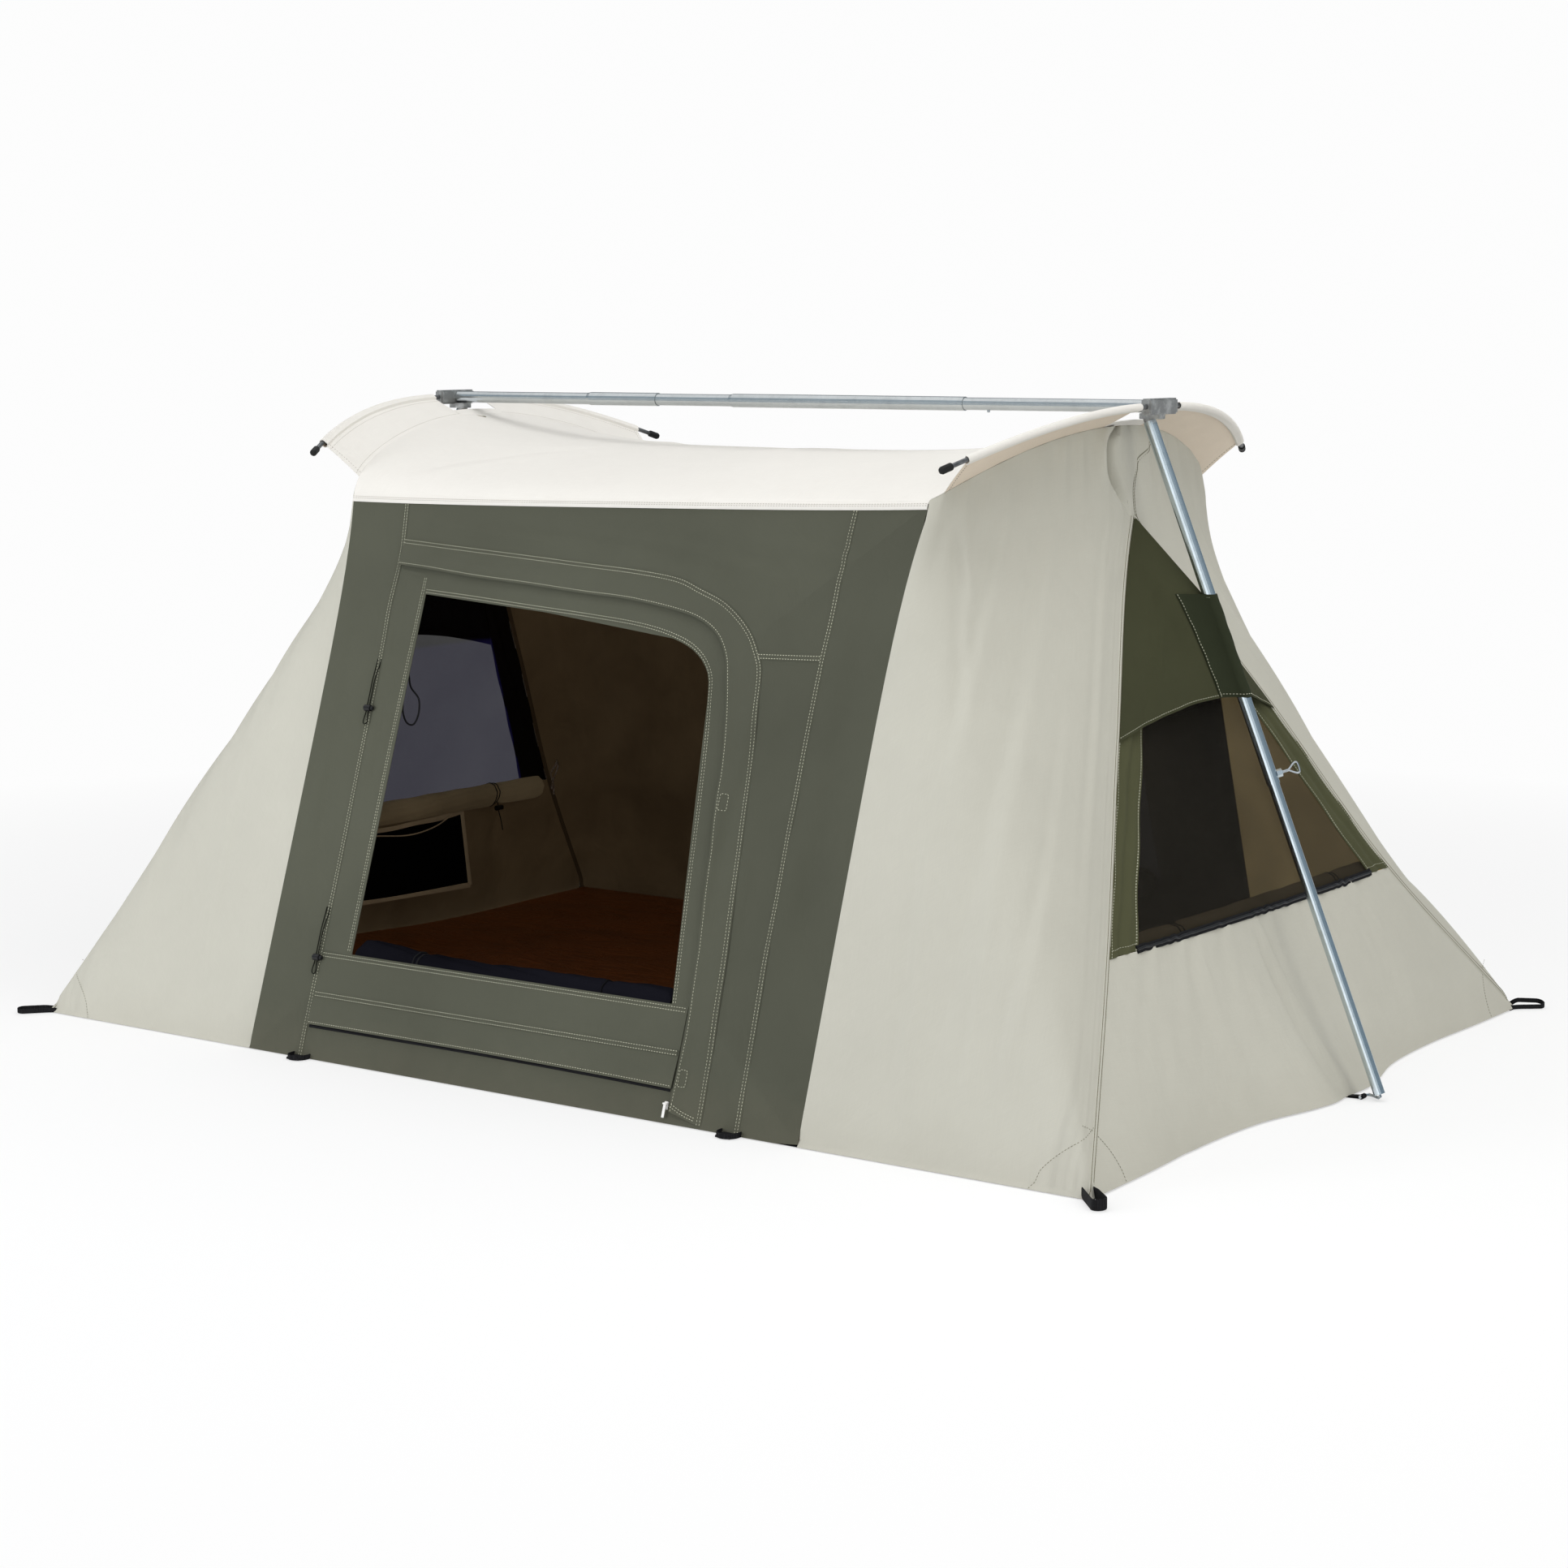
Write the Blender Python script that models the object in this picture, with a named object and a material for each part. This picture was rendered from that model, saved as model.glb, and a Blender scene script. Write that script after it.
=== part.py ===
# Canvas tent with spring bows, a ridge pole and two end legs.
# Metres, +Z up, origin on the ground at the middle of the floor.
# The door faces -Y. The ridge pole runs along X.

import math

import bmesh
import bpy
import numpy as np
from mathutils import Matrix, Vector

# Tent body
BASE_HALF_WIDTH = 1.2955
BASE_HALF_DEPTH = 0.9145
EAVE_HALF_DEPTH = 0.5375
EAVE_HEIGHT = 1.11
CREST_END_HEIGHT = 1.27
CREST_SAG = 0.063
CREST_SAG_POWER = 3.5
EAVE_SAG = 0.01
BOW_SEAM_FALL = 0.1271
EAVE_TURN_POWER = 20
APEX_HEIGHT = 1.092
HOOD_HEM_HEIGHT = 0.694
SILL_HEIGHT = 0.342
SILL_HALF_WIDTH = 1.137
HOOD_HEM_HALF_WIDTH = 1.0
APEX_HALF_WIDTH = 0.849
CREST_HALF_WIDTH = 0.825
SILL_SEAM_Y = 0.586
HOOD_HEM_SEAM_Y = 0.317
DOOR_PANEL_HALF_WIDTH = 0.688
DOOR_PANEL_FLARE = 0.027
TOP_SHARPNESS = 1.45
FRONT_SHARPNESS = ((0.0, 9.0), (0.3, 6.5), (0.6, 3.5), (0.85, 2.17), (1.05, TOP_SHARPNESS))
REAR_SHARPNESS = ((0.0, 6.3), (0.3, 2.3), (0.6, 1.86), (0.85, 1.59), (1.05, TOP_SHARPNESS))
END_BULGE = 0.014
HEM_FADE_HEIGHT = 0.30
END_TAB_REACH = 0.0455
END_TAB_HALF_WIDTH = 0.09
END_HEM_SAG = 0.012

# Cloth
CLOTH = 0.0016
MESH_CLOTH = 0.0010
FLOOR_CLOTH = 0.0012
WEBBING = 0.0020
GAP = 0.0003
SEAM_INSET = 0.0002
HEM_LIFT = 0.0027
WALL_TOP_DROP = 0.0034
KINK_INSET = 0.0005
FOLD_DEPTH = 0.006
GATHER_DEPTH = 0.0025
GATHER_COUNT = 7

# Door
DOOR_LEFT = -0.462
DOOR_RIGHT_TOP = 0.300
DOOR_RIGHT_FOOT = 0.352
DOOR_SILL_HEIGHT = 0.21
DOOR_TOP_LEFT_HEIGHT = 0.922
DOOR_TOP_RIGHT_HEIGHT = 0.868
DOOR_CORNER_RADIUS = 0.11
DOOR_ROLL_RADIUS = 0.036
FLAP_ROLL_RADIUS = 0.024
WINDOW_ROLL_HALF = 0.49

# Window
WINDOW_BORDER = 0.098
WINDOW_TOP_HEIGHT = 1.018

# Frame of tubes and rods
BAR_OUT = 0.079
BAR_LIFT = 0.037
BAR_X = CREST_HALF_WIDTH + BAR_OUT
BAR_HEIGHT = CREST_END_HEIGHT + BAR_LIFT
BAR_WIDTH = 0.022
BAR_LENGTH = 0.110
BAR_DEPTH = 0.031
LUG_REACH = 0.038
LUG_BACK = 0.006
LUG_HALF_WIDTH = 0.0125
LUG_DROP = 0.009
TUBE_RADIUS = 0.0127
TUBE_WALL = 0.0012
LOWER_TUBE_RADIUS = 0.0111
FIT_GAP = 0.0004
SPIGOT_LENGTH = 0.045
RIDGE_JOINT_LEFT = -0.321
RIDGE_JOINT_RIGHT = 0.461
RIDGE_CUP_LEFT = 0.184
RIDGE_CUP_RIGHT = 0.579
RIDGE_OVERLAP = 0.170
ROD_RADIUS = 0.00475
ROD_TIP_Y = 0.586
ROD_TIP_IN = 0.122
ROD_TIP_DROP = 0.1035
ROD_BORE_DEPTH = 0.032
CAP_RADIUS = 0.0075
CAP_LENGTH = 0.028
CAP_COVER = 0.018
SLEEVE_START_Y = 0.0765
SLEEVE_END_Y = 0.537
WING_END_Y = 0.502
SLEEVE_ROOM = 0.0010
WING_BAND = 0.0213

# Legs
LEG_TOP_IN = 0.026
LEG_TOP_DROP = 0.017
LEG_FOOT_OUT = 0.1085
LEG_TOP_X = BAR_X - LEG_TOP_IN
LEG_FOOT_X = BASE_HALF_WIDTH + LEG_FOOT_OUT
LEG_TOP_HEIGHT = BAR_HEIGHT - LEG_TOP_DROP
UPPER_TUBE_END = 0.757
LOWER_TUBE_START = 0.650
SCREW_SET_BACK = 0.018
NUT_RADIUS = 0.008
NUT_HEIGHT = 0.010
SCREW_RADIUS = 0.0032
SCREW_LENGTH = 0.030
EYE_RADIUS = 0.011
EYE_WIRE = 0.0022
SCREW_TURN = 35.5
PIN_RADIUS = 0.003
PIN_RISE = 0.045
PIN_BAR_IN = 0.038
PIN_BAR_X = LEG_FOOT_X - PIN_BAR_IN
PIN_BAR_HALF = 0.016
STRAP_WIDTH = 0.016
STRAP_CLOTH = 0.0014
POLE_SLEEVE_TOP = 0.949
POLE_SLEEVE_FOOT = 0.755
POLE_SLEEVE_FRONT = 0.042
POLE_SLEEVE_REAR = 0.026
SLEEVE_SLACK = 0.0006
HOOD_STAND_OFF = 0.0030
HOOD_LAP = 0.0038

# Ground webbing
TAPE_WIDTH = 0.024
TAB_X = 0.540
TAB_RADIUS = 0.024
TAB_REACH = 0.034
CORNER_LOOP_REACH = 0.084
CORNER_LOOP_RADIUS = 0.017
LOOP_HOLE_RADIUS = 0.009

# Tie cords and their locks
CORD_RADIUS = 0.00125
CORD_SPREAD = 0.0028
CORD_X = -0.548
CORD_DROP = 0.105
CORD_TAIL = 0.034
CORD_TAIL_RADIUS = 0.0055
UPPER_CORD_HEIGHT = 0.787
LOWER_CORD_HEIGHT = 0.294
LOCK_RADIUS = 0.0068
LOCK_LENGTH = 0.017
LOCK_TRAVEL = 0.045
PLUNGER_RADIUS = 0.0042
PLUNGER_LENGTH = 0.0062
PLUNGER_TRAVEL = 0.003

# Zip slider of the door
SLIDER_X = 0.385
SLIDER_HEIGHT = 0.032
SLIDER_WIDTH = 0.009
SLIDER_LENGTH = 0.015
SLIDER_DEPTH = 0.004
BAIL_RADIUS = 0.0009
PULL_WIDTH = 0.0066
PULL_LENGTH = 0.026
PULL_THICKNESS = 0.0014

# Spring button of the ridge pole
BUTTON_RADIUS = 0.0030
BUTTON_TRAVEL = 0.0040
BUTTON_REACH = BUTTON_TRAVEL + 0.0005
BUTTON_SET_BACK = 0.055

TUBE_SIDES = 20
CORNER_COLUMNS = 11
ROOF_COLUMNS = 17
END_COLUMNS = 27


def clear_scene():
    for old in list(bpy.data.objects):
        bpy.data.objects.remove(old, do_unlink=True)


def finish_material(name, color, roughness, metallic=0.0):
    material = bpy.data.materials.new(name)
    material.use_nodes = True
    shader = material.node_tree.nodes["Principled BSDF"]
    shader.inputs["Base Color"].default_value = (*color, 1.0)
    shader.inputs["Roughness"].default_value = roughness
    shader.inputs["Metallic"].default_value = metallic
    return material


CREAM = ((0.82, 0.79, 0.74), 0.9)
TAN = ((0.50, 0.48, 0.40), 0.9)
GREEN = ((0.085, 0.095, 0.075), 0.9)
OLIVE = ((0.050, 0.058, 0.038), 0.9)
SCREEN = ((0.03, 0.03, 0.03), 0.8)
VINYL = ((0.30, 0.10, 0.04), 0.6)
BLACK_WEB = ((0.012, 0.012, 0.013), 0.8)
DARK_CLOTH = ((0.015, 0.017, 0.022), 0.9)
STEEL = ((0.45, 0.49, 0.52), 0.35, 1.0)
CAST = ((0.52, 0.53, 0.54), 0.5, 1.0)
SPRING_STEEL = ((0.03, 0.03, 0.03), 0.45, 0.6)
BLACK_RUBBER = ((0.01, 0.01, 0.01), 0.7)
BLACK_PLASTIC = ((0.015, 0.015, 0.015), 0.4)
WHITE_PLASTIC = ((0.75, 0.75, 0.72), 0.5)
CORD_GREEN = ((0.02, 0.022, 0.016), 0.85)


def link_object(name, data, look):
    part = bpy.data.objects.new(name, data)
    bpy.context.scene.collection.objects.link(part)
    data.materials.append(finish_material(name, *look))
    return part


def smooth_round(part, angle=35.0):
    part.data.shade_smooth()
    part.data.set_sharp_from_angle(angle=math.radians(angle))


# Shape of the tent body: level sections round one quarter of the tent

def smooth_value(stations, at):
    """Value at a station on a smooth curve through (station, value) pairs."""
    knots = [station for station, _ in stations]
    values = [value for _, value in stations]
    steps = [(values[i + 1] - values[i]) / (knots[i + 1] - knots[i])
             for i in range(len(knots) - 1)]
    slopes = [steps[0]]
    slopes += [(steps[i] + steps[i + 1]) / 2 for i in range(len(steps) - 1)]
    slopes.append(steps[-1])
    at = min(max(at, knots[0]), knots[-1])
    i = min(sum(at > knot for knot in knots[1:]), len(knots) - 2)
    span = knots[i + 1] - knots[i]
    t = (at - knots[i]) / span
    return (values[i] * (1 + 2 * t) * (1 - t) ** 2 + slopes[i] * span * t * (1 - t) ** 2
            + values[i + 1] * t * t * (3 - 2 * t) + slopes[i + 1] * span * t * t * (t - 1))


def end_x(z):
    return smooth_value([(0.0, BASE_HALF_WIDTH), (SILL_HEIGHT, SILL_HALF_WIDTH),
                         (HOOD_HEM_HEIGHT, HOOD_HEM_HALF_WIDTH),
                         (APEX_HEIGHT, APEX_HALF_WIDTH),
                         (CREST_END_HEIGHT, CREST_HALF_WIDTH)], z)


def side_y(z):
    return BASE_HALF_DEPTH - (BASE_HALF_DEPTH - EAVE_HALF_DEPTH) * z / EAVE_HEIGHT


def corner_seam_y(z):
    if z >= APEX_HEIGHT:
        return 0.0
    return smooth_value([(0.0, BASE_HALF_DEPTH), (SILL_HEIGHT, SILL_SEAM_Y),
                         (HOOD_HEM_HEIGHT, HOOD_HEM_SEAM_Y), (APEX_HEIGHT, 0.0)], z)


def door_panel_x(z):
    return DOOR_PANEL_HALF_WIDTH + DOOR_PANEL_FLARE * min(z / EAVE_HEIGHT, 1.0) ** 8


def corner_sharpness(z, rear=False):
    """How square the tent's corner is: the front cloth is drawn tighter."""
    return float(np.interp(z, *zip(*(REAR_SHARPNESS if rear else FRONT_SHARPNESS))))


def corner_section(z, rear=False, samples=160):
    """Level curve from the door panel's edge round to the corner seam."""
    turn = np.linspace(0.0, math.pi / 2, samples)
    power = 2.0 / corner_sharpness(z, rear)
    start_x = door_panel_x(z)
    seam_y = corner_seam_y(z)
    xs = start_x + (end_x(z) - start_x) * np.sin(turn) ** power
    ys = seam_y + (side_y(z) - seam_y) * np.cos(turn) ** power
    lengths = np.concatenate([[0.0], np.cumsum(np.hypot(np.diff(xs), np.diff(ys)))])
    return xs, ys, lengths / lengths[-1]


def corner_point(s, z, rear=False):
    xs, ys, along = corner_section(z, rear)
    return float(np.interp(s, along, xs)), float(np.interp(s, along, ys))


def roof_edge_height(y):
    turn = CREST_END_HEIGHT - BOW_SEAM_FALL - EAVE_HEIGHT
    reach = abs(y) / EAVE_HALF_DEPTH
    return CREST_END_HEIGHT - BOW_SEAM_FALL * reach ** 2 - turn * reach ** EAVE_TURN_POWER


def bow_seam_point(y):
    """Where roof, wing and end cloth meet, at one distance from the middle."""
    z = roof_edge_height(y)
    reach = min(abs(y) / side_y(z), 1.0)
    power = corner_sharpness(z)
    start_x = door_panel_x(z)
    x = start_x + (end_x(z) - start_x) * (1.0 - reach ** power) ** (1.0 / power)
    return Vector((x, y, z))


def corner_top(s):
    low, high = EAVE_HEIGHT - 0.05, CREST_END_HEIGHT
    for _ in range(40):
        middle = (low + high) / 2
        if roof_edge_height(corner_point(s, middle)[1]) > middle:
            low = middle
        else:
            high = middle
    return (low + high) / 2


def end_bulge(y, z):
    """How far the end cloth stands out past the line between its seams."""
    seam_y = corner_seam_y(z)
    if seam_y < 1e-6:
        return 0.0
    if z > SILL_HEIGHT:
        rise = (z - SILL_HEIGHT) / (APEX_HEIGHT - SILL_HEIGHT)
        belly = END_BULGE * (1.0 - rise * rise)
    else:
        belly = END_BULGE * z / SILL_HEIGHT
    share = max(0.0, 1.0 - (y / seam_y) ** 2)
    fade = max(0.0, 1.0 - z / HEM_FADE_HEIGHT) ** 2
    return belly * share + end_hem_reach(y) * fade


def end_hem_reach(y):
    arc = BASE_HALF_DEPTH - END_TAB_HALF_WIDTH
    stations = [(0.0, END_TAB_REACH), (END_TAB_HALF_WIDTH, END_TAB_REACH),
                (END_TAB_HALF_WIDTH + arc * 0.24, 0.0),
                (END_TAB_HALF_WIDTH + arc * 0.5, -END_HEM_SAG),
                (END_TAB_HALF_WIDTH + arc * 0.75, -END_HEM_SAG * 0.35),
                (BASE_HALF_DEPTH, 0.0)]
    return smooth_value(stations, abs(y))


def pull_back(edge, inner, neighbour):
    """Edge point drawn into its own cloth, so that two cloths meet at a fold."""
    own = (Vector(inner) - Vector(edge)).normalized()
    other = (Vector(neighbour) - Vector(edge)).normalized()
    half_angle = math.acos(max(-1.0, min(1.0, own.dot(other)))) / 2
    return Vector(edge) + own * (SEAM_INSET + CLOTH / 2 / math.tan(half_angle))


def wall_rows():
    """Shares of the way down a wall, with a row at each seam of the end."""
    marks = [CREST_END_HEIGHT, APEX_HEIGHT, HOOD_HEM_HEIGHT, SILL_HEIGHT, HEM_LIFT]
    counts = [3, 4, 3, 4]
    heights = []
    for top, foot, count in zip(marks[:-1], marks[1:], counts):
        heights += [top + (foot - top) * i / count for i in range(count)]
    heights.append(HEM_LIFT)
    full = CREST_END_HEIGHT - HEM_LIFT
    return [(CREST_END_HEIGHT - height) / full for height in heights]


# Solids made from sheets, turned profiles and bars

def sheet(name, rows, look, thickness, merge=False):
    """Closed solid from a grid of points on the middle of the cloth."""
    shape = bmesh.new()
    grid = [[shape.verts.new(point) for point in row] for row in rows]
    for upper, lower in zip(grid[:-1], grid[1:]):
        for i in range(len(upper) - 1):
            shape.faces.new((upper[i], upper[i + 1], lower[i + 1], lower[i]))
    return close_sheet(name, shape, look, thickness, merge)


def close_sheet(name, shape, look, thickness, merge=False):
    if merge:
        bmesh.ops.remove_doubles(shape, verts=shape.verts, dist=1e-5)
        bmesh.ops.dissolve_degenerate(shape, edges=shape.edges, dist=1e-6)
    bmesh.ops.recalc_face_normals(shape, faces=shape.faces)
    mesh = bpy.data.meshes.new(name)
    shape.to_mesh(mesh)
    shape.free()
    part = link_object(name, mesh, look)
    wall = part.modifiers.new("cloth thickness", "SOLIDIFY")
    wall.thickness = thickness
    wall.offset = 0.0
    mesh.shade_smooth()
    return part


def outlined_sheet(name, loops, place, look, thickness):
    """Flat sheet with holes, filled between outlines and then placed."""
    shape = bmesh.new()
    for loop in loops:
        corners = [shape.verts.new((u, v, 0.0)) for u, v in loop]
        for i, corner in enumerate(corners):
            shape.edges.new((corner, corners[(i + 1) % len(corners)]))
    bmesh.ops.triangle_fill(shape, use_beauty=True, edges=shape.edges)
    for corner in shape.verts:
        corner.co = place(corner.co.x, corner.co.y)
    return close_sheet(name, shape, look, thickness)


def frame_on_axis(origin, axis, side=(0.0, 1.0, 0.0)):
    """Matrix whose Z runs along an axis from an origin."""
    z = Vector(axis).normalized()
    x = Vector(side).cross(z)
    if x.length < 1e-6:
        x = Vector((1.0, 0.0, 0.0))
    x.normalize()
    y = z.cross(x)
    turn = Matrix((x, y, z)).transposed().to_4x4()
    return Matrix.Translation(Vector(origin)) @ turn


def turned(name, profile, look, sides=TUBE_SIDES):
    """Solid of revolution about Z from a closed (radius, height) outline."""
    shape = bmesh.new()
    rings = []
    for radius, height in profile:
        if radius < 1e-9:
            rings.append([shape.verts.new((0.0, 0.0, height))] * sides)
            continue
        turns = [2 * math.pi * (k + 0.5) / sides for k in range(sides)]
        rings.append([shape.verts.new((radius * math.cos(turn), radius * math.sin(turn), height))
                      for turn in turns])
    for i, ring in enumerate(rings):
        following = rings[(i + 1) % len(rings)]
        for k in range(sides):
            n = (k + 1) % sides
            corners = []
            for vert in (ring[k], ring[n], following[n], following[k]):
                if vert not in corners:
                    corners.append(vert)
            if len(corners) > 2:
                shape.faces.new(corners)
    bmesh.ops.recalc_face_normals(shape, faces=shape.faces)
    mesh = bpy.data.meshes.new(name)
    shape.to_mesh(mesh)
    shape.free()
    part = link_object(name, mesh, look)
    smooth_round(part)
    return part


def tube_profile(outer, inner, start, end):
    return [(outer, start), (outer, end), (inner, end), (inner, start)]


def solid_bar(name, look, radius, start, end, sides=TUBE_SIDES):
    return turned(name, [(0.0, start), (radius, start), (radius, end), (0.0, end)], look, sides)


def box(name, look, low, high, bevel=0.0, place=None):
    mesh = bpy.data.meshes.new(name)
    shape = bmesh.new()
    bmesh.ops.create_cube(shape, size=1.0)
    low, high = Vector(low), Vector(high)
    for vert in shape.verts:
        vert.co = Vector([low[i] + (high[i] - low[i]) * (vert.co[i] + 0.5) for i in range(3)])
    if bevel:
        bmesh.ops.bevel(shape, geom=shape.edges, offset=bevel, segments=2, affect="EDGES")
    if place is not None:
        shape.transform(place)
    shape.to_mesh(mesh)
    shape.free()
    return link_object(name, mesh, look)


def set_in_place(part, matrix):
    part.data.transform(matrix)
    return part


def put_on_axis(part, origin):
    """Origin of a moving piece at a point of its joint's axis."""
    part.data.transform(Matrix.Translation(-Vector(origin)))
    part.location = origin
    return part


def hide_cutter(cutter):
    cutter.hide_render = True
    cutter.display_type = "WIRE"
    return cutter


def combine(part, other, operation):
    """Boolean on a part, applied at once; the other object is used up."""
    step = part.modifiers.new(operation, "BOOLEAN")
    step.operation = operation
    step.solver = "EXACT"
    step.object = hide_cutter(other)
    bpy.context.view_layer.update()
    evaluated = part.evaluated_get(bpy.context.evaluated_depsgraph_get())
    mesh = bpy.data.meshes.new_from_object(evaluated)
    part.modifiers.clear()
    old = part.data
    look = old.materials[0]
    part.data = mesh
    mesh.materials.clear()
    mesh.materials.append(look)
    for face in mesh.polygons:
        face.material_index = 0
    bpy.data.objects.remove(other, do_unlink=True)
    bpy.data.meshes.remove(old)
    return part


def rod_along(name, points, radius, look, resolution=2):
    curve = bpy.data.curves.new(name, "CURVE")
    curve.dimensions = "3D"
    curve.bevel_depth = radius
    curve.bevel_resolution = resolution
    curve.use_fill_caps = True
    spline = curve.splines.new("POLY")
    spline.points.add(len(points) - 1)
    for slot, point in zip(spline.points, points):
        slot.co = (*point, 1.0)
    return link_object(name, curve, look)


def smooth_path(points, per_span):
    """Points on a smooth curve through a route, evenly cut in each span."""
    points = [Vector(point) for point in points]
    ends = [points[0] * 2 - points[1]] + points + [points[-1] * 2 - points[-2]]
    path = []
    for i in range(1, len(ends) - 2):
        a, b, c, d = ends[i - 1:i + 3]
        for k in range(per_span):
            t = k / per_span
            path.append(0.5 * ((2 * b) + (c - a) * t + (2 * a - 5 * b + 4 * c - d) * t ** 2
                               + (3 * b - a - 3 * c + d) * t ** 3))
    path.append(points[-1])
    return path


def side_name(sign, negative, positive):
    return negative if sign < 0 else positive


# Cloth of the tent body

def soft_fold(s, t):
    """Depth of the soft folds that hang from the bow beside the apex."""
    near_bow = math.exp(-((s - 0.86) / 0.05) ** 2) * math.exp(-(t / 0.16) ** 2)
    long_fold = math.exp(-((s - 0.42) / 0.06) ** 2) * math.sin(math.pi * min(1.0, t)) ** 2
    return -FOLD_DEPTH * (near_bow + 0.7 * long_fold)


def corner_surface(s, t, rear=False):
    """Point of the corner cloth at a share round and a share down."""
    top = corner_top(s)
    z = HEM_LIFT + (top - HEM_LIFT) * (1.0 - t)
    if t == 0.0:
        z -= WALL_TOP_DROP
    x, y = corner_point(s, z, rear)
    fold = Vector((x, y, 0.0)).normalized() * soft_fold(s, t)
    return Vector((x + fold.x, y + fold.y, z))


def end_surface(y, z):
    return Vector((end_x(z) + end_bulge(y, z), y, z))


def corner_columns():
    return [i / (CORNER_COLUMNS - 1) for i in range(CORNER_COLUMNS)]


def corner_panel(sign_x, sign_y):
    columns = corner_columns()
    rows = []
    for t in wall_rows():
        row = [corner_surface(s, t, sign_y > 0) for s in columns]
        door_side = row[0] - Vector((0.1, 0.0, 0.0))
        end_side = end_surface(row[-1].y * 0.93, row[-1].z)
        if row[-1].y < 0.02:
            end_side = row[-1] - Vector((0.0, 0.1, 0.0))
        first = pull_back(row[0], row[1], door_side)
        last = pull_back(row[-1], row[-2], end_side)
        row[0], row[-1] = first, last
        rows.append([(sign_x * point.x, sign_y * point.y, point.z) for point in row])
    name = "corner_panel_%s_%s" % (side_name(sign_x, "left", "right"),
                                   side_name(sign_y, "front", "rear"))
    return sheet(name, rows, TAN, CLOTH)


def seam_side(z, rear):
    """Point of the corner cloth next to the corner seam at one height."""
    t = (CREST_END_HEIGHT - z) / (CREST_END_HEIGHT - HEM_LIFT)
    return corner_surface(corner_columns()[-2], min(max(t, 1e-6), 1.0), rear)


def end_edge(z, inner_y, side):
    """Edge of the end cloth at a corner seam, drawn back from the fold."""
    edge = end_surface(corner_seam_y(z), z)
    edge = pull_back(edge, end_surface(abs(inner_y), z), seam_side(z, side > 0))
    return Vector((edge.x, side * edge.y, edge.z))


def door_outline(steps=7, inset=0.0):
    """Door opening on the panel: square at the left, round at the top right."""
    left, right_top = DOOR_LEFT + inset, DOOR_RIGHT_TOP - inset
    right_foot = DOOR_RIGHT_FOOT - inset
    foot, top_left = DOOR_SILL_HEIGHT + inset, DOOR_TOP_LEFT_HEIGHT - inset
    top_right = DOOR_TOP_RIGHT_HEIGHT - inset
    radius = DOOR_CORNER_RADIUS
    top_slope = (top_right - top_left) / (right_top - radius - left)
    points = [(left, foot), (right_foot, foot)]
    for k in range(steps + 1):
        turn = math.pi / 2 * k / steps
        points.append((right_top - radius + radius * math.cos(turn),
                       top_right - radius + radius * math.sin(turn)))
    middle = (left + right_top - radius) / 2
    points.append((middle, top_left + top_slope * (middle - left) + 0.006))
    points.append((left, top_left))
    return points


def eave_height(x):
    return EAVE_HEIGHT - EAVE_SAG * (1.0 - (x / door_panel_x(EAVE_HEIGHT)) ** 2)


def door_panel(name, turn):
    """Door panel with its opening; turn is 1 for the front, -1 for the rear."""
    right_edge = []
    for t in wall_rows():
        corner = corner_surface(0.0, t, turn < 0)
        beside = corner_surface(corner_columns()[1], t, turn < 0)
        edge = pull_back(corner, corner - Vector((0.1, 0.0, 0.0)), beside)
        right_edge.append((edge.x, edge.z))
    top_x = [door_panel_x(EAVE_HEIGHT) * (1 - 2 * k / 8) for k in range(1, 8)]
    top = [(x, eave_height(x) - WALL_TOP_DROP) for x in top_x]
    left_edge = [(-x, z) for x, z in right_edge]
    outline = right_edge[::-1] + top + left_edge

    def place(u, v):
        return Vector((turn * u, -turn * side_y(v), v))

    return outlined_sheet(name, [outline, door_outline()], place, GREEN, CLOTH)


def end_heights(low, high):
    """Heights of the wall's rows at the corner seam, from the top down."""
    full = CREST_END_HEIGHT - HEM_LIFT
    rows = [CREST_END_HEIGHT - full * t for t in wall_rows()]
    return [z for z in rows if low - 1e-6 <= z <= high + 1e-6]


def end_wall(sign):
    """Cloth below the window, with curved hems each side of the middle tab."""
    rows = []
    for z in end_heights(0.0, SILL_HEIGHT):
        top_edge = min(1.0, (SILL_HEIGHT - z) / 0.06)
        if z > SILL_HEIGHT - 1e-6:
            z -= SEAM_INSET
        reach = corner_seam_y(z)
        row = []
        for i in range(1, END_COLUMNS - 1):
            share = 2 * i / (END_COLUMNS - 1) - 1
            point = end_surface(reach * share, z)
            gather = GATHER_DEPTH * math.cos(GATHER_COUNT * math.pi * share)
            edge = min(1.0, (1 - abs(share)) * 8)
            point.x += gather * (z / SILL_HEIGHT) * edge * top_edge
            row.append(point)
        row = [end_edge(z, row[0].y, -1)] + row + [end_edge(z, row[-1].y, 1)]
        rows.append([(sign * point.x, point.y, point.z) for point in row])
    return sheet("end_wall_" + side_name(sign, "left", "right"), rows, TAN, CLOTH)


def window_inner_y(z):
    """Half width of the window screen at one height."""
    foot = SILL_SEAM_Y - WINDOW_BORDER
    rise = (WINDOW_TOP_HEIGHT - z) / (WINDOW_TOP_HEIGHT - SILL_HEIGHT)
    return max(0.0, foot * rise)


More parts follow.
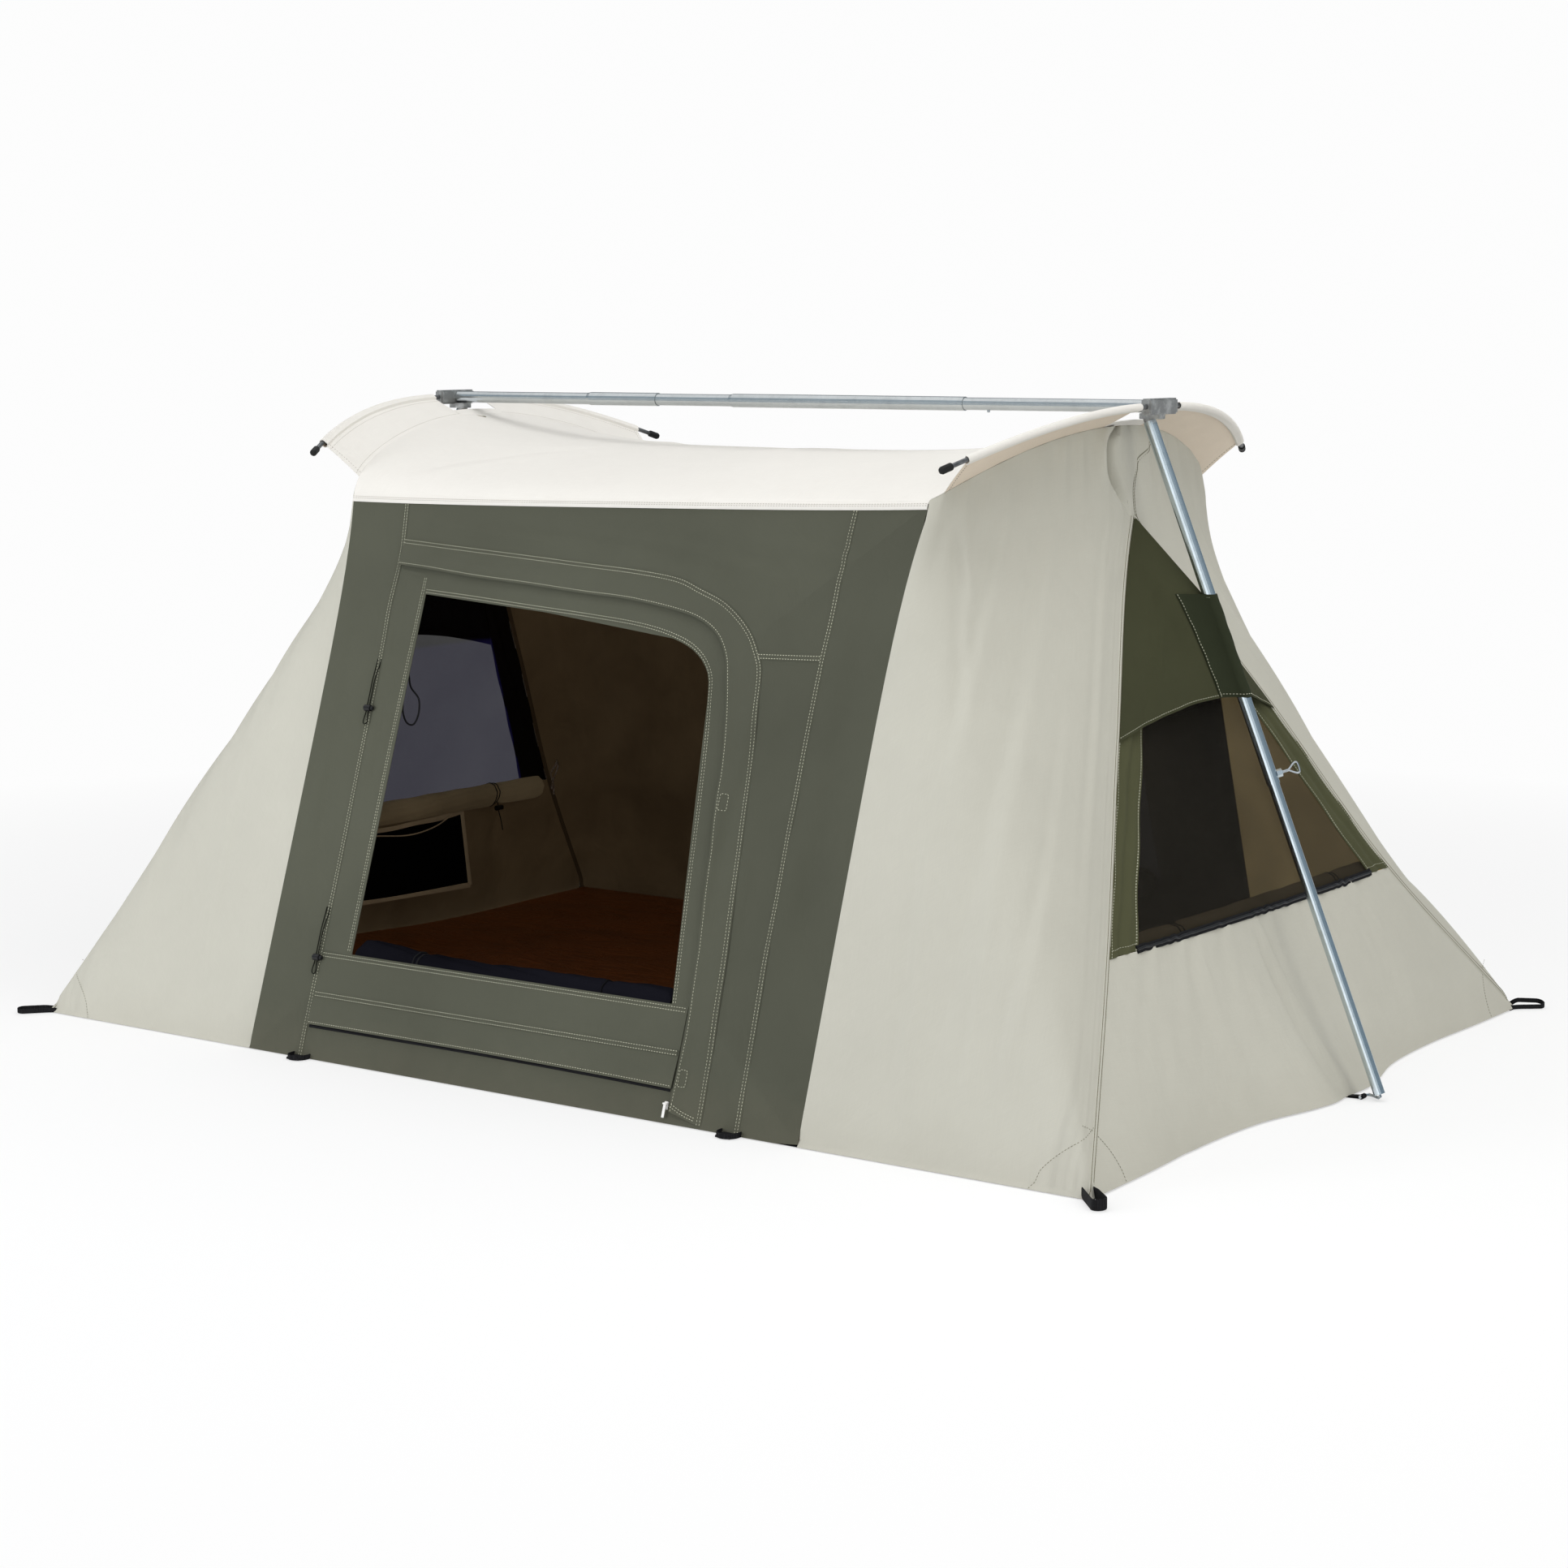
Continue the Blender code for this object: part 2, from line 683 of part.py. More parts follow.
def window_border(sign):
    """Cloth strips up both seams that meet over the screen."""
    shape = bmesh.new()
    heights = set(round(z, 6) for z in end_heights(SILL_HEIGHT, APEX_HEIGHT))
    heights.add(WINDOW_TOP_HEIGHT)
    for side in (-1, 1):
        grid = []
        for z in sorted(heights, reverse=True):
            if z < SILL_HEIGHT + 1e-5:
                z += SEAM_INSET
            inner = window_inner_y(z) + (GAP / 2 if window_inner_y(z) > 0.0 else 0.0)
            outer = end_surface(0.0, z)
            if corner_seam_y(z) > 0.001:
                outer = end_edge(z, min(inner, corner_seam_y(z) * 0.9), side)
            row = []
            for k in range(4):
                y = side * (inner + (max(inner, abs(outer.y)) - inner) * k / 3)
                point = outer if k == 3 else end_surface(y, z)
                row.append(shape.verts.new((sign * point.x, point.y, point.z)))
            grid.append(row)
        for upper, lower in zip(grid[:-1], grid[1:]):
            for i in range(3):
                shape.faces.new((upper[i], upper[i + 1], lower[i + 1], lower[i]))
    name = "window_border_" + side_name(sign, "left", "right")
    return close_sheet(name, shape, OLIVE, CLOTH, merge=True)


def window_screen(sign):
    rows = []
    top = WINDOW_TOP_HEIGHT - 0.004
    foot = SILL_HEIGHT + SEAM_INSET + CLOTH / 2
    count = 6
    columns = 9
    for j in range(count + 1):
        z = top + (foot - top) * j / count
        reach = max(0.0, window_inner_y(z) - GAP)
        row = []
        for i in range(columns):
            y = reach * (2 * i / (columns - 1) - 1)
            point = end_surface(y, z)
            row.append((sign * point.x, y, z))
        rows.append(row)
    name = "window_screen_" + side_name(sign, "left", "right")
    return sheet(name, rows, SCREEN, MESH_CLOTH)


def roof_canvas():
    """Saddle-shaped top between the two bows, lowest in the middle."""
    rows = []
    half = [corner_point(s, corner_top(s))[1] for s in corner_columns()]
    for y in [-y for y in half] + half[-2::-1]:
        q = y / EAVE_HALF_DEPTH
        seam = bow_seam_point(y)
        row = []
        for i in range(ROOF_COLUMNS):
            p = math.sin(math.pi / 2 * (2 * i / (ROOF_COLUMNS - 1) - 1))
            sag = CREST_SAG * (1 - q * q) + EAVE_SAG * q * q
            x = p * (seam.x - KINK_INSET)
            row.append((x, y, seam.z - sag * (1 - abs(p) ** CREST_SAG_POWER)))
        rows.append(row)
    return sheet("roof_canvas", rows, CREAM, CLOTH)


def rod_point(y, sign=1):
    """Centre of the spring bow at a distance from the middle."""
    straight = BAR_LENGTH / 2
    bend = max(0.0, abs(y) - straight) / (ROD_TIP_Y - straight)
    return Vector((sign * (BAR_X - ROD_TIP_IN * bend ** 2), y,
                   BAR_HEIGHT - ROD_TIP_DROP * bend ** 2))


def looped_strip(name, stations, radius, thickness, look, ring=9, bare=()):
    """Strip of cloth whose outer edge is sewn round a rod.

    Each station is the rod's centre, the strip's path away from it and the rod's direction.
    The spans between stations that bare names have no sleeve, only the strip's far band.
    """
    shape = bmesh.new()
    root = math.asin(thickness / 2 / (radius + thickness))
    angles = [root + (2 * math.pi - 2 * root) * k / (ring - 1) for k in range(ring)]
    sleeved = [j for j in range(len(stations) - 1) if j not in bare]
    rings = []
    for j, (centre, path, along) in enumerate(stations):
        across = path[0] - centre
        across -= along * across.dot(along)
        across.normalize()
        normal = along.cross(across).normalized()
        outer, inner = [], []
        if j in sleeved or j - 1 in sleeved:
            spokes = [across * math.cos(a) + normal * math.sin(a) for a in angles]
            outer = [shape.verts.new(centre + spoke * (radius + thickness)) for spoke in spokes]
            inner = [shape.verts.new(centre + spoke * radius) for spoke in spokes]
        sides = []
        for point, before in zip(path, [centre] + path[:-1]):
            up = along.cross(point - before).normalized() * thickness / 2
            sides.append((point - up, point + up))
        tip = [shape.verts.new(low) for low, _ in sides]
        tip += [shape.verts.new(high) for _, high in reversed(sides)]
        rings.append((outer, tip, inner))
    for j, (first, second) in enumerate(zip(rings[:-1], rings[1:])):
        loops = [(first[0] + first[1], second[0] + second[1]), (first[2], second[2])]
        if j in bare:
            loops = [(first[1], second[1])]
        for loop, next_loop in loops:
            for k in range(len(loop)):
                n = (k + 1) % len(loop)
                # both sides of the strip are split along the same diagonal
                a, b, c, d = loop[k], loop[n], next_loop[n], next_loop[k]
                if k >= len(loop) - 2 and len(loop) != ring:
                    a, b, c, d = b, c, d, a
                shape.faces.new((a, b, c))
                shape.faces.new((a, c, d))
    for j, (outer, tip, inner) in enumerate(rings):
        if (j in sleeved) != (j - 1 in sleeved):
            for k in range(ring - 1):
                shape.faces.new((outer[k], outer[k + 1], inner[k + 1], inner[k]))
            shape.faces.new((outer[-1], tip[0], tip[-1], outer[0]))
            shape.faces.new((outer[0], inner[0], inner[-1], outer[-1]))
        if j in (0, len(rings) - 1):
            for k in range(len(tip) // 2 - 1):
                shape.faces.new((tip[k], tip[k + 1], tip[-k - 2], tip[-k - 1]))
    bmesh.ops.recalc_face_normals(shape, faces=shape.faces)
    mesh = bpy.data.meshes.new(name)
    shape.to_mesh(mesh)
    shape.free()
    return link_object(name, mesh, look)


def bow_wing(sign):
    """Strip from the bow seam out to its sleeve, notched at the ridge bar."""
    stations = []
    start = SLEEVE_START_Y / SLEEVE_END_Y
    steps = 8
    outward = [start + (1.0 - start) * k / steps for k in range(steps + 1)]
    shares = [-share for share in reversed(outward)] + [-start / 2, 0.0, start / 2] + outward
    for share in shares:
        centre = rod_point(SLEEVE_END_Y * share, sign)
        step = 0.004
        ahead = rod_point(SLEEVE_END_Y * share + step, sign)
        behind = rod_point(SLEEVE_END_Y * share - step, sign)
        seam = bow_seam_point(WING_END_Y * share)
        seam = Vector((sign * (seam.x + KINK_INSET), seam.y, seam.z))
        band = seam + (centre - seam) * (WING_BAND / BAR_OUT)
        stations.append((centre, [band, seam], (ahead - behind).normalized()))
    name = "bow_wing_" + side_name(sign, "left", "right")
    notch = range(steps, steps + 4)
    return looped_strip(name, stations, ROD_RADIUS + SLEEVE_ROOM, CLOTH, CREAM, bare=notch)


def floor_sheet():
    rows = []
    count = 24
    depth = BASE_HALF_DEPTH - TAPE_WIDTH - GAP
    for j in range(count + 1):
        y = depth * (2 * j / count - 1)
        reach = BASE_HALF_WIDTH + end_hem_reach(y) - TAPE_WIDTH
        rows.append([(reach * side, y, FLOOR_CLOTH / 2) for side in (-1, 0, 1)])
    return sheet("floor_sheet", rows, VINYL, FLOOR_CLOTH)


def cloth_roll(name, path, toward, radius, look, room=GAP, ridges=5):
    """Rolled cloth that lies along a path on the inner side of a wall.

    The path runs through the middle of the wall's cloth, and toward points at the wall.
    """
    shape = bmesh.new()
    around = 12
    offsets = []
    for j, point in enumerate(path):
        t = j / (len(path) - 1)
        along = (path[min(j + 1, len(path) - 1)] - path[max(j - 1, 0)]).normalized()
        up = toward.cross(along).normalized()
        close = min(1.0, math.sqrt(max(0.0, 1 - abs(2 * t - 1) ** 14)) + 0.25)
        row = []
        for k in range(around):
            a = 2 * math.pi * k / around
            swell = 1.0 - 0.06 * (1 + math.cos(ridges * a + 5.0 * t)) / 2
            row.append((toward * math.cos(a) * 0.8 + up * math.sin(a)) * radius * swell * close)
        offsets.append(row)
    reach = max(offset.dot(toward) for row in offsets for offset in row)
    shift = -toward * (reach + CLOTH / 2 + room)
    rings = [[shape.verts.new(point + shift + offset) for offset in row]
             for point, row in zip(path, offsets)]
    for first, second in zip(rings[:-1], rings[1:]):
        for k in range(around):
            n = (k + 1) % around
            shape.faces.new((first[k], first[n], second[n], second[k]))
    shape.faces.new(rings[0])
    shape.faces.new(rings[-1])
    bmesh.ops.recalc_face_normals(shape, faces=shape.faces)
    mesh = bpy.data.meshes.new(name)
    shape.to_mesh(mesh)
    shape.free()
    part = link_object(name, mesh, look)
    smooth_round(part)
    return part


def door_roll(name, turn):
    """Door cloth rolled up along the sill, inside the tent."""
    z = DOOR_SILL_HEIGHT - 0.01
    low, high = DOOR_LEFT + 0.01, DOOR_RIGHT_FOOT - 0.01
    path = [on_wall(low + (high - low) * k / 8, z, 0.0) for k in range(9)]
    toward = wall_out()
    if turn < 0:
        path = [Vector((-point.x, -point.y, point.z)) for point in path]
        toward = Vector((0.0, -toward.y, toward.z))
    return cloth_roll(name, path, toward, DOOR_ROLL_RADIUS, DARK_CLOTH)


def window_roll(sign):
    """Inner window cover, rolled and tied below the screen."""
    z = SILL_HEIGHT - FLAP_ROLL_RADIUS * 0.6
    path = []
    for k in range(9):
        point = end_surface(WINDOW_ROLL_HALF * (k / 4 - 1), z)
        path.append(Vector((sign * point.x, point.y, z)))
    slope = (end_x(z - 0.01) - end_x(z + 0.01)) / 0.02
    toward = Vector((sign, 0.0, slope)).normalized()
    return cloth_roll("window_roll_" + side_name(sign, "left", "right"), path, toward,
                      FLAP_ROLL_RADIUS, TAN, room=2.5 * GAP)


def rear_screen():
    def place(u, v):
        return Vector((-u, side_y(v), v))

    outline = door_outline(inset=GAP)
    return outlined_sheet("rear_door_screen", [outline], place, SCREEN, MESH_CLOTH)


# Leg geometry: distances run down the leg from its top point

def leg_axis(sign):
    top = Vector((sign * LEG_TOP_X, 0.0, LEG_TOP_HEIGHT))
    foot = Vector((sign * LEG_FOOT_X, 0.0, 0.0))
    return top, (foot - top).normalized(), (foot - top).length


def leg_x(z):
    return LEG_FOOT_X - (LEG_FOOT_X - LEG_TOP_X) * z / LEG_TOP_HEIGHT


def leg_tilt():
    """Cosine of the leg's angle from upright."""
    return math.cos(math.atan2(LEG_FOOT_X - LEG_TOP_X, LEG_TOP_HEIGHT))


def leg_tube_start():
    """Distance down the leg where its tube clears the casting's lug."""
    under = LEG_TOP_HEIGHT - (BAR_HEIGHT - BAR_DEPTH / 2 - LUG_DROP) + GAP
    return (under + TUBE_RADIUS * math.sqrt(1 - leg_tilt() ** 2)) / leg_tilt()


def hood_middle_x(z):
    """Middle of the hood: off the apex, then along the inner side of the leg."""
    back = (TUBE_RADIUS + 2 * GAP + CLOTH / 2) / leg_tilt()
    if z <= POLE_SLEEVE_TOP:
        return leg_x(z) - back
    start = end_x(APEX_HEIGHT) + HOOD_STAND_OFF
    share = (z - POLE_SLEEVE_TOP) / (APEX_HEIGHT - POLE_SLEEVE_TOP)
    low = leg_x(POLE_SLEEVE_TOP) - back
    return low + (start - low) * share


def hood_x(y, z):
    """Surface of the hood at a distance from the middle and a height."""
    edge_x = end_x(z) + HOOD_STAND_OFF
    share = min(1.0, abs(y) / max(corner_seam_y(z), 1e-4))
    middle = hood_middle_x(z)
    return middle + (edge_x - middle) * share


def hood(sign):
    """Awning from the apex down both seams, held out by the leg."""
    rows = []
    count, columns = 8, 13
    top = APEX_HEIGHT - 0.006
    for j in range(count + 1):
        row = []
        for i in range(columns):
            v = 2 * i / (columns - 1) - 1
            hem = POLE_SLEEVE_FOOT + (HOOD_HEM_HEIGHT - POLE_SLEEVE_FOOT) * v * v
            z = top + (hem - top) * j / count
            y = corner_seam_y(z) * v
            row.append((sign * hood_x(y, z), y, z))
        rows.append(row)
    return sheet("hood_" + side_name(sign, "left", "right"), rows, OLIVE, CLOTH)


def pole_sleeve(sign):
    """Band of cloth sewn to the hood at both sides of the leg."""
    radius = TUBE_RADIUS + 2 * GAP + CLOTH / 2 + SLEEVE_SLACK
    lift = HOOD_LAP
    rows = []
    count = 4
    for j in range(count + 1):
        z = POLE_SLEEVE_TOP + (POLE_SLEEVE_FOOT - POLE_SLEEVE_TOP) * j / count
        outline = [(hood_x(y, z) + lift, y) for y in (-POLE_SLEEVE_FRONT, -POLE_SLEEVE_FRONT * 0.72)]
        for k in range(9):
            a = math.radians(-88 + 176 * k / 8)
            outline.append((leg_x(z) + radius * math.cos(a) / leg_tilt(), radius * math.sin(a)))
        outline.append((hood_x(POLE_SLEEVE_REAR, z) + lift, POLE_SLEEVE_REAR))
        rows.append([(sign * x, y, z) for x, y in outline])
    return sheet("pole_sleeve_" + side_name(sign, "left", "right"), rows, OLIVE, CLOTH)


# Poles, castings and rods

def cup_radius():
    """Bore radius of a tube end that takes the next tube."""
    return TUBE_RADIUS + FIT_GAP


def ridge_tubes():
    bore = TUBE_RADIUS - TUBE_WALL
    cup = cup_radius()
    cup_out = cup + TUBE_WALL
    bar_face = BAR_X - BAR_WIDTH / 2 - GAP
    taper = 0.008
    left_cup = RIDGE_JOINT_LEFT - RIDGE_CUP_LEFT
    right_cup = RIDGE_JOINT_RIGHT - RIDGE_CUP_RIGHT
    left = [(TUBE_RADIUS, -bar_face), (TUBE_RADIUS, left_cup - taper), (cup_out, left_cup),
            (cup_out, RIDGE_JOINT_LEFT), (cup, RIDGE_JOINT_LEFT), (cup, left_cup),
            (bore, left_cup - taper), (bore, -bar_face)]
    middle = [(TUBE_RADIUS, left_cup + 0.003), (TUBE_RADIUS, right_cup - taper),
              (cup_out, right_cup), (cup_out, RIDGE_JOINT_RIGHT), (cup, RIDGE_JOINT_RIGHT),
              (cup, right_cup), (bore, right_cup - taper), (bore, left_cup + 0.003)]
    right = tube_profile(TUBE_RADIUS, bore, RIDGE_JOINT_RIGHT - RIDGE_OVERLAP, bar_face)
    place = frame_on_axis((0.0, 0.0, BAR_HEIGHT), (1.0, 0.0, 0.0))
    for name, profile in (("ridge_tube_left", left), ("ridge_tube_middle", middle),
                          ("ridge_tube_right", right)):
        tube = set_in_place(turned(name, profile, STEEL), place)
        if name == "ridge_tube_right":
            drill = solid_bar("drill", STEEL, BUTTON_RADIUS + GAP, 0.0, 0.03, 12)
            set_in_place(drill, frame_on_axis((button_x(), 0.0, BAR_HEIGHT), (0, 0, -1)))
            combine(tube, drill, "DIFFERENCE")
            smooth_round(tube)


def button_x():
    return RIDGE_JOINT_RIGHT + BUTTON_SET_BACK


def ridge_button():
    """Spring button: a domed pin through the tube on a head inside it."""
    bore = TUBE_RADIUS - TUBE_WALL
    head = bore - 0.0022
    reach = TUBE_RADIUS + BUTTON_REACH
    profile = [(0.0, head - 0.0016), (BUTTON_RADIUS + 0.0016, head - 0.0016),
               (BUTTON_RADIUS + 0.0016, head), (BUTTON_RADIUS, head),
               (BUTTON_RADIUS, reach - 0.0014), (BUTTON_RADIUS * 0.72, reach - 0.0004),
               (0.0, reach)]
    button = turned("ridge_button", profile, STEEL, 12)
    spot = (button_x(), 0.0, BAR_HEIGHT)
    set_in_place(button, frame_on_axis(spot, (0, 0, -1)))
    return put_on_axis(button, (button_x(), 0.0, BAR_HEIGHT - TUBE_RADIUS))


def ridge_casting(sign):
    """Bar with blind bores for the bows and spigots for ridge pole and leg."""
    name = "ridge_casting_" + side_name(sign, "left", "right")
    centre = Vector((sign * BAR_X, 0.0, BAR_HEIGHT))
    half = Vector((BAR_WIDTH, BAR_LENGTH, BAR_DEPTH)) / 2
    bar = box(name, CAST, centre - half, centre + half, bevel=0.003)
    spigot = TUBE_RADIUS - TUBE_WALL - FIT_GAP
    ridge = solid_bar("ridge spigot", CAST, spigot, 0.0, BAR_WIDTH / 2 + SPIGOT_LENGTH)
    set_in_place(ridge, frame_on_axis(centre, (-sign, 0, 0)))
    combine(bar, ridge, "UNION")
    under = BAR_HEIGHT - BAR_DEPTH / 2
    xs = sorted((sign * (BAR_X - LUG_REACH), sign * (BAR_X + LUG_BACK)))
    lug = box("lug", CAST, (xs[0], -LUG_HALF_WIDTH, under - LUG_DROP),
              (xs[1], LUG_HALF_WIDTH, BAR_HEIGHT - TUBE_RADIUS - 2 * GAP), bevel=0.0008)
    combine(bar, lug, "UNION")
    top, down, _ = leg_axis(sign)
    leg = solid_bar("leg spigot", CAST, spigot, 0.0, leg_tube_start() + SPIGOT_LENGTH)
    set_in_place(leg, frame_on_axis(top, down))
    combine(bar, leg, "UNION")
    for end in (-1, 1):
        bore = solid_bar("bow bore", CAST, ROD_RADIUS + FIT_GAP, -0.01, ROD_BORE_DEPTH, 16)
        mouth = centre + Vector((0.0, end * BAR_LENGTH / 2, 0.0))
        set_in_place(bore, frame_on_axis(mouth, (0, -end, 0), side=(1, 0, 0)))
        combine(bar, bore, "DIFFERENCE")
    smooth_round(bar, 30)
    return bar


def bow_rod(sign_x, sign_y):
    name = "bow_rod_%s_%s" % (side_name(sign_x, "left", "right"),
                              side_name(sign_y, "front", "rear"))
    start = BAR_LENGTH / 2 - ROD_BORE_DEPTH + 2 * GAP
    marks = [start, BAR_LENGTH / 2]
    steps = 15
    reach = ROD_TIP_Y - CAP_COVER
    marks += [BAR_LENGTH / 2 + (reach - BAR_LENGTH / 2) * k / steps for k in range(1, steps + 1)]
    points = [rod_point(sign_y * y, sign_x) for y in marks]
    points.append(points[-1] + cap_direction(sign_x, sign_y) * CAP_COVER)
    return rod_along(name, points, ROD_RADIUS, SPRING_STEEL, resolution=2)


def cap_direction(sign_x, sign_y):
    reach = ROD_TIP_Y - CAP_COVER
    step = 0.012
    near = rod_point(sign_y * (reach - step), sign_x)
    return (rod_point(sign_y * reach, sign_x) - near).normalized()


def bow_cap(sign_x, sign_y):
    """Rubber cap on the end of a bow."""
    name = "bow_cap_%s_%s" % (side_name(sign_x, "left", "right"),
                              side_name(sign_y, "front", "rear"))
    bore = ROD_RADIUS + FIT_GAP
    tip = CAP_LENGTH
    profile = [(bore, 0.0), (CAP_RADIUS - 0.001, 0.0), (CAP_RADIUS, 0.0015),
               (CAP_RADIUS, tip - 0.005), (CAP_RADIUS * 0.72, tip - 0.0012),
               (CAP_RADIUS * 0.3, tip), (0.0, tip), (0.0, CAP_COVER), (bore, CAP_COVER)]
    cap = turned(name, profile, BLACK_RUBBER, 12)
    mouth = rod_point(sign_y * (ROD_TIP_Y - CAP_COVER), sign_x)
    along = cap_direction(sign_x, sign_y)
    return set_in_place(cap, frame_on_axis(mouth + along * GAP, along, side=(1, 0, 0)))


def screw_direction(sign):
    """Square to the leg, turned towards the front right viewer's right."""
    _, down, _ = leg_axis(sign)
    turn = math.radians(SCREW_TURN)
    across = Vector((sign * math.cos(turn), math.sin(turn), 0.0))
    return (across - down * across.dot(down)).normalized()


def screw_point(sign):
    top, down, _ = leg_axis(sign)
    return top + down * (UPPER_TUBE_END - SCREW_SET_BACK)


def leg_upper(sign):
    """Upper leg tube with the welded nut for the thumbscrew."""
    name = "leg_upper_" + side_name(sign, "left", "right")
    top, down, _ = leg_axis(sign)
    profile = tube_profile(TUBE_RADIUS, TUBE_RADIUS - TUBE_WALL, leg_tube_start(),
                           UPPER_TUBE_END)
    tube = set_in_place(turned(name, profile, STEEL), frame_on_axis(top, down))
    place = frame_on_axis(screw_point(sign), screw_direction(sign), side=down)
    nut = solid_bar("nut", STEEL, NUT_RADIUS, TUBE_RADIUS - 0.0009, TUBE_RADIUS + NUT_HEIGHT, 6)
    combine(tube, set_in_place(nut, place), "UNION")
    hole = solid_bar("screw hole", STEEL, SCREW_RADIUS + FIT_GAP, 0.003, 0.04, 12)
    combine(tube, set_in_place(hole, place), "DIFFERENCE")
    smooth_round(tube)
    return put_on_axis(tube, top)


def leg_foot_distance(sign):
    """Where the lower tube ends, just above the pin that lies on the ground."""
    top, down, length = leg_axis(sign)
    clear = pin_height() + PIN_RADIUS + 2 * GAP
    lift = clear + LOWER_TUBE_RADIUS * math.sqrt(1 - down.z ** 2)
    return length - lift / abs(down.z)


def leg_lower(sign):
    name = "leg_lower_" + side_name(sign, "left", "right")
    top, down, _ = leg_axis(sign)
    profile = tube_profile(LOWER_TUBE_RADIUS, LOWER_TUBE_RADIUS - TUBE_WALL,
                           LOWER_TUBE_START, leg_foot_distance(sign))
    tube = set_in_place(turned(name, profile, STEEL), frame_on_axis(top, down))
    return put_on_axis(tube, top + down * LOWER_TUBE_START)


def thumbscrew(sign):
    """Eye screw: a threaded stem under a closed wire eye."""
    name = "thumbscrew_" + side_name(sign, "left", "right")
    stem_start = LOWER_TUBE_RADIUS + GAP
    stem_end = stem_start + SCREW_LENGTH
    stem = solid_bar(name, STEEL, SCREW_RADIUS, stem_start, stem_end, 12)
    eye_mesh = bpy.data.meshes.new("eye")
    shape = bmesh.new()
    around, along = 6, 14
    rings = []
    for j in range(along):
        a = 2 * math.pi * j / along
        out = Vector((math.cos(a), 0.0, math.sin(a)))
        row = []
        for k in range(around):
            b = 2 * math.pi * k / around
            wide = EYE_RADIUS + EYE_WIRE * math.cos(b)
            row.append(shape.verts.new(out * wide + Vector((0, EYE_WIRE * math.sin(b), 0))))
        rings.append(row)
    for j in range(along):
        following = rings[(j + 1) % along]
        for k in range(around):
            n = (k + 1) % around
            shape.faces.new((rings[j][k], rings[j][n], following[n], following[k]))
    bmesh.ops.recalc_face_normals(shape, faces=shape.faces)
    shape.transform(Matrix.Translation((0, 0, stem_end + EYE_RADIUS - EYE_WIRE * 0.4)))
    shape.to_mesh(eye_mesh)
    shape.free()
    eye = link_object("eye", eye_mesh, STEEL)
    combine(stem, eye, "UNION")
    place = frame_on_axis(screw_point(sign), screw_direction(sign), side=leg_axis(sign)[1])
    smooth_round(stem)
    set_in_place(stem, place)
    return put_on_axis(stem, screw_point(sign))


def pin_height():
    """Centre height of the foot pin, lying on its strap."""
    return STRAP_CLOTH + PIN_RADIUS + 2 * GAP


def foot_pin(sign):
    """Bent wire pin: a bar held in the strap and an end up inside the leg."""
    name = "foot_pin_" + side_name(sign, "left", "right")
    top, down, length = leg_axis(sign)
    z = pin_height()
    bottom = top + down * (length - z / abs(down.z))
    rise = bottom - down * PIN_RISE
    route = [Vector((sign * PIN_BAR_X, -PIN_BAR_HALF, z)),
             Vector((sign * PIN_BAR_X, PIN_BAR_HALF * 0.55, z)),
             Vector((sign * (PIN_BAR_X + 0.004), PIN_BAR_HALF * 0.95, z)),
             Vector((sign * (PIN_BAR_X + 0.012), PIN_BAR_HALF * 0.8, z)),
             bottom - Vector((sign * 0.006, 0.0, 0.0)) + Vector((0, 0.0015, 0)),
             bottom - down * 0.004, rise]
    return rod_along(name, route, PIN_RADIUS, STEEL, resolution=2)


def foot_strap(sign):
    """Webbing from the end hem, sewn round the bar of the foot pin."""
    name = "foot_strap_" + side_name(sign, "left", "right")
    radius = PIN_RADIUS + 2 * GAP
    z = pin_height()
    stations = []
    for share in (-1.0, 1.0):
        y = share * STRAP_WIDTH / 2 - 0.004
        centre = Vector((sign * PIN_BAR_X, y, z))
        hem = BASE_HALF_WIDTH + END_TAB_REACH
        path = [Vector((sign * x, y, STRAP_CLOTH / 2)) for x in
                (hem + 0.003, hem - TAPE_WIDTH + GAP)]
        stations.append((centre, path, Vector((0, 1, 0))))
    return looped_strip(name, stations, radius, STRAP_CLOTH, BLACK_WEB)


# Webbing under the long hems with its stake loops

def ring_plate(name, centre, reach, radius, direction):
    """Flat tab that ends in a half round, with a hole for a stake."""
    direction = Vector((direction[0], direction[1])).normalized()
    across = Vector((-direction.y, direction.x))
    tip = Vector(centre) + direction * (reach - radius)
    outline = [Vector(centre) - across * radius - direction * 0.012]
    for k in range(9):
        a = math.pi * (k / 8 - 0.5)
        outline.append(tip + direction * radius * math.cos(a) + across * radius * math.sin(a))
    outline.append(Vector(centre) + across * radius - direction * 0.012)
    shape = bmesh.new()
    low = [shape.verts.new((p.x, p.y, 0.0)) for p in outline]
    high = [shape.verts.new((p.x, p.y, WEBBING)) for p in outline]
    shape.faces.new(low)
    shape.faces.new(high)
    for i in range(len(low)):
        n = (i + 1) % len(low)
        shape.faces.new((low[i], low[n], high[n], high[i]))
    bmesh.ops.recalc_face_normals(shape, faces=shape.faces)
    mesh = bpy.data.meshes.new(name)
    shape.to_mesh(mesh)
    shape.free()
    return link_object(name, mesh, BLACK_WEB), tip


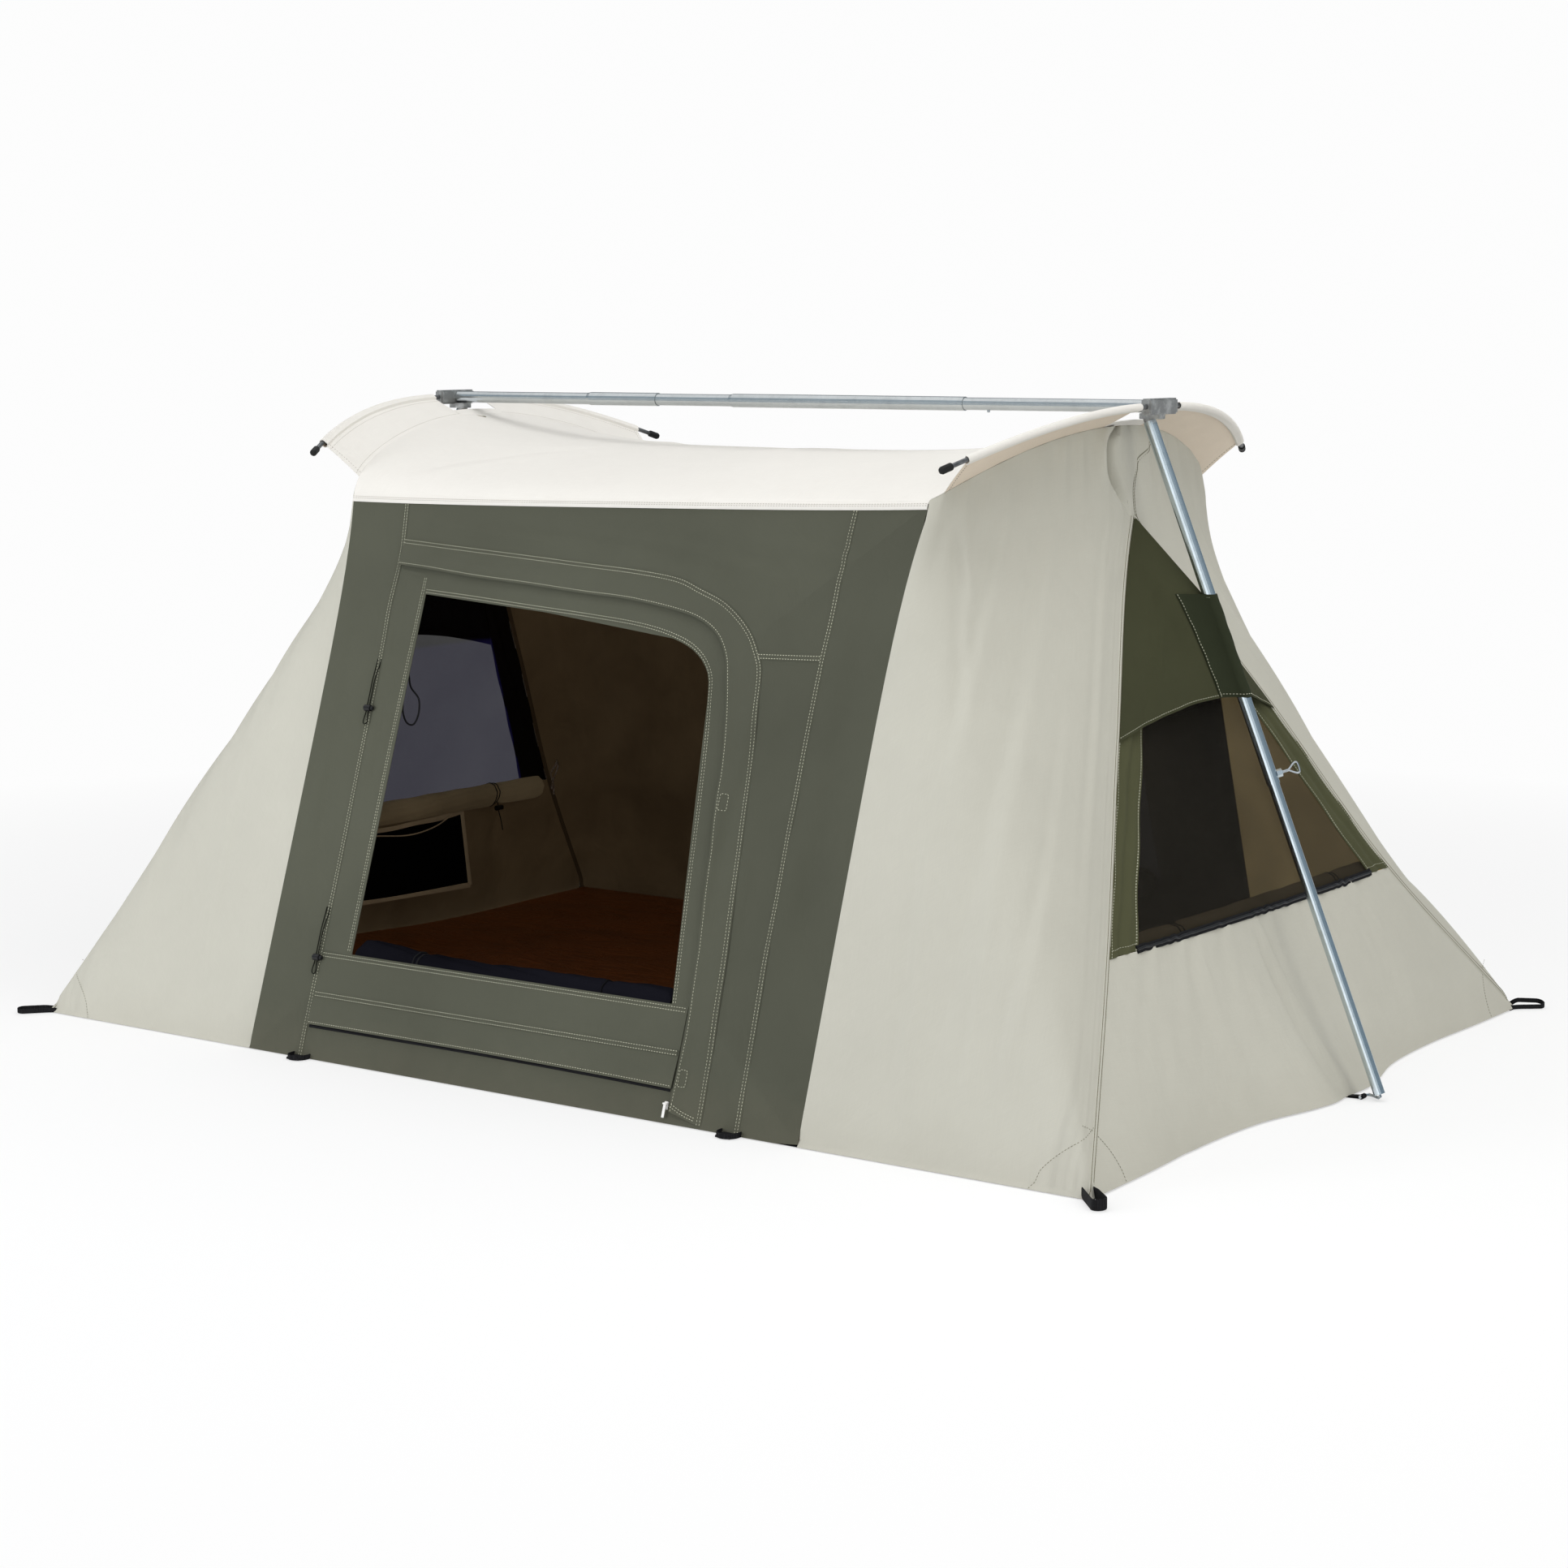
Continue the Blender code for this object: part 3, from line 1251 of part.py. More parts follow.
def stake_webbing(sign_y):
    name = "stake_webbing_" + side_name(sign_y, "front", "rear")
    outer = BASE_HALF_DEPTH
    inner = BASE_HALF_DEPTH - TAPE_WIDTH
    ys = sorted((sign_y * outer, sign_y * inner))
    half = BASE_HALF_WIDTH - 0.002
    tape = box(name, BLACK_WEB, (-half, ys[0], 0.0), (half, ys[1], WEBBING))
    edge = sign_y * (outer - 0.004)
    loops = [(Vector((x, edge)), TAB_REACH, TAB_RADIUS, (0.0, sign_y)) for x in (-TAB_X, TAB_X)]
    for sign_x in (-1, 1):
        spot = Vector((sign_x * (half - 0.012), sign_y * (outer - 0.012)))
        loops.append((spot, CORNER_LOOP_REACH, CORNER_LOOP_RADIUS, (sign_x, sign_y)))
    for centre, reach, radius, direction in loops:
        plate, tip = ring_plate("tab", centre, reach, radius, direction)
        combine(tape, plate, "UNION")
        hole = solid_bar("stake hole", BLACK_WEB, LOOP_HOLE_RADIUS, -0.01, 0.01, 14)
        set_in_place(hole, Matrix.Translation((tip.x, tip.y, 0.0)))
        combine(tape, hole, "DIFFERENCE")
    return tape


# Tie cords on the left of the door, each with a sprung lock

def wall_up():
    """Direction up the door panel."""
    return Vector((0.0, BASE_HALF_DEPTH - EAVE_HALF_DEPTH, EAVE_HEIGHT)).normalized()


def wall_out():
    up = wall_up()
    return Vector((0.0, -up.z, up.y))


def on_wall(x, z, out):
    """Point at a distance out from the middle of the front door panel."""
    return Vector((x, -side_y(z), z)) + wall_out() * out


def lock_centre(height):
    out = CLOTH / 2 + GAP + LOCK_RADIUS + GAP
    return on_wall(CORD_X, height, out) - wall_up() * CORD_DROP


def tie_cord(name, height):
    """One cord: down through its lock, round a loop and back up to the seam."""
    up, out = wall_up(), wall_out()
    middle = lock_centre(height)
    root = on_wall(CORD_X, height, CLOTH / 2 + GAP + CORD_RADIUS + GAP)
    side = Vector((1.0, 0.0, 0.0))
    half = [root + side * 0.0045, root - up * 0.012 + side * 0.0045 + out * 0.001,
            middle + up * (LOCK_TRAVEL + LOCK_RADIUS + 0.006) + side * CORD_SPREAD,
            middle + up * (LOCK_TRAVEL * 0.5 + LOCK_RADIUS) + side * CORD_SPREAD,
            middle + up * (LOCK_RADIUS + 0.002) + side * CORD_SPREAD,
            middle - up * (LOCK_RADIUS + 0.003) + side * CORD_SPREAD,
            middle - up * (LOCK_RADIUS + 0.010) + side * (CORD_SPREAD + 0.0012)]
    bottom = middle - up * (CORD_TAIL - CORD_TAIL_RADIUS)
    turn = [bottom + side * CORD_TAIL_RADIUS * math.cos(a) + up * CORD_TAIL_RADIUS * math.sin(a)
            for a in [math.radians(-angle) for angle in (-15, 20, 55, 90)]]
    right = half + turn
    left = [point - side * 2 * (point - middle).dot(side) for point in right[:-1]]
    route = right + left[::-1]
    return rod_along(name, smooth_path(route, 2), CORD_RADIUS, CORD_GREEN, resolution=1)


def plunger_bore_floor():
    return CORD_SPREAD + CORD_RADIUS + 2 * GAP + 0.0006


def cord_lock(name, height):
    """Barrel with a slot for two cord strands and a bore for its plunger."""
    middle = lock_centre(height)
    half = LOCK_LENGTH / 2
    profile = [(0.0, -half), (LOCK_RADIUS * 0.8, -half), (LOCK_RADIUS, -half + 0.0015),
               (LOCK_RADIUS, half - 0.001), (LOCK_RADIUS * 0.88, half), (0.0, half)]
    barrel = turned(name, profile, BLACK_PLASTIC, 16)
    set_in_place(barrel, frame_on_axis(middle, (1, 0, 0)))
    place = frame_on_axis(middle, wall_up(), side=(1, 0, 0))
    room = CORD_RADIUS + 2 * GAP
    slot_low = (-room, -CORD_SPREAD - room, -0.02)
    slot_high = (room, CORD_SPREAD + room, 0.02)
    slot = box("slot", BLACK_PLASTIC, slot_low, slot_high, place=place)
    combine(barrel, slot, "DIFFERENCE")
    bore = solid_bar("plunger bore", BLACK_PLASTIC, PLUNGER_RADIUS + GAP, 0.0, 0.02, 14)
    floor = Vector((plunger_bore_floor(), 0, 0))
    set_in_place(bore, frame_on_axis(middle + floor, (1, 0, 0)))
    combine(barrel, bore, "DIFFERENCE")
    smooth_round(barrel)
    return put_on_axis(barrel, middle)


def cord_plunger(name, height):
    middle = lock_centre(height)
    start = plunger_bore_floor() + PLUNGER_TRAVEL + GAP
    end = start + PLUNGER_LENGTH
    profile = [(0.0, start), (PLUNGER_RADIUS, start), (PLUNGER_RADIUS, end - 0.0014),
               (PLUNGER_RADIUS * 0.7, end - 0.0002), (0.0, end)]
    plunger = turned(name, profile, BLACK_PLASTIC, 14)
    set_in_place(plunger, frame_on_axis(middle, (1, 0, 0)))
    return put_on_axis(plunger, middle)


# Zip slider and its pull, in front of the door panel

def slider_centre():
    return on_wall(SLIDER_X, SLIDER_HEIGHT, CLOTH / 2 + GAP + SLIDER_DEPTH / 2)


def bail_centre():
    lift = SLIDER_DEPTH / 2 + PULL_THICKNESS + BAIL_RADIUS + 2 * GAP
    return slider_centre() + wall_out() * lift + wall_up() * SLIDER_LENGTH * 0.18


def slider_frame(centre):
    up, out = wall_up(), wall_out()
    side = Vector((1.0, 0.0, 0.0))
    return Matrix.Translation(centre) @ Matrix((side, up, out)).transposed().to_4x4()


def zip_slider():
    centre = slider_centre()
    half = Vector((SLIDER_WIDTH, SLIDER_LENGTH, SLIDER_DEPTH)) / 2
    body = box("zip_slider", WHITE_PLASTIC, -half, half, bevel=0.001,
               place=slider_frame(centre))
    bail = bail_centre()
    reach = PULL_WIDTH / 2 + 0.0010
    bar = solid_bar("bail", WHITE_PLASTIC, BAIL_RADIUS, -reach, reach, 10)
    combine(body, set_in_place(bar, frame_on_axis(bail, (1, 0, 0))), "UNION")
    lift = (bail - centre).dot(wall_out())
    for end in (-1, 1):
        post_x = end * reach
        low = (post_x - 0.0006, SLIDER_LENGTH * 0.18 - 0.0014, SLIDER_DEPTH / 2 - 0.001)
        high = (post_x + 0.0006, SLIDER_LENGTH * 0.18 + 0.0014, lift + BAIL_RADIUS + 0.0004)
        post = box("post", WHITE_PLASTIC, low, high, place=slider_frame(centre))
        combine(body, post, "UNION")
    return put_on_axis(body, centre)


def zip_pull():
    """Pull tab on the slider's bail, hanging against the cloth."""
    bail = bail_centre()
    width = PULL_WIDTH - 2 * 0.0006
    bore = BAIL_RADIUS + GAP
    knuckle = turned("zip_pull", tube_profile(bore + 0.0010, bore, -width / 2, width / 2),
                     WHITE_PLASTIC, 12)
    set_in_place(knuckle, frame_on_axis(bail, (1, 0, 0)))
    low = (-width / 2, -PULL_LENGTH, -PULL_THICKNESS / 2)
    high = (width / 2, -bore - 0.0004, PULL_THICKNESS / 2)
    tab = box("tab", WHITE_PLASTIC, low, high, place=slider_frame(bail))
    combine(knuckle, tab, "UNION")
    return put_on_axis(knuckle, bail)


def build_tent():
    clear_scene()
    ridge_tubes()
    ridge_button()
    for sign in (-1, 1):
        ridge_casting(sign)
        leg_upper(sign)
        leg_lower(sign)
        thumbscrew(sign)
        foot_pin(sign)
        foot_strap(sign)
        bow_wing(sign)
        end_wall(sign)
        window_border(sign)
        window_screen(sign)
        window_roll(sign)
        hood(sign)
        pole_sleeve(sign)
        stake_webbing(sign)
        for sign_y in (-1, 1):
            bow_rod(sign, sign_y)
            bow_cap(sign, sign_y)
            corner_panel(sign, sign_y)
    roof_canvas()
    floor_sheet()
    door_panel("door_panel_front", 1)
    door_panel("door_panel_rear", -1)
    door_roll("door_roll_front", 1)
    door_roll("door_roll_rear", -1)
    rear_screen()
    for label, height in (("upper", UPPER_CORD_HEIGHT), ("lower", LOWER_CORD_HEIGHT)):
        tie_cord("tie_cord_" + label, height)
        cord_lock("cord_lock_" + label, height)
        cord_plunger("cord_plunger_" + label, height)
    zip_slider()
    zip_pull()


build_tent()
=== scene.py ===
import math

import bpy
import numpy as np
from mathutils import Matrix, Vector


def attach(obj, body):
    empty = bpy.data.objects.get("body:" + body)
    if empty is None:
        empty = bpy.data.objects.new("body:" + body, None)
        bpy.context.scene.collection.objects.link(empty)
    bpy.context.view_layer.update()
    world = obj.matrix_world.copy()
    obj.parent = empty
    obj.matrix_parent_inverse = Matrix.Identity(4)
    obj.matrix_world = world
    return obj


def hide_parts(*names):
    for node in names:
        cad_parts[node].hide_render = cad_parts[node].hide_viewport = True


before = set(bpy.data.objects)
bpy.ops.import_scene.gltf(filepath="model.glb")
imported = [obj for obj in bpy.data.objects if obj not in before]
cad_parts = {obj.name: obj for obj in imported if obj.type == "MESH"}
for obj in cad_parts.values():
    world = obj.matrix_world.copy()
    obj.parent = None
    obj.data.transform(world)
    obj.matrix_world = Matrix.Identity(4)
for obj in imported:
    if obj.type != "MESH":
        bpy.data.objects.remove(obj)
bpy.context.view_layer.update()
print("frame loaded:", len(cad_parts), "nodes")


def linked(name, data):
    piece = bpy.data.objects.new(name, data)
    bpy.context.scene.collection.objects.link(piece)
    return piece


# Camera at the photograph's viewing angle
camera = dict(place=(3.8396, -5.3725, 1.4602), yaw=35.488, pitch=8.322, roll=-0.174, lens=71.665,
              sensor=36.0, farthest=100.0)


def addCamera():
    yaw, pitch, roll = (math.radians(camera[k]) for k in ("yaw", "pitch", "roll"))
    data = bpy.data.cameras.new("camera")
    data.lens, data.sensor_width, data.clip_end = camera["lens"], camera["sensor"], camera["farthest"]
    eye = linked("camera", data)
    eye.matrix_world = (Matrix.Translation(camera["place"]) @ Matrix.Rotation(yaw, 4, "Z")
                        @ Matrix.Rotation(math.pi / 2 - pitch, 4, "X") @ Matrix.Rotation(roll, 4, "Z"))
    bpy.context.scene.camera = eye


addCamera()


# Shader graphs: an operator on a wire adds a Math node

class Wire:
    def __init__(self, graph, socket):
        self.graph = graph
        self.socket = socket

    def math(self, kind, *values):
        return self.graph.add("ShaderNodeMath", {"operation": kind}, *values)

    def __add__(self, other):
        return self.math("ADD", self, other)

    def __sub__(self, other):
        return self.math("SUBTRACT", self, other)

    def __rsub__(self, other):
        return self.math("SUBTRACT", other, self)

    def __mul__(self, other):
        return self.math("MULTIPLY", self, other)

    __radd__ = __add__
    __rmul__ = __mul__

    def __pow__(self, other):
        return self.math("POWER", self, other)

    def clipped(self):
        wire = self + 0.0
        wire.socket.node.use_clamp = True
        return wire

    def most(self, other):
        return self.math("MAXIMUM", self, other)

    def wave(self, length):
        return self.math("SINE", self * (2 * math.pi / length))


class Graph:
    # The node graph of a new material, or of the world
    def __init__(self, owner):
        self.owner = bpy.data.materials.new(owner) if isinstance(owner, str) else owner
        self.owner.use_nodes = True
        self.tree = self.owner.node_tree
        self.tree.nodes.clear()

    def add(self, kind, settings=None, *values, out=0, **named):
        node = self.tree.nodes.new(kind)
        for key, value in (settings or {}).items():
            if key != "stops":
                setattr(node, key, value)
                continue
            ramp = node.color_ramp
            while len(ramp.elements) < len(value):
                ramp.elements.new(0.5)
            for element, (place, color) in zip(ramp.elements, value):
                element.position, element.color = place, (*color, 1.0)
        for key, value in [*enumerate(values), *((k.replace("_", " "), v) for k, v in named.items())]:
            if isinstance(value, Wire):
                self.tree.links.new(value.socket, node.inputs[key])
            elif value is not None:
                node.inputs[key].default_value = value
        return Wire(self, node.outputs[out]) if len(node.outputs) else None

    def place(self, scale=(1, 1, 1), turn=(0, 0, 0), uv=False):
        if uv:
            source = self.add("ShaderNodeUVMap", {"uv_map": "cloth"})
        else:
            source = self.add("ShaderNodeTexCoord", out="Object")
        return self.add("ShaderNodeMapping", None, source, Rotation=turn, Scale=scale)

    def noise(self, where, scale, detail=2.0, rough=0.5, distortion=0.0):
        return self.add("ShaderNodeTexNoise", None, Vector=where, Scale=scale, Detail=detail,
                        Roughness=rough, Distortion=distortion)

    def split(self, where):
        return [self.add("ShaderNodeSeparateXYZ", None, where, out=k) for k in range(3)]

    def spread(self, wire, low, high, new=(0.0, 1.0)):
        return self.add("ShaderNodeMapRange", None, wire, low, high, *new)

    def mix(self, share, a, b):
        a, b = (color if isinstance(color, Wire) else (*color, 1.0) for color in (a, b))
        return self.add("ShaderNodeMix", {"data_type": "RGBA"}, share, *[None] * 5, a, b, out=2)

    def shades(self, wire, low, high, color, first, last):
        # From one shade of a colour to another while the wire goes from low to high
        return self.mix(self.spread(wire, low, high), tint(color, first), tint(color, last))

    def bump(self, height, depth, strength, under=None):
        return self.add("ShaderNodeBump", None, Strength=strength, Distance=depth, Height=height,
                        Normal=under)

    def ray(self, kind):
        return self.add("ShaderNodeLightPath", out="Is %s Ray" % kind)

    def finish(self, **sockets):
        self.add("ShaderNodeOutputMaterial", None, self.add("ShaderNodeBsdfPrincipled", None, **sockets))
        return self.owner


def tint(color, share):
    return tuple(min(1.0, c * share) for c in color)


# Canvas: a duck weave with thick slubs, soft clouding and soil near the ground; any glow is painted light
canvas = dict(slubLength=34.0, soilHeight=0.16, soil=(0.27, 0.225, 0.162))
weaves = dict(canvas=0.0011, screen=0.0024, webbing=0.0032, braid=0.0011)


def canvasLook(name, color, soil=0.10, cloud=0.07, rough=0.86, glow=0.0, sheen=0.10):
    g = Graph(name)
    flat, space = g.place(uv=True), g.place()
    u, v, _ = g.split(flat)
    warp, weft = u.wave(weaves["canvas"]), v.wave(weaves["canvas"])
    slubs = [g.noise(g.place(scale=scale, uv=True), 22.0, 3.0, 0.6)
             for scale in ((1.0, canvas["slubLength"], 1.0), (canvas["slubLength"], 1.0, 1.0))]
    grain = g.noise(flat, 900.0, 2.0, 0.7)
    height = warp * weft * 0.35 + slubs[0] * 0.8 + slubs[1] * 0.8 + grain * 0.5
    patches = g.noise(space, 11.0, 3.0, 0.6)
    low = 1.0 - g.spread(g.split(space)[2] + patches * 0.12, 0.02, canvas["soilHeight"])
    shade = g.shades(g.noise(space, 2.3, 4.0, 0.55), 0.3, 0.7, color, 1.0 - cloud, 1.0 + cloud)
    shade = g.mix(g.spread(slubs[0] + slubs[1], 0.75, 1.25) * 0.18, shade, tint(color, 0.78))
    shade = g.mix((low * soil).clipped(), shade, canvas["soil"])
    wrinkles = g.noise(g.place(scale=(1.0, 1.0, 0.55)), 7.0, 4.0, 0.55, 0.6)
    # Painted light: with glow above zero the emission makes the cloth glow, brighter on some wrinkles, for
    # light coming through the canvas
    return g.finish(Base_Color=shade, Roughness=g.spread(patches, 0.2, 0.8, (rough - 0.05, rough + 0.05)),
                    Emission_Color=g.shades(wrinkles, 0.35, 0.68, color, 0.75, 1.3),
                    Emission_Strength=glow, Specular_IOR_Level=sheen,
                    Normal=g.bump(height, 0.0004, 0.7, g.bump(wrinkles, 0.010, 0.55)))


def screenLook(name, color, cover, paintedDaylight=(0.0, 0.0, 0.0)):
    g = Graph(name)
    u, v, _ = g.split(g.place(uv=True))
    threads = (u.wave(weaves["screen"]) ** 2.0).most(v.wave(weaves["screen"]) ** 2.0)
    space = g.place()
    drape = g.noise(space, 5.0, 3.0, 0.5)
    lit = g.spread(g.split(space)[2] + drape * 0.01, 0.745, 0.735)      # painted daylight glow in the threads, which stops at the hood
    return g.finish(Base_Color=g.shades(drape, 0.3, 0.7, color, 0.88, 1.14), Roughness=0.8,
                    Alpha=(threads * 0.10 + cover + g.spread(drape, 0.3, 0.7, (-0.01, 0.01))).clipped(),
                    Specular_IOR_Level=0.1, Emission_Color=g.mix(lit, (0.0, 0.0, 0.0), paintedDaylight),
                    Emission_Strength=1.0, Normal=g.bump(threads, 0.0003, 0.5))


def floorLook(name, color, glow):
    g = Graph(name)
    space = g.place()
    clouds = g.noise(space, 3.0, 5.0, 0.6, 0.8)
    folds = g.spread(g.noise(g.place(scale=(1.0, 2.2, 1.0)), 6.0, 5.0, 0.62, 1.6), 0.35, 0.62)
    # Painted light: the colour turns lighter along the folds as a painted sheen, and the glow paints light
    # on the whole floor
    lit = g.mix(folds * 0.35, g.shades(clouds, 0.3, 0.7, color, 0.65, 1.25), tint(color, 1.7))
    weave = g.noise(space, 700.0, 2.0, 0.6)
    return g.finish(Base_Color=lit, Roughness=g.spread(clouds, 0.2, 0.8, (0.45, 0.65)),
                    Emission_Color=lit, Emission_Strength=glow,
                    Normal=g.bump(weave, 0.0004, 0.5, g.bump(folds, 0.012, 0.6)))


def webbingLook(name, color):
    g = Graph(name)
    space = g.place(turn=(0.0, 0.0, math.radians(45)))
    x, y, _ = g.split(space)
    ribs = x.wave(weaves["webbing"]) * y.wave(weaves["webbing"])
    lint = g.noise(space, 260.0, 3.0, 0.7)
    return g.finish(Base_Color=g.shades(ribs + lint, -0.2, 1.2, color, 0.7, 1.8), Roughness=0.72,
                    Specular_IOR_Level=0.08, Normal=g.bump(ribs + lint * 0.6, 0.0006, 0.8))


def steelLook(name, color, streak=(1.0, 1.0, 1.0), turn=0.0, grit=1.0):
    # Hot-dip zinc on drawn tube: fine lines along the tube, faint spangle and dull stains
    g = Graph(name)
    along, space = g.place(scale=streak, turn=(0.0, turn, 0.0)), g.place()
    lines = g.noise(along, 60.0, 4.0, 0.7)
    fine = g.noise(along, 260.0, 3.0, 0.7)
    cells = g.add("ShaderNodeTexVoronoi", None, Vector=space, Scale=120.0, out=1)
    patch = g.add("ShaderNodeSeparateColor", None, cells)
    stain = g.noise(space, 18.0, 4.0, 0.65)
    shade = g.shades(lines + patch * 0.12, 0.35, 0.8, color, 1.0 + 0.12 * grit, 1.0 - 0.22 * grit)
    shade = g.mix(g.spread(stain, 0.52, 0.8) * 0.35, shade, tint(color, 0.6))
    rough = g.spread(lines * 0.6 + stain * 0.4, 0.3, 0.75, (0.18, 0.30))
    return g.finish(Base_Color=shade, Metallic=1.0, Roughness=rough,
                    Normal=g.bump(fine * 0.6 + lines, 0.0006, 0.30 * grit))


def castLook(name, color):
    g = Graph(name)
    space = g.place()
    grain = g.noise(space, 520.0, 3.0, 0.7)
    pits = g.noise(space, 130.0, 2.0, 0.5)
    return g.finish(Base_Color=g.shades(g.noise(space, 34.0, 4.0, 0.7), 0.45, 0.62, color, 0.72, 1.15),
                    Metallic=0.9, Roughness=g.spread(grain, 0.3, 0.7, (0.38, 0.62)),
                    Normal=g.bump(grain + pits * 1.4, 0.0005, 0.7))


def mouldedLook(name, color, rough, metal=0.0, spread=0.35):
    g = Graph(name)
    space = g.place()
    grain = g.noise(space, 900.0, 2.0, 0.6)
    worn = g.noise(space, 60.0, 4.0, 0.65)
    return g.finish(Base_Color=g.shades(worn, 0.35, 0.75, color, 1.0 - spread, 1.0 + spread),
                    Metallic=metal, Specular_IOR_Level=0.3,
                    Roughness=g.spread(worn, 0.2, 0.8, (rough - 0.1, rough + 0.1)),
                    Normal=g.bump(grain, 0.0002, 0.4))


def cordLook(name, color, fleck):
    g = Graph(name)
    space = g.place()
    x, _, z = g.split(space)
    braid = (x + z).wave(weaves["braid"]) * (z - x).wave(weaves["braid"])
    lint = g.noise(space, 800.0, 2.0, 0.7)
    return g.finish(Base_Color=g.mix(g.spread(braid + lint, 0.3, 1.3), color, fleck), Roughness=0.8,
                    Specular_IOR_Level=0.15, Normal=g.bump(braid, 0.0003, 0.8))


def threadLook(name, color):
    g = Graph(name)
    space = g.place()
    twist = g.spread(g.noise(space, 1500.0, 1.0, 0.5), 0.3, 0.7)
    shade = g.shades(g.noise(space, 9.0, 2.0), 0.3, 0.7, color, 0.85, 1.12)
    return g.finish(Base_Color=g.mix(twist * 0.3, shade, tint(color, 0.6)), Roughness=0.7)


looks = dict(
    cream=canvasLook("cream canvas", (0.755, 0.733, 0.690), soil=0.0, cloud=0.02),
    # underside of the wings: a darker, warmer copy of the cream, painted shade with a painted warm bounce
    # light
    creamUnderPaintedShade=canvasLook("cream canvas underside", (0.73, 0.638, 0.527), soil=0.0, cloud=0.03),
    tan=canvasLook("tan canvas", (0.512, 0.503, 0.440), cloud=0.04),
    # dark strips beside seam stitches: painted crease shade
    tanCreaseShade=canvasLook("tan canvas, pressed in", (0.20, 0.19, 0.14), soil=0.0),
    # inner faces: a darker, warmer brown than the outer canvas as painted shade, with a faint painted glow
    # for light through the cloth
    inside=canvasLook("canvas inner face", (0.19, 0.135, 0.072), soil=0.3, cloud=0.22, glow=0.055),
    green=canvasLook("green canvas", (0.085, 0.088, 0.066), cloud=0.09),
    # inner faces of the green, border, hood and sleeve cloth: a near-black copy, painted shade
    greenInnerPaintedShade=canvasLook("green canvas inner face", (0.012, 0.010, 0.009), cloud=0.10),
    olive=canvasLook("olive canvas", (0.047, 0.049, 0.026), cloud=0.14),
    sleeve=canvasLook("dark olive canvas", (0.026, 0.031, 0.017), cloud=0.08),
    border=canvasLook("window border canvas", (0.075, 0.077, 0.040), cloud=0.12),
    # a lit copy of the inner face: its strong glow is painted sunlight
    insideLit=canvasLook("canvas inner face, sunlit", (0.23, 0.175, 0.085), soil=0.3, cloud=0.25,
                         glow=0.95),
    dark=canvasLook("dark roll cloth", (0.007, 0.007, 0.010), soil=0.0, cloud=0.3, rough=0.9,
                    sheen=0.0),
    # the rolled cover and the pocket binding inside the tent: their glow is painted light
    roll=canvasLook("window cover canvas", (0.23, 0.175, 0.10), soil=0.0, cloud=0.2, glow=0.10),
    binding=canvasLook("tan binding", (0.24, 0.18, 0.11), soil=0.0, cloud=0.1, glow=0.12),
    screenLeft=screenLook("window mesh left", (0.012, 0.012, 0.015), 0.71),
    # the mesh seen from inside: a faint bluish painted daylight glow
    screenLeftInside=screenLook("window mesh left, inside", (0.012, 0.012, 0.018), 0.71,
                                (0.0029, 0.0022, 0.0165)),
    screenRight=screenLook("window mesh right", (0.016, 0.014, 0.010), 0.44),
    rearScreen=screenLook("rear door mesh", (0.035, 0.036, 0.05), 0.84),
    # the vinyl floor sheet, with a faint painted glow
    floor=floorLook("floor vinyl", (0.135, 0.038, 0.008), 0.055),
    # a seam allowance darker than the inner face: painted shade along the inner corners, with a faint
    # painted glow
    innerSeamPaintedShade=canvasLook("inner seam", (0.085, 0.058, 0.032), soil=0.0, glow=0.05),
    webbing=webbingLook("black webbing", (0.010, 0.010, 0.011)),
    ridgeSteel=steelLook("galvanised ridge tube", (0.56, 0.59, 0.60), (0.05, 1.0, 1.0), grit=0.6),
    legSteel=steelLook("galvanised leg tube", (0.62, 0.70, 0.75), (1.0, 1.0, 0.05), math.radians(-22),
                       grit=0.35),
    steel=steelLook("galvanised fitting", (0.50, 0.54, 0.57)),
    castAlloy=castLook("cast alloy", (0.50, 0.50, 0.49)),
    spring=mouldedLook("grey spring steel", (0.16, 0.165, 0.17), 0.34, metal=0.7),
    rubber=mouldedLook("black rubber", (0.008, 0.008, 0.008), 0.55),
    blackPlastic=mouldedLook("black plastic", (0.010, 0.010, 0.011), 0.35),
    pocket=canvasLook("pocket mesh", (0.003, 0.003, 0.003), soil=0.0, cloud=0.3, sheen=0.0),
    whitePlastic=mouldedLook("white plastic", (0.80, 0.79, 0.77), 0.45, spread=0.05),
    whiteRibbon=webbingLook("white ribbon", (0.36, 0.32, 0.29)),
    zipTape=webbingLook("black zip tape", (0.009, 0.009, 0.010)),
    cord=cordLook("tie cord", (0.006, 0.007, 0.005), (0.030, 0.032, 0.022)),
    blackCord=cordLook("black cord", (0.006, 0.006, 0.007), (0.022, 0.022, 0.024)),
    paleThread=threadLook("pale thread", (0.52, 0.52, 0.40)),
    tanThread=threadLook("tan thread", (0.19, 0.175, 0.12)),
    creamThread=threadLook("cream thread", (0.46, 0.43, 0.38)))
print("materials made:", len(looks))

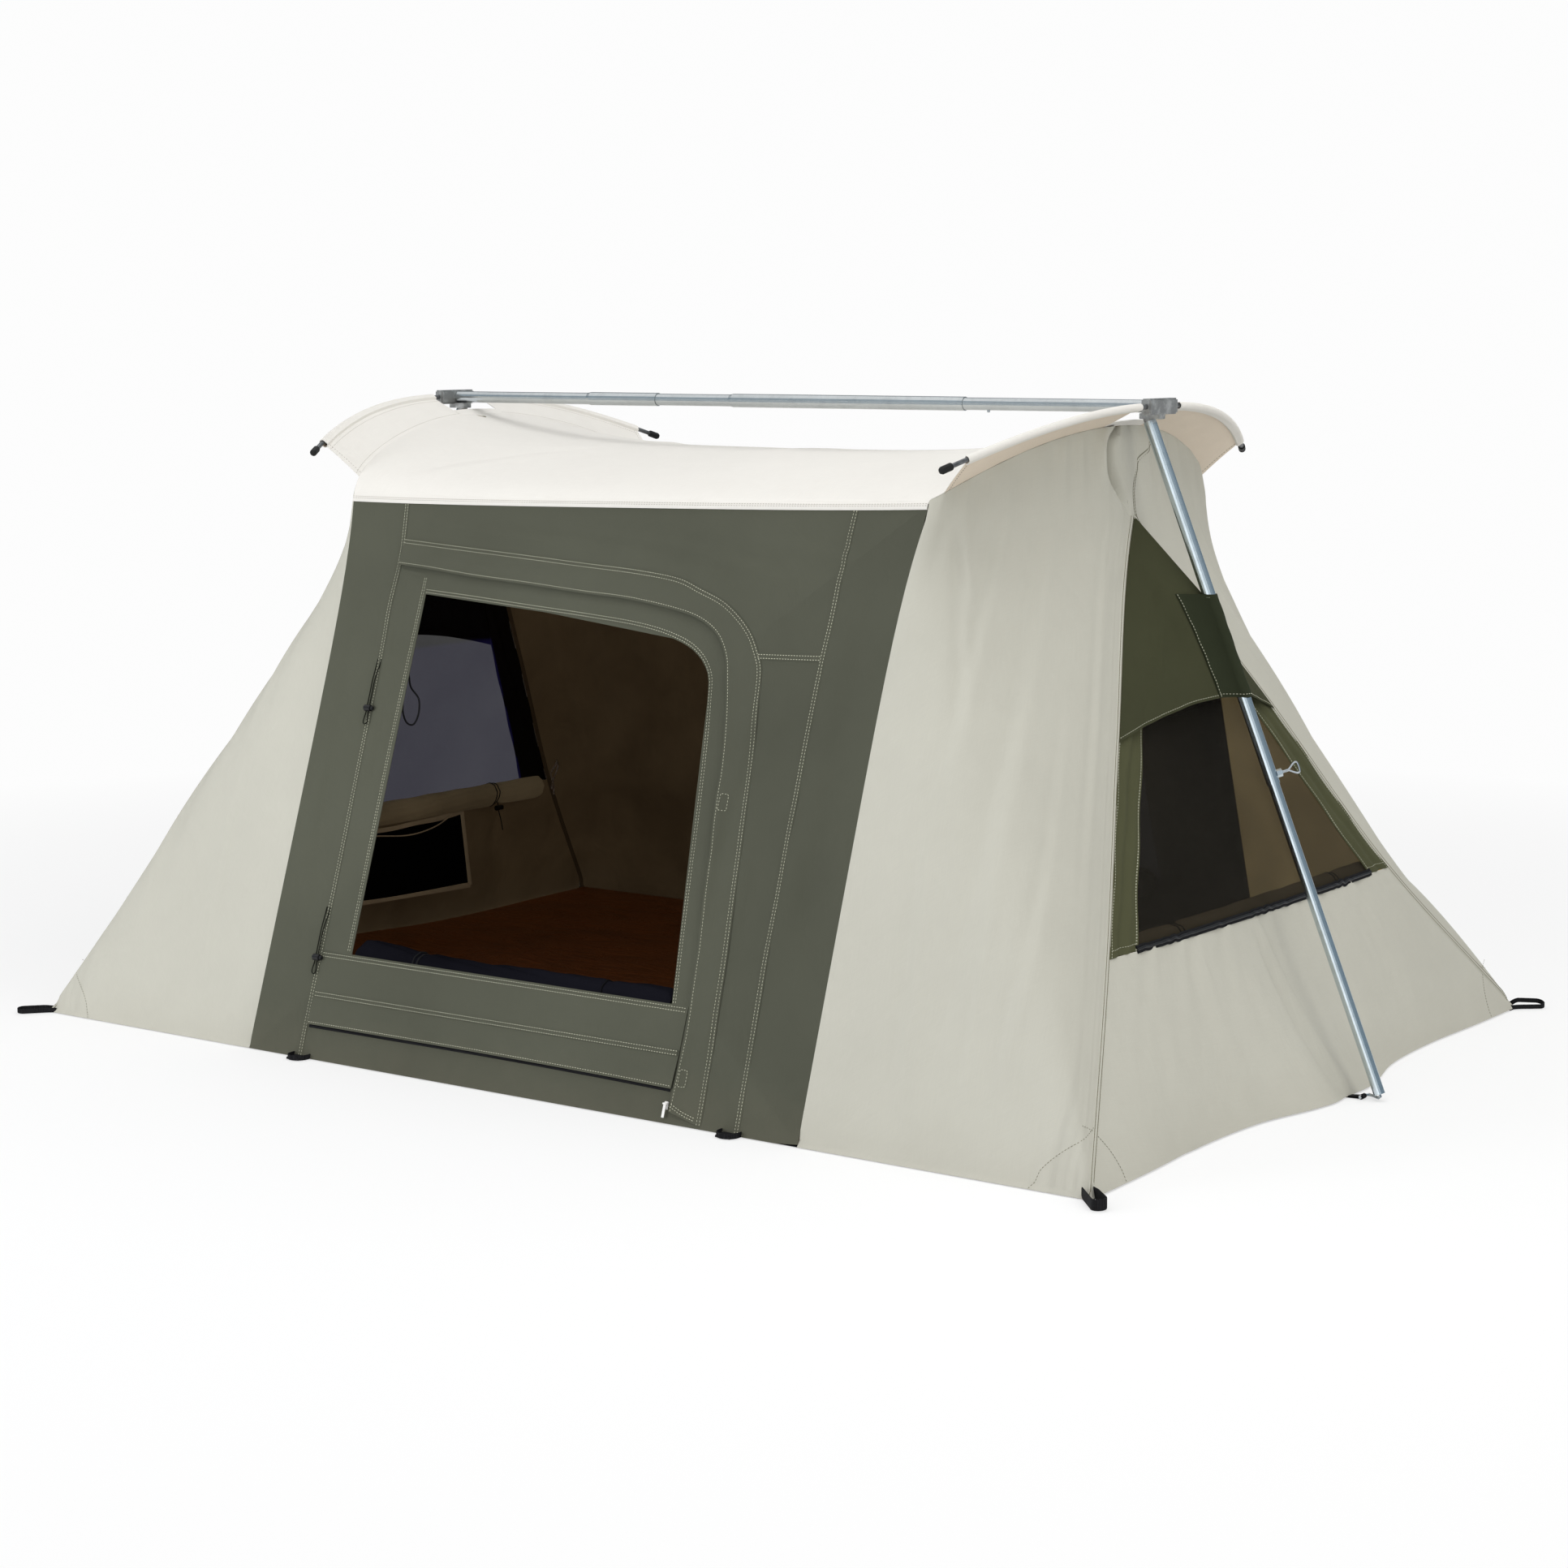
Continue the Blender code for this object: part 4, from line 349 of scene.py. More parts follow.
# Curves of the tent's cloth, the same as those of the solids
tent = dict(baseX=1.2955, baseY=0.9145, eaveY=0.5375, eaveZ=1.11, crestZ=1.27, crestSag=0.063,
            crestPower=3.5, eaveSag=0.005, lowRise=0.002, highRise=0.028, seamFall=0.1271, eaveTurn=20,
            apexZ=1.092, hoodZ=0.694, sillZ=0.342, sillX=1.137, hoodX=1.0, apexX=0.849, crestX=0.825,
            sillSeamY=0.586, hoodSeamY=0.317, doorX=0.688, doorFlare=0.027, bulge=0.014,
            hemFade=0.30, tabReach=0.0455, tabHalf=0.09, hemSag=0.012, hemLift=0.0027,
            topSharpness=1.45,
            front=((0.0, 9.0), (0.3, 6.5), (0.6, 3.5), (0.85, 2.17), (1.05, 1.45)),
            rear=((0.0, 6.3), (0.3, 2.3), (0.6, 1.86), (0.85, 1.59), (1.05, 1.45)))
cloth = dict(thick=0.0016, half=0.0008, mesh=0.0008)


def smoothValue(stations, at):
    knots = [knot for knot, _ in stations]
    values = [value for _, value in stations]
    steps = [(values[i + 1] - values[i]) / (knots[i + 1] - knots[i]) for i in range(len(knots) - 1)]
    slopes = [steps[0]] + [(a + b) / 2 for a, b in zip(steps, steps[1:])] + [steps[-1]]
    at = min(max(at, knots[0]), knots[-1])
    i = min(sum(at > knot for knot in knots[1:]), len(knots) - 2)
    span = knots[i + 1] - knots[i]
    t = (at - knots[i]) / span
    return (values[i] * (1 + 2 * t) * (1 - t) ** 2 + slopes[i] * span * t * (1 - t) ** 2
            + values[i + 1] * t * t * (3 - 2 * t) + slopes[i + 1] * span * t * t * (t - 1))


def endX(z):
    return smoothValue([(0.0, tent["baseX"]), (tent["sillZ"], tent["sillX"]),
                        (tent["hoodZ"], tent["hoodX"]), (tent["apexZ"], tent["apexX"]),
                        (tent["crestZ"], tent["crestX"])], z)


def sideY(z):
    return tent["baseY"] - (tent["baseY"] - tent["eaveY"]) * z / tent["eaveZ"]


def seamY(z):
    if z >= tent["apexZ"]:
        return 0.0
    return smoothValue([(0.0, tent["baseY"]), (tent["sillZ"], tent["sillSeamY"]),
                        (tent["hoodZ"], tent["hoodSeamY"]), (tent["apexZ"], 0.0)], z)


def doorX(z):
    return tent["doorX"] + tent["doorFlare"] * min(z / tent["eaveZ"], 1.0) ** 8


quarterTurn = np.linspace(0.0, math.pi / 2, 240)


def cornerPoint(s, z, rear=False):
    power = 2.0 / float(np.interp(z, *zip(*tent["rear" if rear else "front"])))
    xs = doorX(z) + (endX(z) - doorX(z)) * np.sin(quarterTurn) ** power
    ys = seamY(z) + (sideY(z) - seamY(z)) * np.cos(quarterTurn) ** power
    along = np.concatenate([[0.0], np.cumsum(np.hypot(np.diff(xs), np.diff(ys)))])
    along /= along[-1]
    return float(np.interp(s, along, xs)), float(np.interp(s, along, ys))


def riseAt(p, signY):
    # The eave isn't level: it stands higher at one end of each long side
    return tent["lowRise"] + (tent["highRise"] - tent["lowRise"]) * (1.0 - p * signY) / 2


def roofEdgeZ(y, rise=0.0):
    reach = abs(y) / tent["eaveY"]
    turn = tent["crestZ"] - tent["seamFall"] - tent["eaveZ"] - rise
    return tent["crestZ"] - tent["seamFall"] * reach ** 2 - turn * reach ** tent["eaveTurn"]


def bowSeam(y, rise=0.0):
    z = roofEdgeZ(y, rise)
    reach = min(abs(y) / sideY(z), 1.0)
    power = tent["topSharpness"]
    x = doorX(z) + (endX(z) - doorX(z)) * (1.0 - reach ** power) ** (1.0 / power)
    return np.array((x, y, z))


def cornerTop(s, rise):
    low, high = tent["eaveZ"] - 0.05, tent["crestZ"]
    for _ in range(40):
        middle = (low + high) / 2
        if roofEdgeZ(cornerPoint(s, middle)[1], rise) > middle:
            low = middle
        else:
            high = middle
    return (low + high) / 2


def hemReach(y):
    arc = tent["baseY"] - tent["tabHalf"]
    return smoothValue([(0.0, tent["tabReach"]), (tent["tabHalf"], tent["tabReach"]),
                        (tent["tabHalf"] + arc * 0.24, 0.0),
                        (tent["tabHalf"] + arc * 0.5, -tent["hemSag"]),
                        (tent["tabHalf"] + arc * 0.75, -tent["hemSag"] * 0.35),
                        (tent["baseY"], 0.0)], abs(y))


def endPoint(y, z):
    half = seamY(z)
    if half < 1e-6:
        return np.array((endX(z), y, z))
    if z > tent["sillZ"]:
        rise = (z - tent["sillZ"]) / (tent["apexZ"] - tent["sillZ"])
        belly = tent["bulge"] * (1.0 - rise * rise)
    else:
        belly = tent["bulge"] * z / tent["sillZ"]
    share = max(0.0, 1.0 - (y / half) ** 2)
    fade = max(0.0, 1.0 - z / tent["hemFade"]) ** 2
    return np.array((endX(z) + belly * share + hemReach(y) * fade, y, z))


wallUp = Vector((0.0, tent["baseY"] - tent["eaveY"], tent["eaveZ"])).normalized()
wallOut = Vector((0.0, -wallUp.z, wallUp.y))


def onWall(x, z, out=0.0):
    return np.array((x, -sideY(z) + wallOut.y * out, z + wallOut.z * out))


def bell(value, width):
    return np.exp(-(value / width) ** 2)


def fadeIn(value, width):
    share = np.clip(value / width, 0.0, 1.0)
    return share * share * (3 - 2 * share)


def unit(vectors):
    return vectors / np.linalg.norm(vectors, axis=-1, keepdims=True)


def lengthAlong(line):
    gaps = np.linalg.norm(np.diff(line, axis=0), axis=1)
    return np.concatenate([[0.0], np.cumsum(gaps)])


def grooves(x, y, creases, ahead, behind, narrow):
    # Grooves along straight lines, each with a low ridge beside it
    depth = np.zeros(np.broadcast(x, y).shape)
    for (ax, ay), (bx, by), width, size in creases:
        run = np.array((bx - ax, by - ay))
        length = np.hypot(*run)
        run /= length
        along = (x - ax) * run[0] + (y - ay) * run[1]
        beside = (x - ax) * run[1] - (y - ay) * run[0]
        window = fadeIn(along + 0.02, ahead) * fadeIn(length - along + 0.02, behind)
        depth += size * (bell(beside - width, width) - bell(beside, width * narrow)) * window
    return depth


def hangingFolds(s, t, folds, shift, fades):
    # Folds that run down the cloth; s goes round it and t goes down it
    (early, soft), (late, hard) = fades
    depth = 0.0
    for top, foot, start, stop, width, size in folds:
        line = top + (foot - top) * t
        run = fadeIn(t - start + early, soft) * fadeIn(stop - t + late, hard)
        depth = depth + size * (bell(s - line - width * shift, width) - bell(s - line, width)) * run
    return depth


# Making cloth from grids

def surface(place, across, down):
    return np.array([[place(a, d) for a in across] for d in down])


def cleared():
    bpy.ops.object.select_all(action="DESELECT")


def gridNormals(points):
    across = np.cross(np.gradient(points, axis=1), np.gradient(points, axis=0))
    size = np.linalg.norm(across, axis=2, keepdims=True)
    return across / np.maximum(size, 1e-12)


def clothGrid(name, points, look, inner=None, thick=cloth["thick"], outward=(0.0, 0.0, 0.35),
              merge=False, offset=0.0):
    # A grid is added flat, its corners are laid on the points, and it gets its thickness
    rows, columns = points.shape[:2]
    if float((gridNormals(points) * (points - np.array(outward))).sum()) < 0:
        points = points[:, ::-1]
    cleared()
    bpy.ops.mesh.primitive_grid_add(x_subdivisions=columns - 1, y_subdivisions=rows - 1, size=2)
    piece = bpy.context.object
    piece.name = name
    mesh = piece.data
    mesh.name = name
    mesh.vertices.foreach_set("co", points.reshape(-1))
    wide = np.linalg.norm(np.diff(points, axis=1), axis=2)
    tall = np.linalg.norm(np.diff(points, axis=0), axis=2)
    u = np.concatenate([np.zeros((rows, 1)), np.cumsum(wide, axis=1)], axis=1)
    v = np.concatenate([np.zeros((1, columns)), np.cumsum(tall, axis=0)], axis=0)
    u -= u[:, columns // 2:columns // 2 + 1]
    flat = np.stack([u, v], axis=2).reshape(-1, 2)
    layer = mesh.uv_layers[0]
    layer.name = "cloth"
    corners = np.empty(len(mesh.loops), dtype=np.int32)
    mesh.loops.foreach_get("vertex_index", corners)
    layer.data.foreach_set("uv", flat[corners].reshape(-1))
    mesh.materials.append(looks[look])
    if inner:
        mesh.materials.append(looks[inner])
    mesh.update()
    if merge:
        bpy.ops.object.mode_set(mode="EDIT")
        bpy.ops.mesh.select_all(action="SELECT")
        bpy.ops.mesh.remove_doubles(threshold=1e-5)
        bpy.ops.mesh.dissolve_degenerate(threshold=1e-6)
        bpy.ops.object.mode_set(mode="OBJECT")
    area = sum(face.area for face in piece.data.polygons)
    wall = piece.modifiers.new("thickness", "SOLIDIFY")
    wall.thickness, wall.offset = thick, offset
    if inner:
        wall.material_offset = 1
    bpy.ops.object.modifier_apply(modifier=wall.name)
    bpy.ops.object.shade_smooth_by_angle(angle=math.radians(50))
    piece["area"] = area
    piece["wide"] = float(wide.sum(axis=1).max())
    piece["tall"] = float(tall.sum(axis=0).max())
    return piece


def joined(name, parts):
    cleared()
    for part in parts:
        part.select_set(True)
    bpy.context.view_layer.objects.active = parts[0]
    if len(parts) > 1:
        bpy.ops.object.join()
    parts[0].name = name
    parts[0].data.name = name
    return parts[0]


def settle(piece, nodes=(), body="tent"):
    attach(piece, body)
    if nodes:
        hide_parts(*nodes)
    return piece


def declareCloth(piece, trims=()):
    wide, tall, area = piece["wide"], piece["tall"], piece["area"]
    area = min(area, wide * tall)
    max(area, 0.3001 * wide * tall)
    print("sheet %s: %.3f x %.3f m, %.4f m2" % (piece.name, wide, tall, area))


def stretched(name, points, node, slot, restsOn, *finish, **shape):
    # Taut cloth that is made, put in its place and declared in one go
    declareCloth(settle(clothGrid(name, points, *finish, **shape), [node]))


def mirrored(points, signX, signY):
    return points * np.array((signX, signY, 1.0))


def smoothLine(points, count):
    # Points at even spacing on a smooth curve through a route
    route = [np.asarray(p, dtype=float) for p in points]
    ends = [2 * route[0] - route[1]] + route + [2 * route[-1] - route[-2]]
    fine = []
    for i in range(1, len(ends) - 2):
        a, b, c, d = ends[i - 1:i + 3]
        for k in range(16):
            t = k / 16
            fine.append(0.5 * (2 * b + (c - a) * t + (2 * a - 5 * b + 4 * c - d) * t ** 2
                               + (3 * b - a - 3 * c + d) * t ** 3))
    fine.append(route[-1])
    return evenLine(np.array(fine), count)


def evenLine(fine, count):
    along = lengthAlong(fine)
    at = np.linspace(0.0, along[-1], count)
    return np.stack([np.interp(at, along, fine[:, k]) for k in range(fine.shape[1])], axis=1)


def drawn(name, corners, faces, look):
    mesh = bpy.data.meshes.new(name)
    mesh.from_pydata([tuple(p) for p in corners], [], faces)
    mesh.materials.append(looks[look])
    return linked(name, mesh)


def tubeFaces(count, ring):
    # Quads between rings of corners, and a cap at each end
    faces = [tuple(range(ring))[::-1], tuple(range((count - 1) * ring, count * ring))]
    for start in range(0, (count - 1) * ring, ring):
        for k in range(ring):
            n = (k + 1) % ring
            faces.append((start + k, start + n, start + ring + n, start + ring + k))
    return faces


# Stitches: one small lozenge of thread, repeated along each row of sewing
stitch = dict(pitch=0.0062, length=0.0048, width=0.0016, height=0.0008)
stitchRows = {}


def sew(group, points, normals):
    stitchRows.setdefault(group, []).append((np.asarray(points, float), np.asarray(normals, float)))


def makeStitches(group, name, look):
    corners, faces = [], []
    shape = [(-1, 0, 0), (0, -1, 0), (1, 0, 0), (0, 1, 0), (0, 0, 1), (0, 0, -1)]
    sides = [(0, 1, 4), (1, 2, 4), (2, 3, 4), (3, 0, 4), (1, 0, 5), (2, 1, 5), (3, 2, 5), (0, 3, 5)]
    for points, normals in stitchRows[group]:
        along = lengthAlong(points)
        count = int(along[-1] / stitch["pitch"])
        at = (np.arange(count) + 0.5) * along[-1] / max(count, 1)
        reach = stitch["length"] / 2
        start, stop, out = (np.stack([np.interp(at + shift, along, rows[:, i]) for i in range(3)], axis=1)
                            for shift, rows in ((-reach, points), (reach, points), (0.0, normals)))
        run, out = unit(stop - start), unit(out)
        side = np.cross(out, run)
        first = len(corners)
        beside, above = side * stitch["width"] / 2, out * stitch["height"]
        corners += list(np.stack([(start + stop) / 2 + run * a * reach + beside * b + above * c
                                  for a, b, c in shape], axis=1).reshape(-1, 3))
        faces += [tuple(base + i for i in face) for base in range(first, len(corners), 6) for face in sides]
    return settle(drawn(name, corners, faces, look))


def hangCord(name, route, count, radius, look, nodes=(), **carried):
    points = smoothLine(route, count)
    curve = bpy.data.curves.new(name, "CURVE")
    curve.dimensions = "3D"
    curve.bevel_depth, curve.bevel_resolution, curve.use_fill_caps = radius, 3, True
    spline = curve.splines.new("POLY")
    spline.points.add(len(points) - 1)
    for knot, point in zip(spline.points, points):
        knot.co = (*point, 1.0)
    curve.materials.append(looks[look])
    piece = settle(linked(name, curve), nodes)
    length = lengthAlong(points)[-1]
    print("cord %s: %.3f m" % (name, length))


# Tie cords, each through its lock, hanging on the left seam of the door
ties = dict(x=-0.548, heights=dict(upper=0.787, lower=0.294), radius=0.00125, spread=0.0028,
            drop=0.105, tail=0.034, tailRadius=0.0055, lockRadius=0.0068, travel=0.045,
            gap=0.0003)


def tieRoute(height):
    up, out, side = wallUp, wallOut, Vector((1.0, 0.0, 0.0))
    lockRadius, turn, away = ties["lockRadius"], ties["tailRadius"], side * ties["spread"]
    seamPoint = Vector(onWall(ties["x"], height)) + out * (cloth["half"] + 2 * ties["gap"])
    middle = seamPoint + out * lockRadius - up * ties["drop"]
    root = seamPoint + out * ties["radius"] + side * 0.0045
    half = [root, root - up * 0.012 + out * 0.001]
    for rise in (ties["travel"] + 0.006, ties["travel"] * 0.5, 0.002):
        half.append(middle + up * (rise + lockRadius) + away)
    half += [middle - up * (lockRadius + 0.003) + away,
             middle - up * (lockRadius + 0.010) + away + side * 0.0012]
    bottom = middle - up * (ties["tail"] - turn)
    for angle in (15, -20, -55, -90):
        a = math.radians(angle)
        half.append(bottom + side * turn * math.cos(a) + up * turn * math.sin(a))
    left = [point - side * 2 * (point - middle).dot(side) for point in half[:-1]]
    return [np.array(point) for point in half + left[::-1]]


for label, height in ties["heights"].items():
    hangCord("tie_cord_%s_braid" % label, tieRoute(height), 72, ties["radius"], "cord",
             ["tie_cord_" + label], with_pieces=["cord_lock_" + label, "cord_plunger_" + label])

# Loop of black cord behind the left edge of the front door
doorLoop = dict(radius=0.0019, depth=0.030,
                route=[(-0.490, 0.765), (-0.478, 0.742), (-0.4520, 0.722), (-0.4435, 0.700),
                       (-0.4445, 0.680), (-0.4530, 0.6685), (-0.4700, 0.672), (-0.4850, 0.690),
                       (-0.492, 0.712)])
hangCord("door_loop_cord", [onWall(x, z, -doorLoop["depth"]) for x, z in doorLoop["route"]], 64,
         doorLoop["radius"], "blackCord")
print("cords done")

# Corner panels: tan canvas from the door panel round to the corner seam
corners = dict(columns=150, rows=120, apexFold=0.034, rearFold=0.0034, longFold=0.004, tuck=0.0012,
               hemRows=3, hemTop=0.012, hemFoot=0.0009)
cornerFolds = {
    # share round at the top and foot, share down from and to, width, depth
    (1, -1): [(0.06, 0.90, 0.0, 0.30, 0.022, 0.0050), (0.10, 0.60, 0.0, 0.45, 0.026, 0.0045),
              (0.30, 0.22, 0.0, 0.55, 0.035, 0.0040), (0.52, 0.40, 0.05, 0.9, 0.045, 0.0045),
              (0.70, 0.60, 0.35, 1.0, 0.030, 0.0030), (0.16, 0.30, 0.45, 1.0, 0.030, 0.0030),
              (0.42, 0.52, 0.55, 1.0, 0.022, 0.0022), (0.86, 0.78, 0.10, 0.7, 0.030, 0.0030)],
    (-1, -1): [(0.25, 0.40, 0.0, 0.6, 0.040, 0.0040), (0.55, 0.62, 0.1, 0.95, 0.045, 0.0045),
               (0.35, 0.25, 0.5, 1.0, 0.030, 0.0025), (0.8, 0.85, 0.2, 0.9, 0.035, 0.0030)],
    (1, 1): [(0.35, 0.28, 0.0, 0.7, 0.040, 0.0040), (0.6, 0.5, 0.1, 1.0, 0.045, 0.0045),
             (0.8, 0.7, 0.3, 1.0, 0.035, 0.0030)],
    (-1, 1): [(0.3, 0.35, 0.0, 0.6, 0.040, 0.0040), (0.5, 0.58, 0.2, 1.0, 0.045, 0.0045),
              (0.75, 0.72, 0.2, 0.8, 0.035, 0.0030)]}


def panelFold(s, t, folds, apex):
    # Soft folds that run down the cloth, with the deep one beside the apex
    groove = 0.885 + 0.10 * fadeIn(t - 0.055, 0.085) + 0.09 * fadeIn(0.035 - t, 0.05)
    depth = -apex * bell(s - groove, 0.021) * fadeIn(0.15 - t, 0.09)
    depth += apex * 0.35 * bell(s - groove + 0.060, 0.034) * fadeIn(0.15 - t, 0.10)
    depth -= corners["longFold"] * bell(s - 0.42, 0.07) * np.sin(np.pi * t) ** 2
    depth += hangingFolds(s, t, folds, 0.9, ((0.02, 0.18), (0.02, 0.25)))
    # puckers that hang from the bow
    depth += 0.0030 * np.sin(s * 46 + 2.0 * np.sin(s * 9)) * fadeIn(0.16 - t, 0.14) * fadeIn(t + 0.01, 0.03)
    return depth * fadeIn(s, 0.08) * fadeIn(1.0 - s, 0.05)


def cornerGrid(rear, rise):
    shares = np.linspace(0.0, 1.0, corners["columns"] + 1)
    columns = [(s, cornerTop(s, rise) - tent["hemLift"]) for s in shares]

    def place(column, up):
        z = tent["hemLift"] + column[1] * up
        return (*cornerPoint(column[0], z, rear), z)

    return surface(place, columns, 1.0 - np.linspace(0.0, 1.0, corners["rows"] + 1))


cornerLaid = {}


def cornerName(signX, signY):
    return "%s_%s" % ("right" if signX > 0 else "left", "rear" if signY > 0 else "front")


def cornerPanel(signX, signY):
    base = cornerGrid(signY > 0, riseAt(signX, signY))
    shares = np.linspace(0.0, 1.0, base.shape[1])[None, :]
    drops = np.linspace(0.0, 1.0, base.shape[0])[:, None]
    out = gridNormals(base)
    if out[10, 10].dot((1, 1, 0)) < 0:
        out = -out
    apex, tuck, rows = corners["apexFold" if signY < 0 else "rearFold"], corners["tuck"], corners["hemRows"]
    laid = base + out * panelFold(shares, drops, cornerFolds[(signX, signY)], apex)[..., None]
    laid[0, :, 2] -= tuck
    laid[-rows:, :, 2] = np.linspace(corners["hemTop"], corners["hemFoot"], rows)[:, None]
    laid[-rows:] += out[-rows:] * tuck * np.linspace(0.4, 1.0, rows)[:, None, None]
    cornerLaid[(signX, signY)] = (laid, out)
    name = "corner_panel_" + cornerName(signX, signY)
    # the right rear panel's inner face, seen through the right window, gets painted sunlight
    inner = "insideLit" if (signX, signY) == (1, 1) else "inside"
    stretched(name + "_canvas", mirrored(laid, signX, signY), name, "wall_canvas", ["roof_canvas_cloth"],
              "tan", inner)


# Both ends of the tent, and its four corners
ends = [(-1, "left"), (1, "right")]
quarters = [(signX, signY) for signX in (-1, 1) for signY in (-1, 1)]
for quarter in quarters:
    cornerPanel(*quarter)
print("corner panels done")


def surfaceLine(signX, signY, places):
    # Points and outward directions at shares round and down a corner panel
    laid, out = cornerLaid[(signX, signY)]
    rows, columns = laid.shape[:2]
    points, normals = [], []
    for s, t in places:
        i, j = min(s, 0.9999) * (columns - 1), min(t, 0.9999) * (rows - 1)
        i0, j0, fi, fj = int(i), int(j), i % 1, j % 1
        for grid, store in ((laid, points), (out, normals)):
            store.append((grid[j0, i0] * (1 - fi) + grid[j0, i0 + 1] * fi) * (1 - fj)
                         + (grid[j0 + 1, i0] * (1 - fi) + grid[j0 + 1, i0 + 1] * fi) * fj)
    return [mirrored(np.array(rows), signX, signY) for rows in (points, normals)]


def sideways(line, normals):
    return np.cross(normals, unit(np.gradient(line, axis=0)))


def ribbon(name, line, normals, width, lift, look, sink=0.0006):
    # A folded strip of cloth along a line: rounded section, sunk a little in what carries it
    side, half, soft = unit(sideways(line, normals)), width / 2, width * 0.0875
    section = [(-half, -sink), (-half, lift * 0.6), (soft - half, lift), (0.0, lift * 1.05),
               (half - soft, lift), (half, lift * 0.6), (half, -sink)]
    ring = len(section)
    rings = np.stack([line + side * a + normals * h for a, h in section], axis=1)
    piece = drawn(name, rings.reshape(-1, 3), tubeFaces(len(line), ring), look)
    along = lengthAlong(line)
    layer = piece.data.uv_layers.new(name="cloth")
    for loop in piece.data.loops:
        j, k = divmod(loop.vertex_index, ring)
        layer.data[loop.index].uv = (section[k][0], along[j])
    cleared()
    piece.select_set(True)
    bpy.context.view_layer.objects.active = piece
    bpy.ops.object.mode_set(mode="EDIT")
    bpy.ops.mesh.select_all(action="SELECT")
    bpy.ops.mesh.normals_make_consistent(inside=False)
    bpy.ops.object.mode_set(mode="OBJECT")
    bpy.ops.object.shade_smooth_by_angle(angle=math.radians(60))
    return piece


def creaseShadeLines(line, normals, offsets, lift):
    # Painted shade: dark strips along the creases that rows of stitches pull into the cloth
    side = sideways(line, normals)
    return [ribbon("crease_shade", line + side * offset + normals * lift, normals, 0.0017, 0.0003, "tanCreaseShade")
            for offset in offsets]


def sewBeside(line, normals, offsets, lift):
    side = sideways(line, normals)
    for offset in offsets:
        sew("tan", line + side * offset + normals * lift, normals)


# Corner seams: a felled seam with two rows of stitches, up to the bow
seam = dict(at=0.992, width=0.013, lift=0.0010, inner=0.011, rows=(-0.0036, 0.0036),
            arcRows=(-0.003, 0.003), arcWide=0.205, arcTall=0.081, arcPower=1.45,
            rearArc=[(0.70, 0.004), (0.769, 0.028), (0.86, 0.048), (0.93, 0.071), (0.962, 0.092),
                     (0.976, 0.118), (0.986, 0.145)])
for quarter in quarters:
    name = "corner_seam_" + cornerName(*quarter)
    line, out = surfaceLine(*quarter, [(seam["at"], t) for t in np.linspace(0.140, 0.999, 120)])
    parts = [ribbon(name, line, out, seam["width"], seam["lift"] + 0.0008, "tan")]
    parts += creaseShadeLines(line, out, seam["rows"], seam["lift"] + 0.0008)
    sewBeside(line, out, seam["rows"], seam["lift"] + 0.0012)
    line, out = surfaceLine(*quarter, [(seam["at"], t) for t in np.linspace(0.015, 0.999, 130)])
    # seam allowance along the inner corner; its darker colour is painted shade
    settle(ribbon("inner_" + name, line - out * 0.0012, -out, seam["inner"], 0.0014, "innerSeamPaintedShade"))
    if quarter[1] > 0:
        line, out = surfaceLine(*quarter, smoothLine(seam["rearArc"], 40))
        parts += creaseShadeLines(line, out, seam["arcRows"], 0.0007)
        sewBeside(line, out, seam["arcRows"], 0.0012)
    settle(joined(name, parts))
    # patch at the ground corner
    arc = [(1.0 - seam["arcWide"] * math.sin(a) ** seam["arcPower"],
            1.0 - seam["arcTall"] * math.cos(a) ** seam["arcPower"])
           for a in np.linspace(0.20, math.pi / 2, 25)]
    line, out = surfaceLine(*quarter, arc)
    sew("tan", line + out * 0.0010, out)
print("corner seams done")

# Door panels: base cloth, and the bands sewn round the opening
door = dict(left=-0.462, topRight=0.300, footRight=0.352, sill=0.21, topLeft=0.922,
            topRightZ=0.868, corner=0.11, around=168, rings=30, sliderX=0.385,
            centre=np.array((-0.05, 0.55)))
wallCreases = [
    # from, to, width, depth: light pulls in the door panel
    ((-0.66, 1.02), (-0.60, 0.30), 0.030, 0.0030), ((0.62, 1.00), (0.60, 0.25), 0.028, 0.0035),
    ((0.66, 0.70), (0.52, 0.05), 0.030, 0.0025), ((-0.30, 1.08), (0.25, 1.00), 0.020, 0.0015),
    ((0.45, 0.98), (0.66, 1.06), 0.025, 0.0020), ((0.50, 0.80), (0.48, 0.30), 0.030, 0.0022),
    ((-0.52, 0.90), (-0.50, 0.45), 0.020, 0.0015), ((-0.40, 0.17), (0.20, 0.15), 0.018, 0.0014),
    ((-0.54, 1.085), (-0.12, 1.045), 0.012, 0.0032), ((-0.30, 1.090), (0.14, 1.060), 0.011, 0.0028),
    ((0.10, 1.070), (0.46, 1.000), 0.014, 0.0032), ((0.30, 1.085), (0.66, 1.040), 0.014, 0.0030),
    ((-0.50, 1.005), (-0.10, 0.975), 0.010, 0.0022), ((0.44, 0.80), (0.40, 0.45), 0.016, 0.0025),
    ((0.48, 0.50), (0.46, 0.08), 0.018, 0.0026), ((-0.62, 0.60), (-0.66, 0.12), 0.022, 0.0026),
    ((0.55, 0.62), (0.66, 0.20), 0.022, 0.0026)]


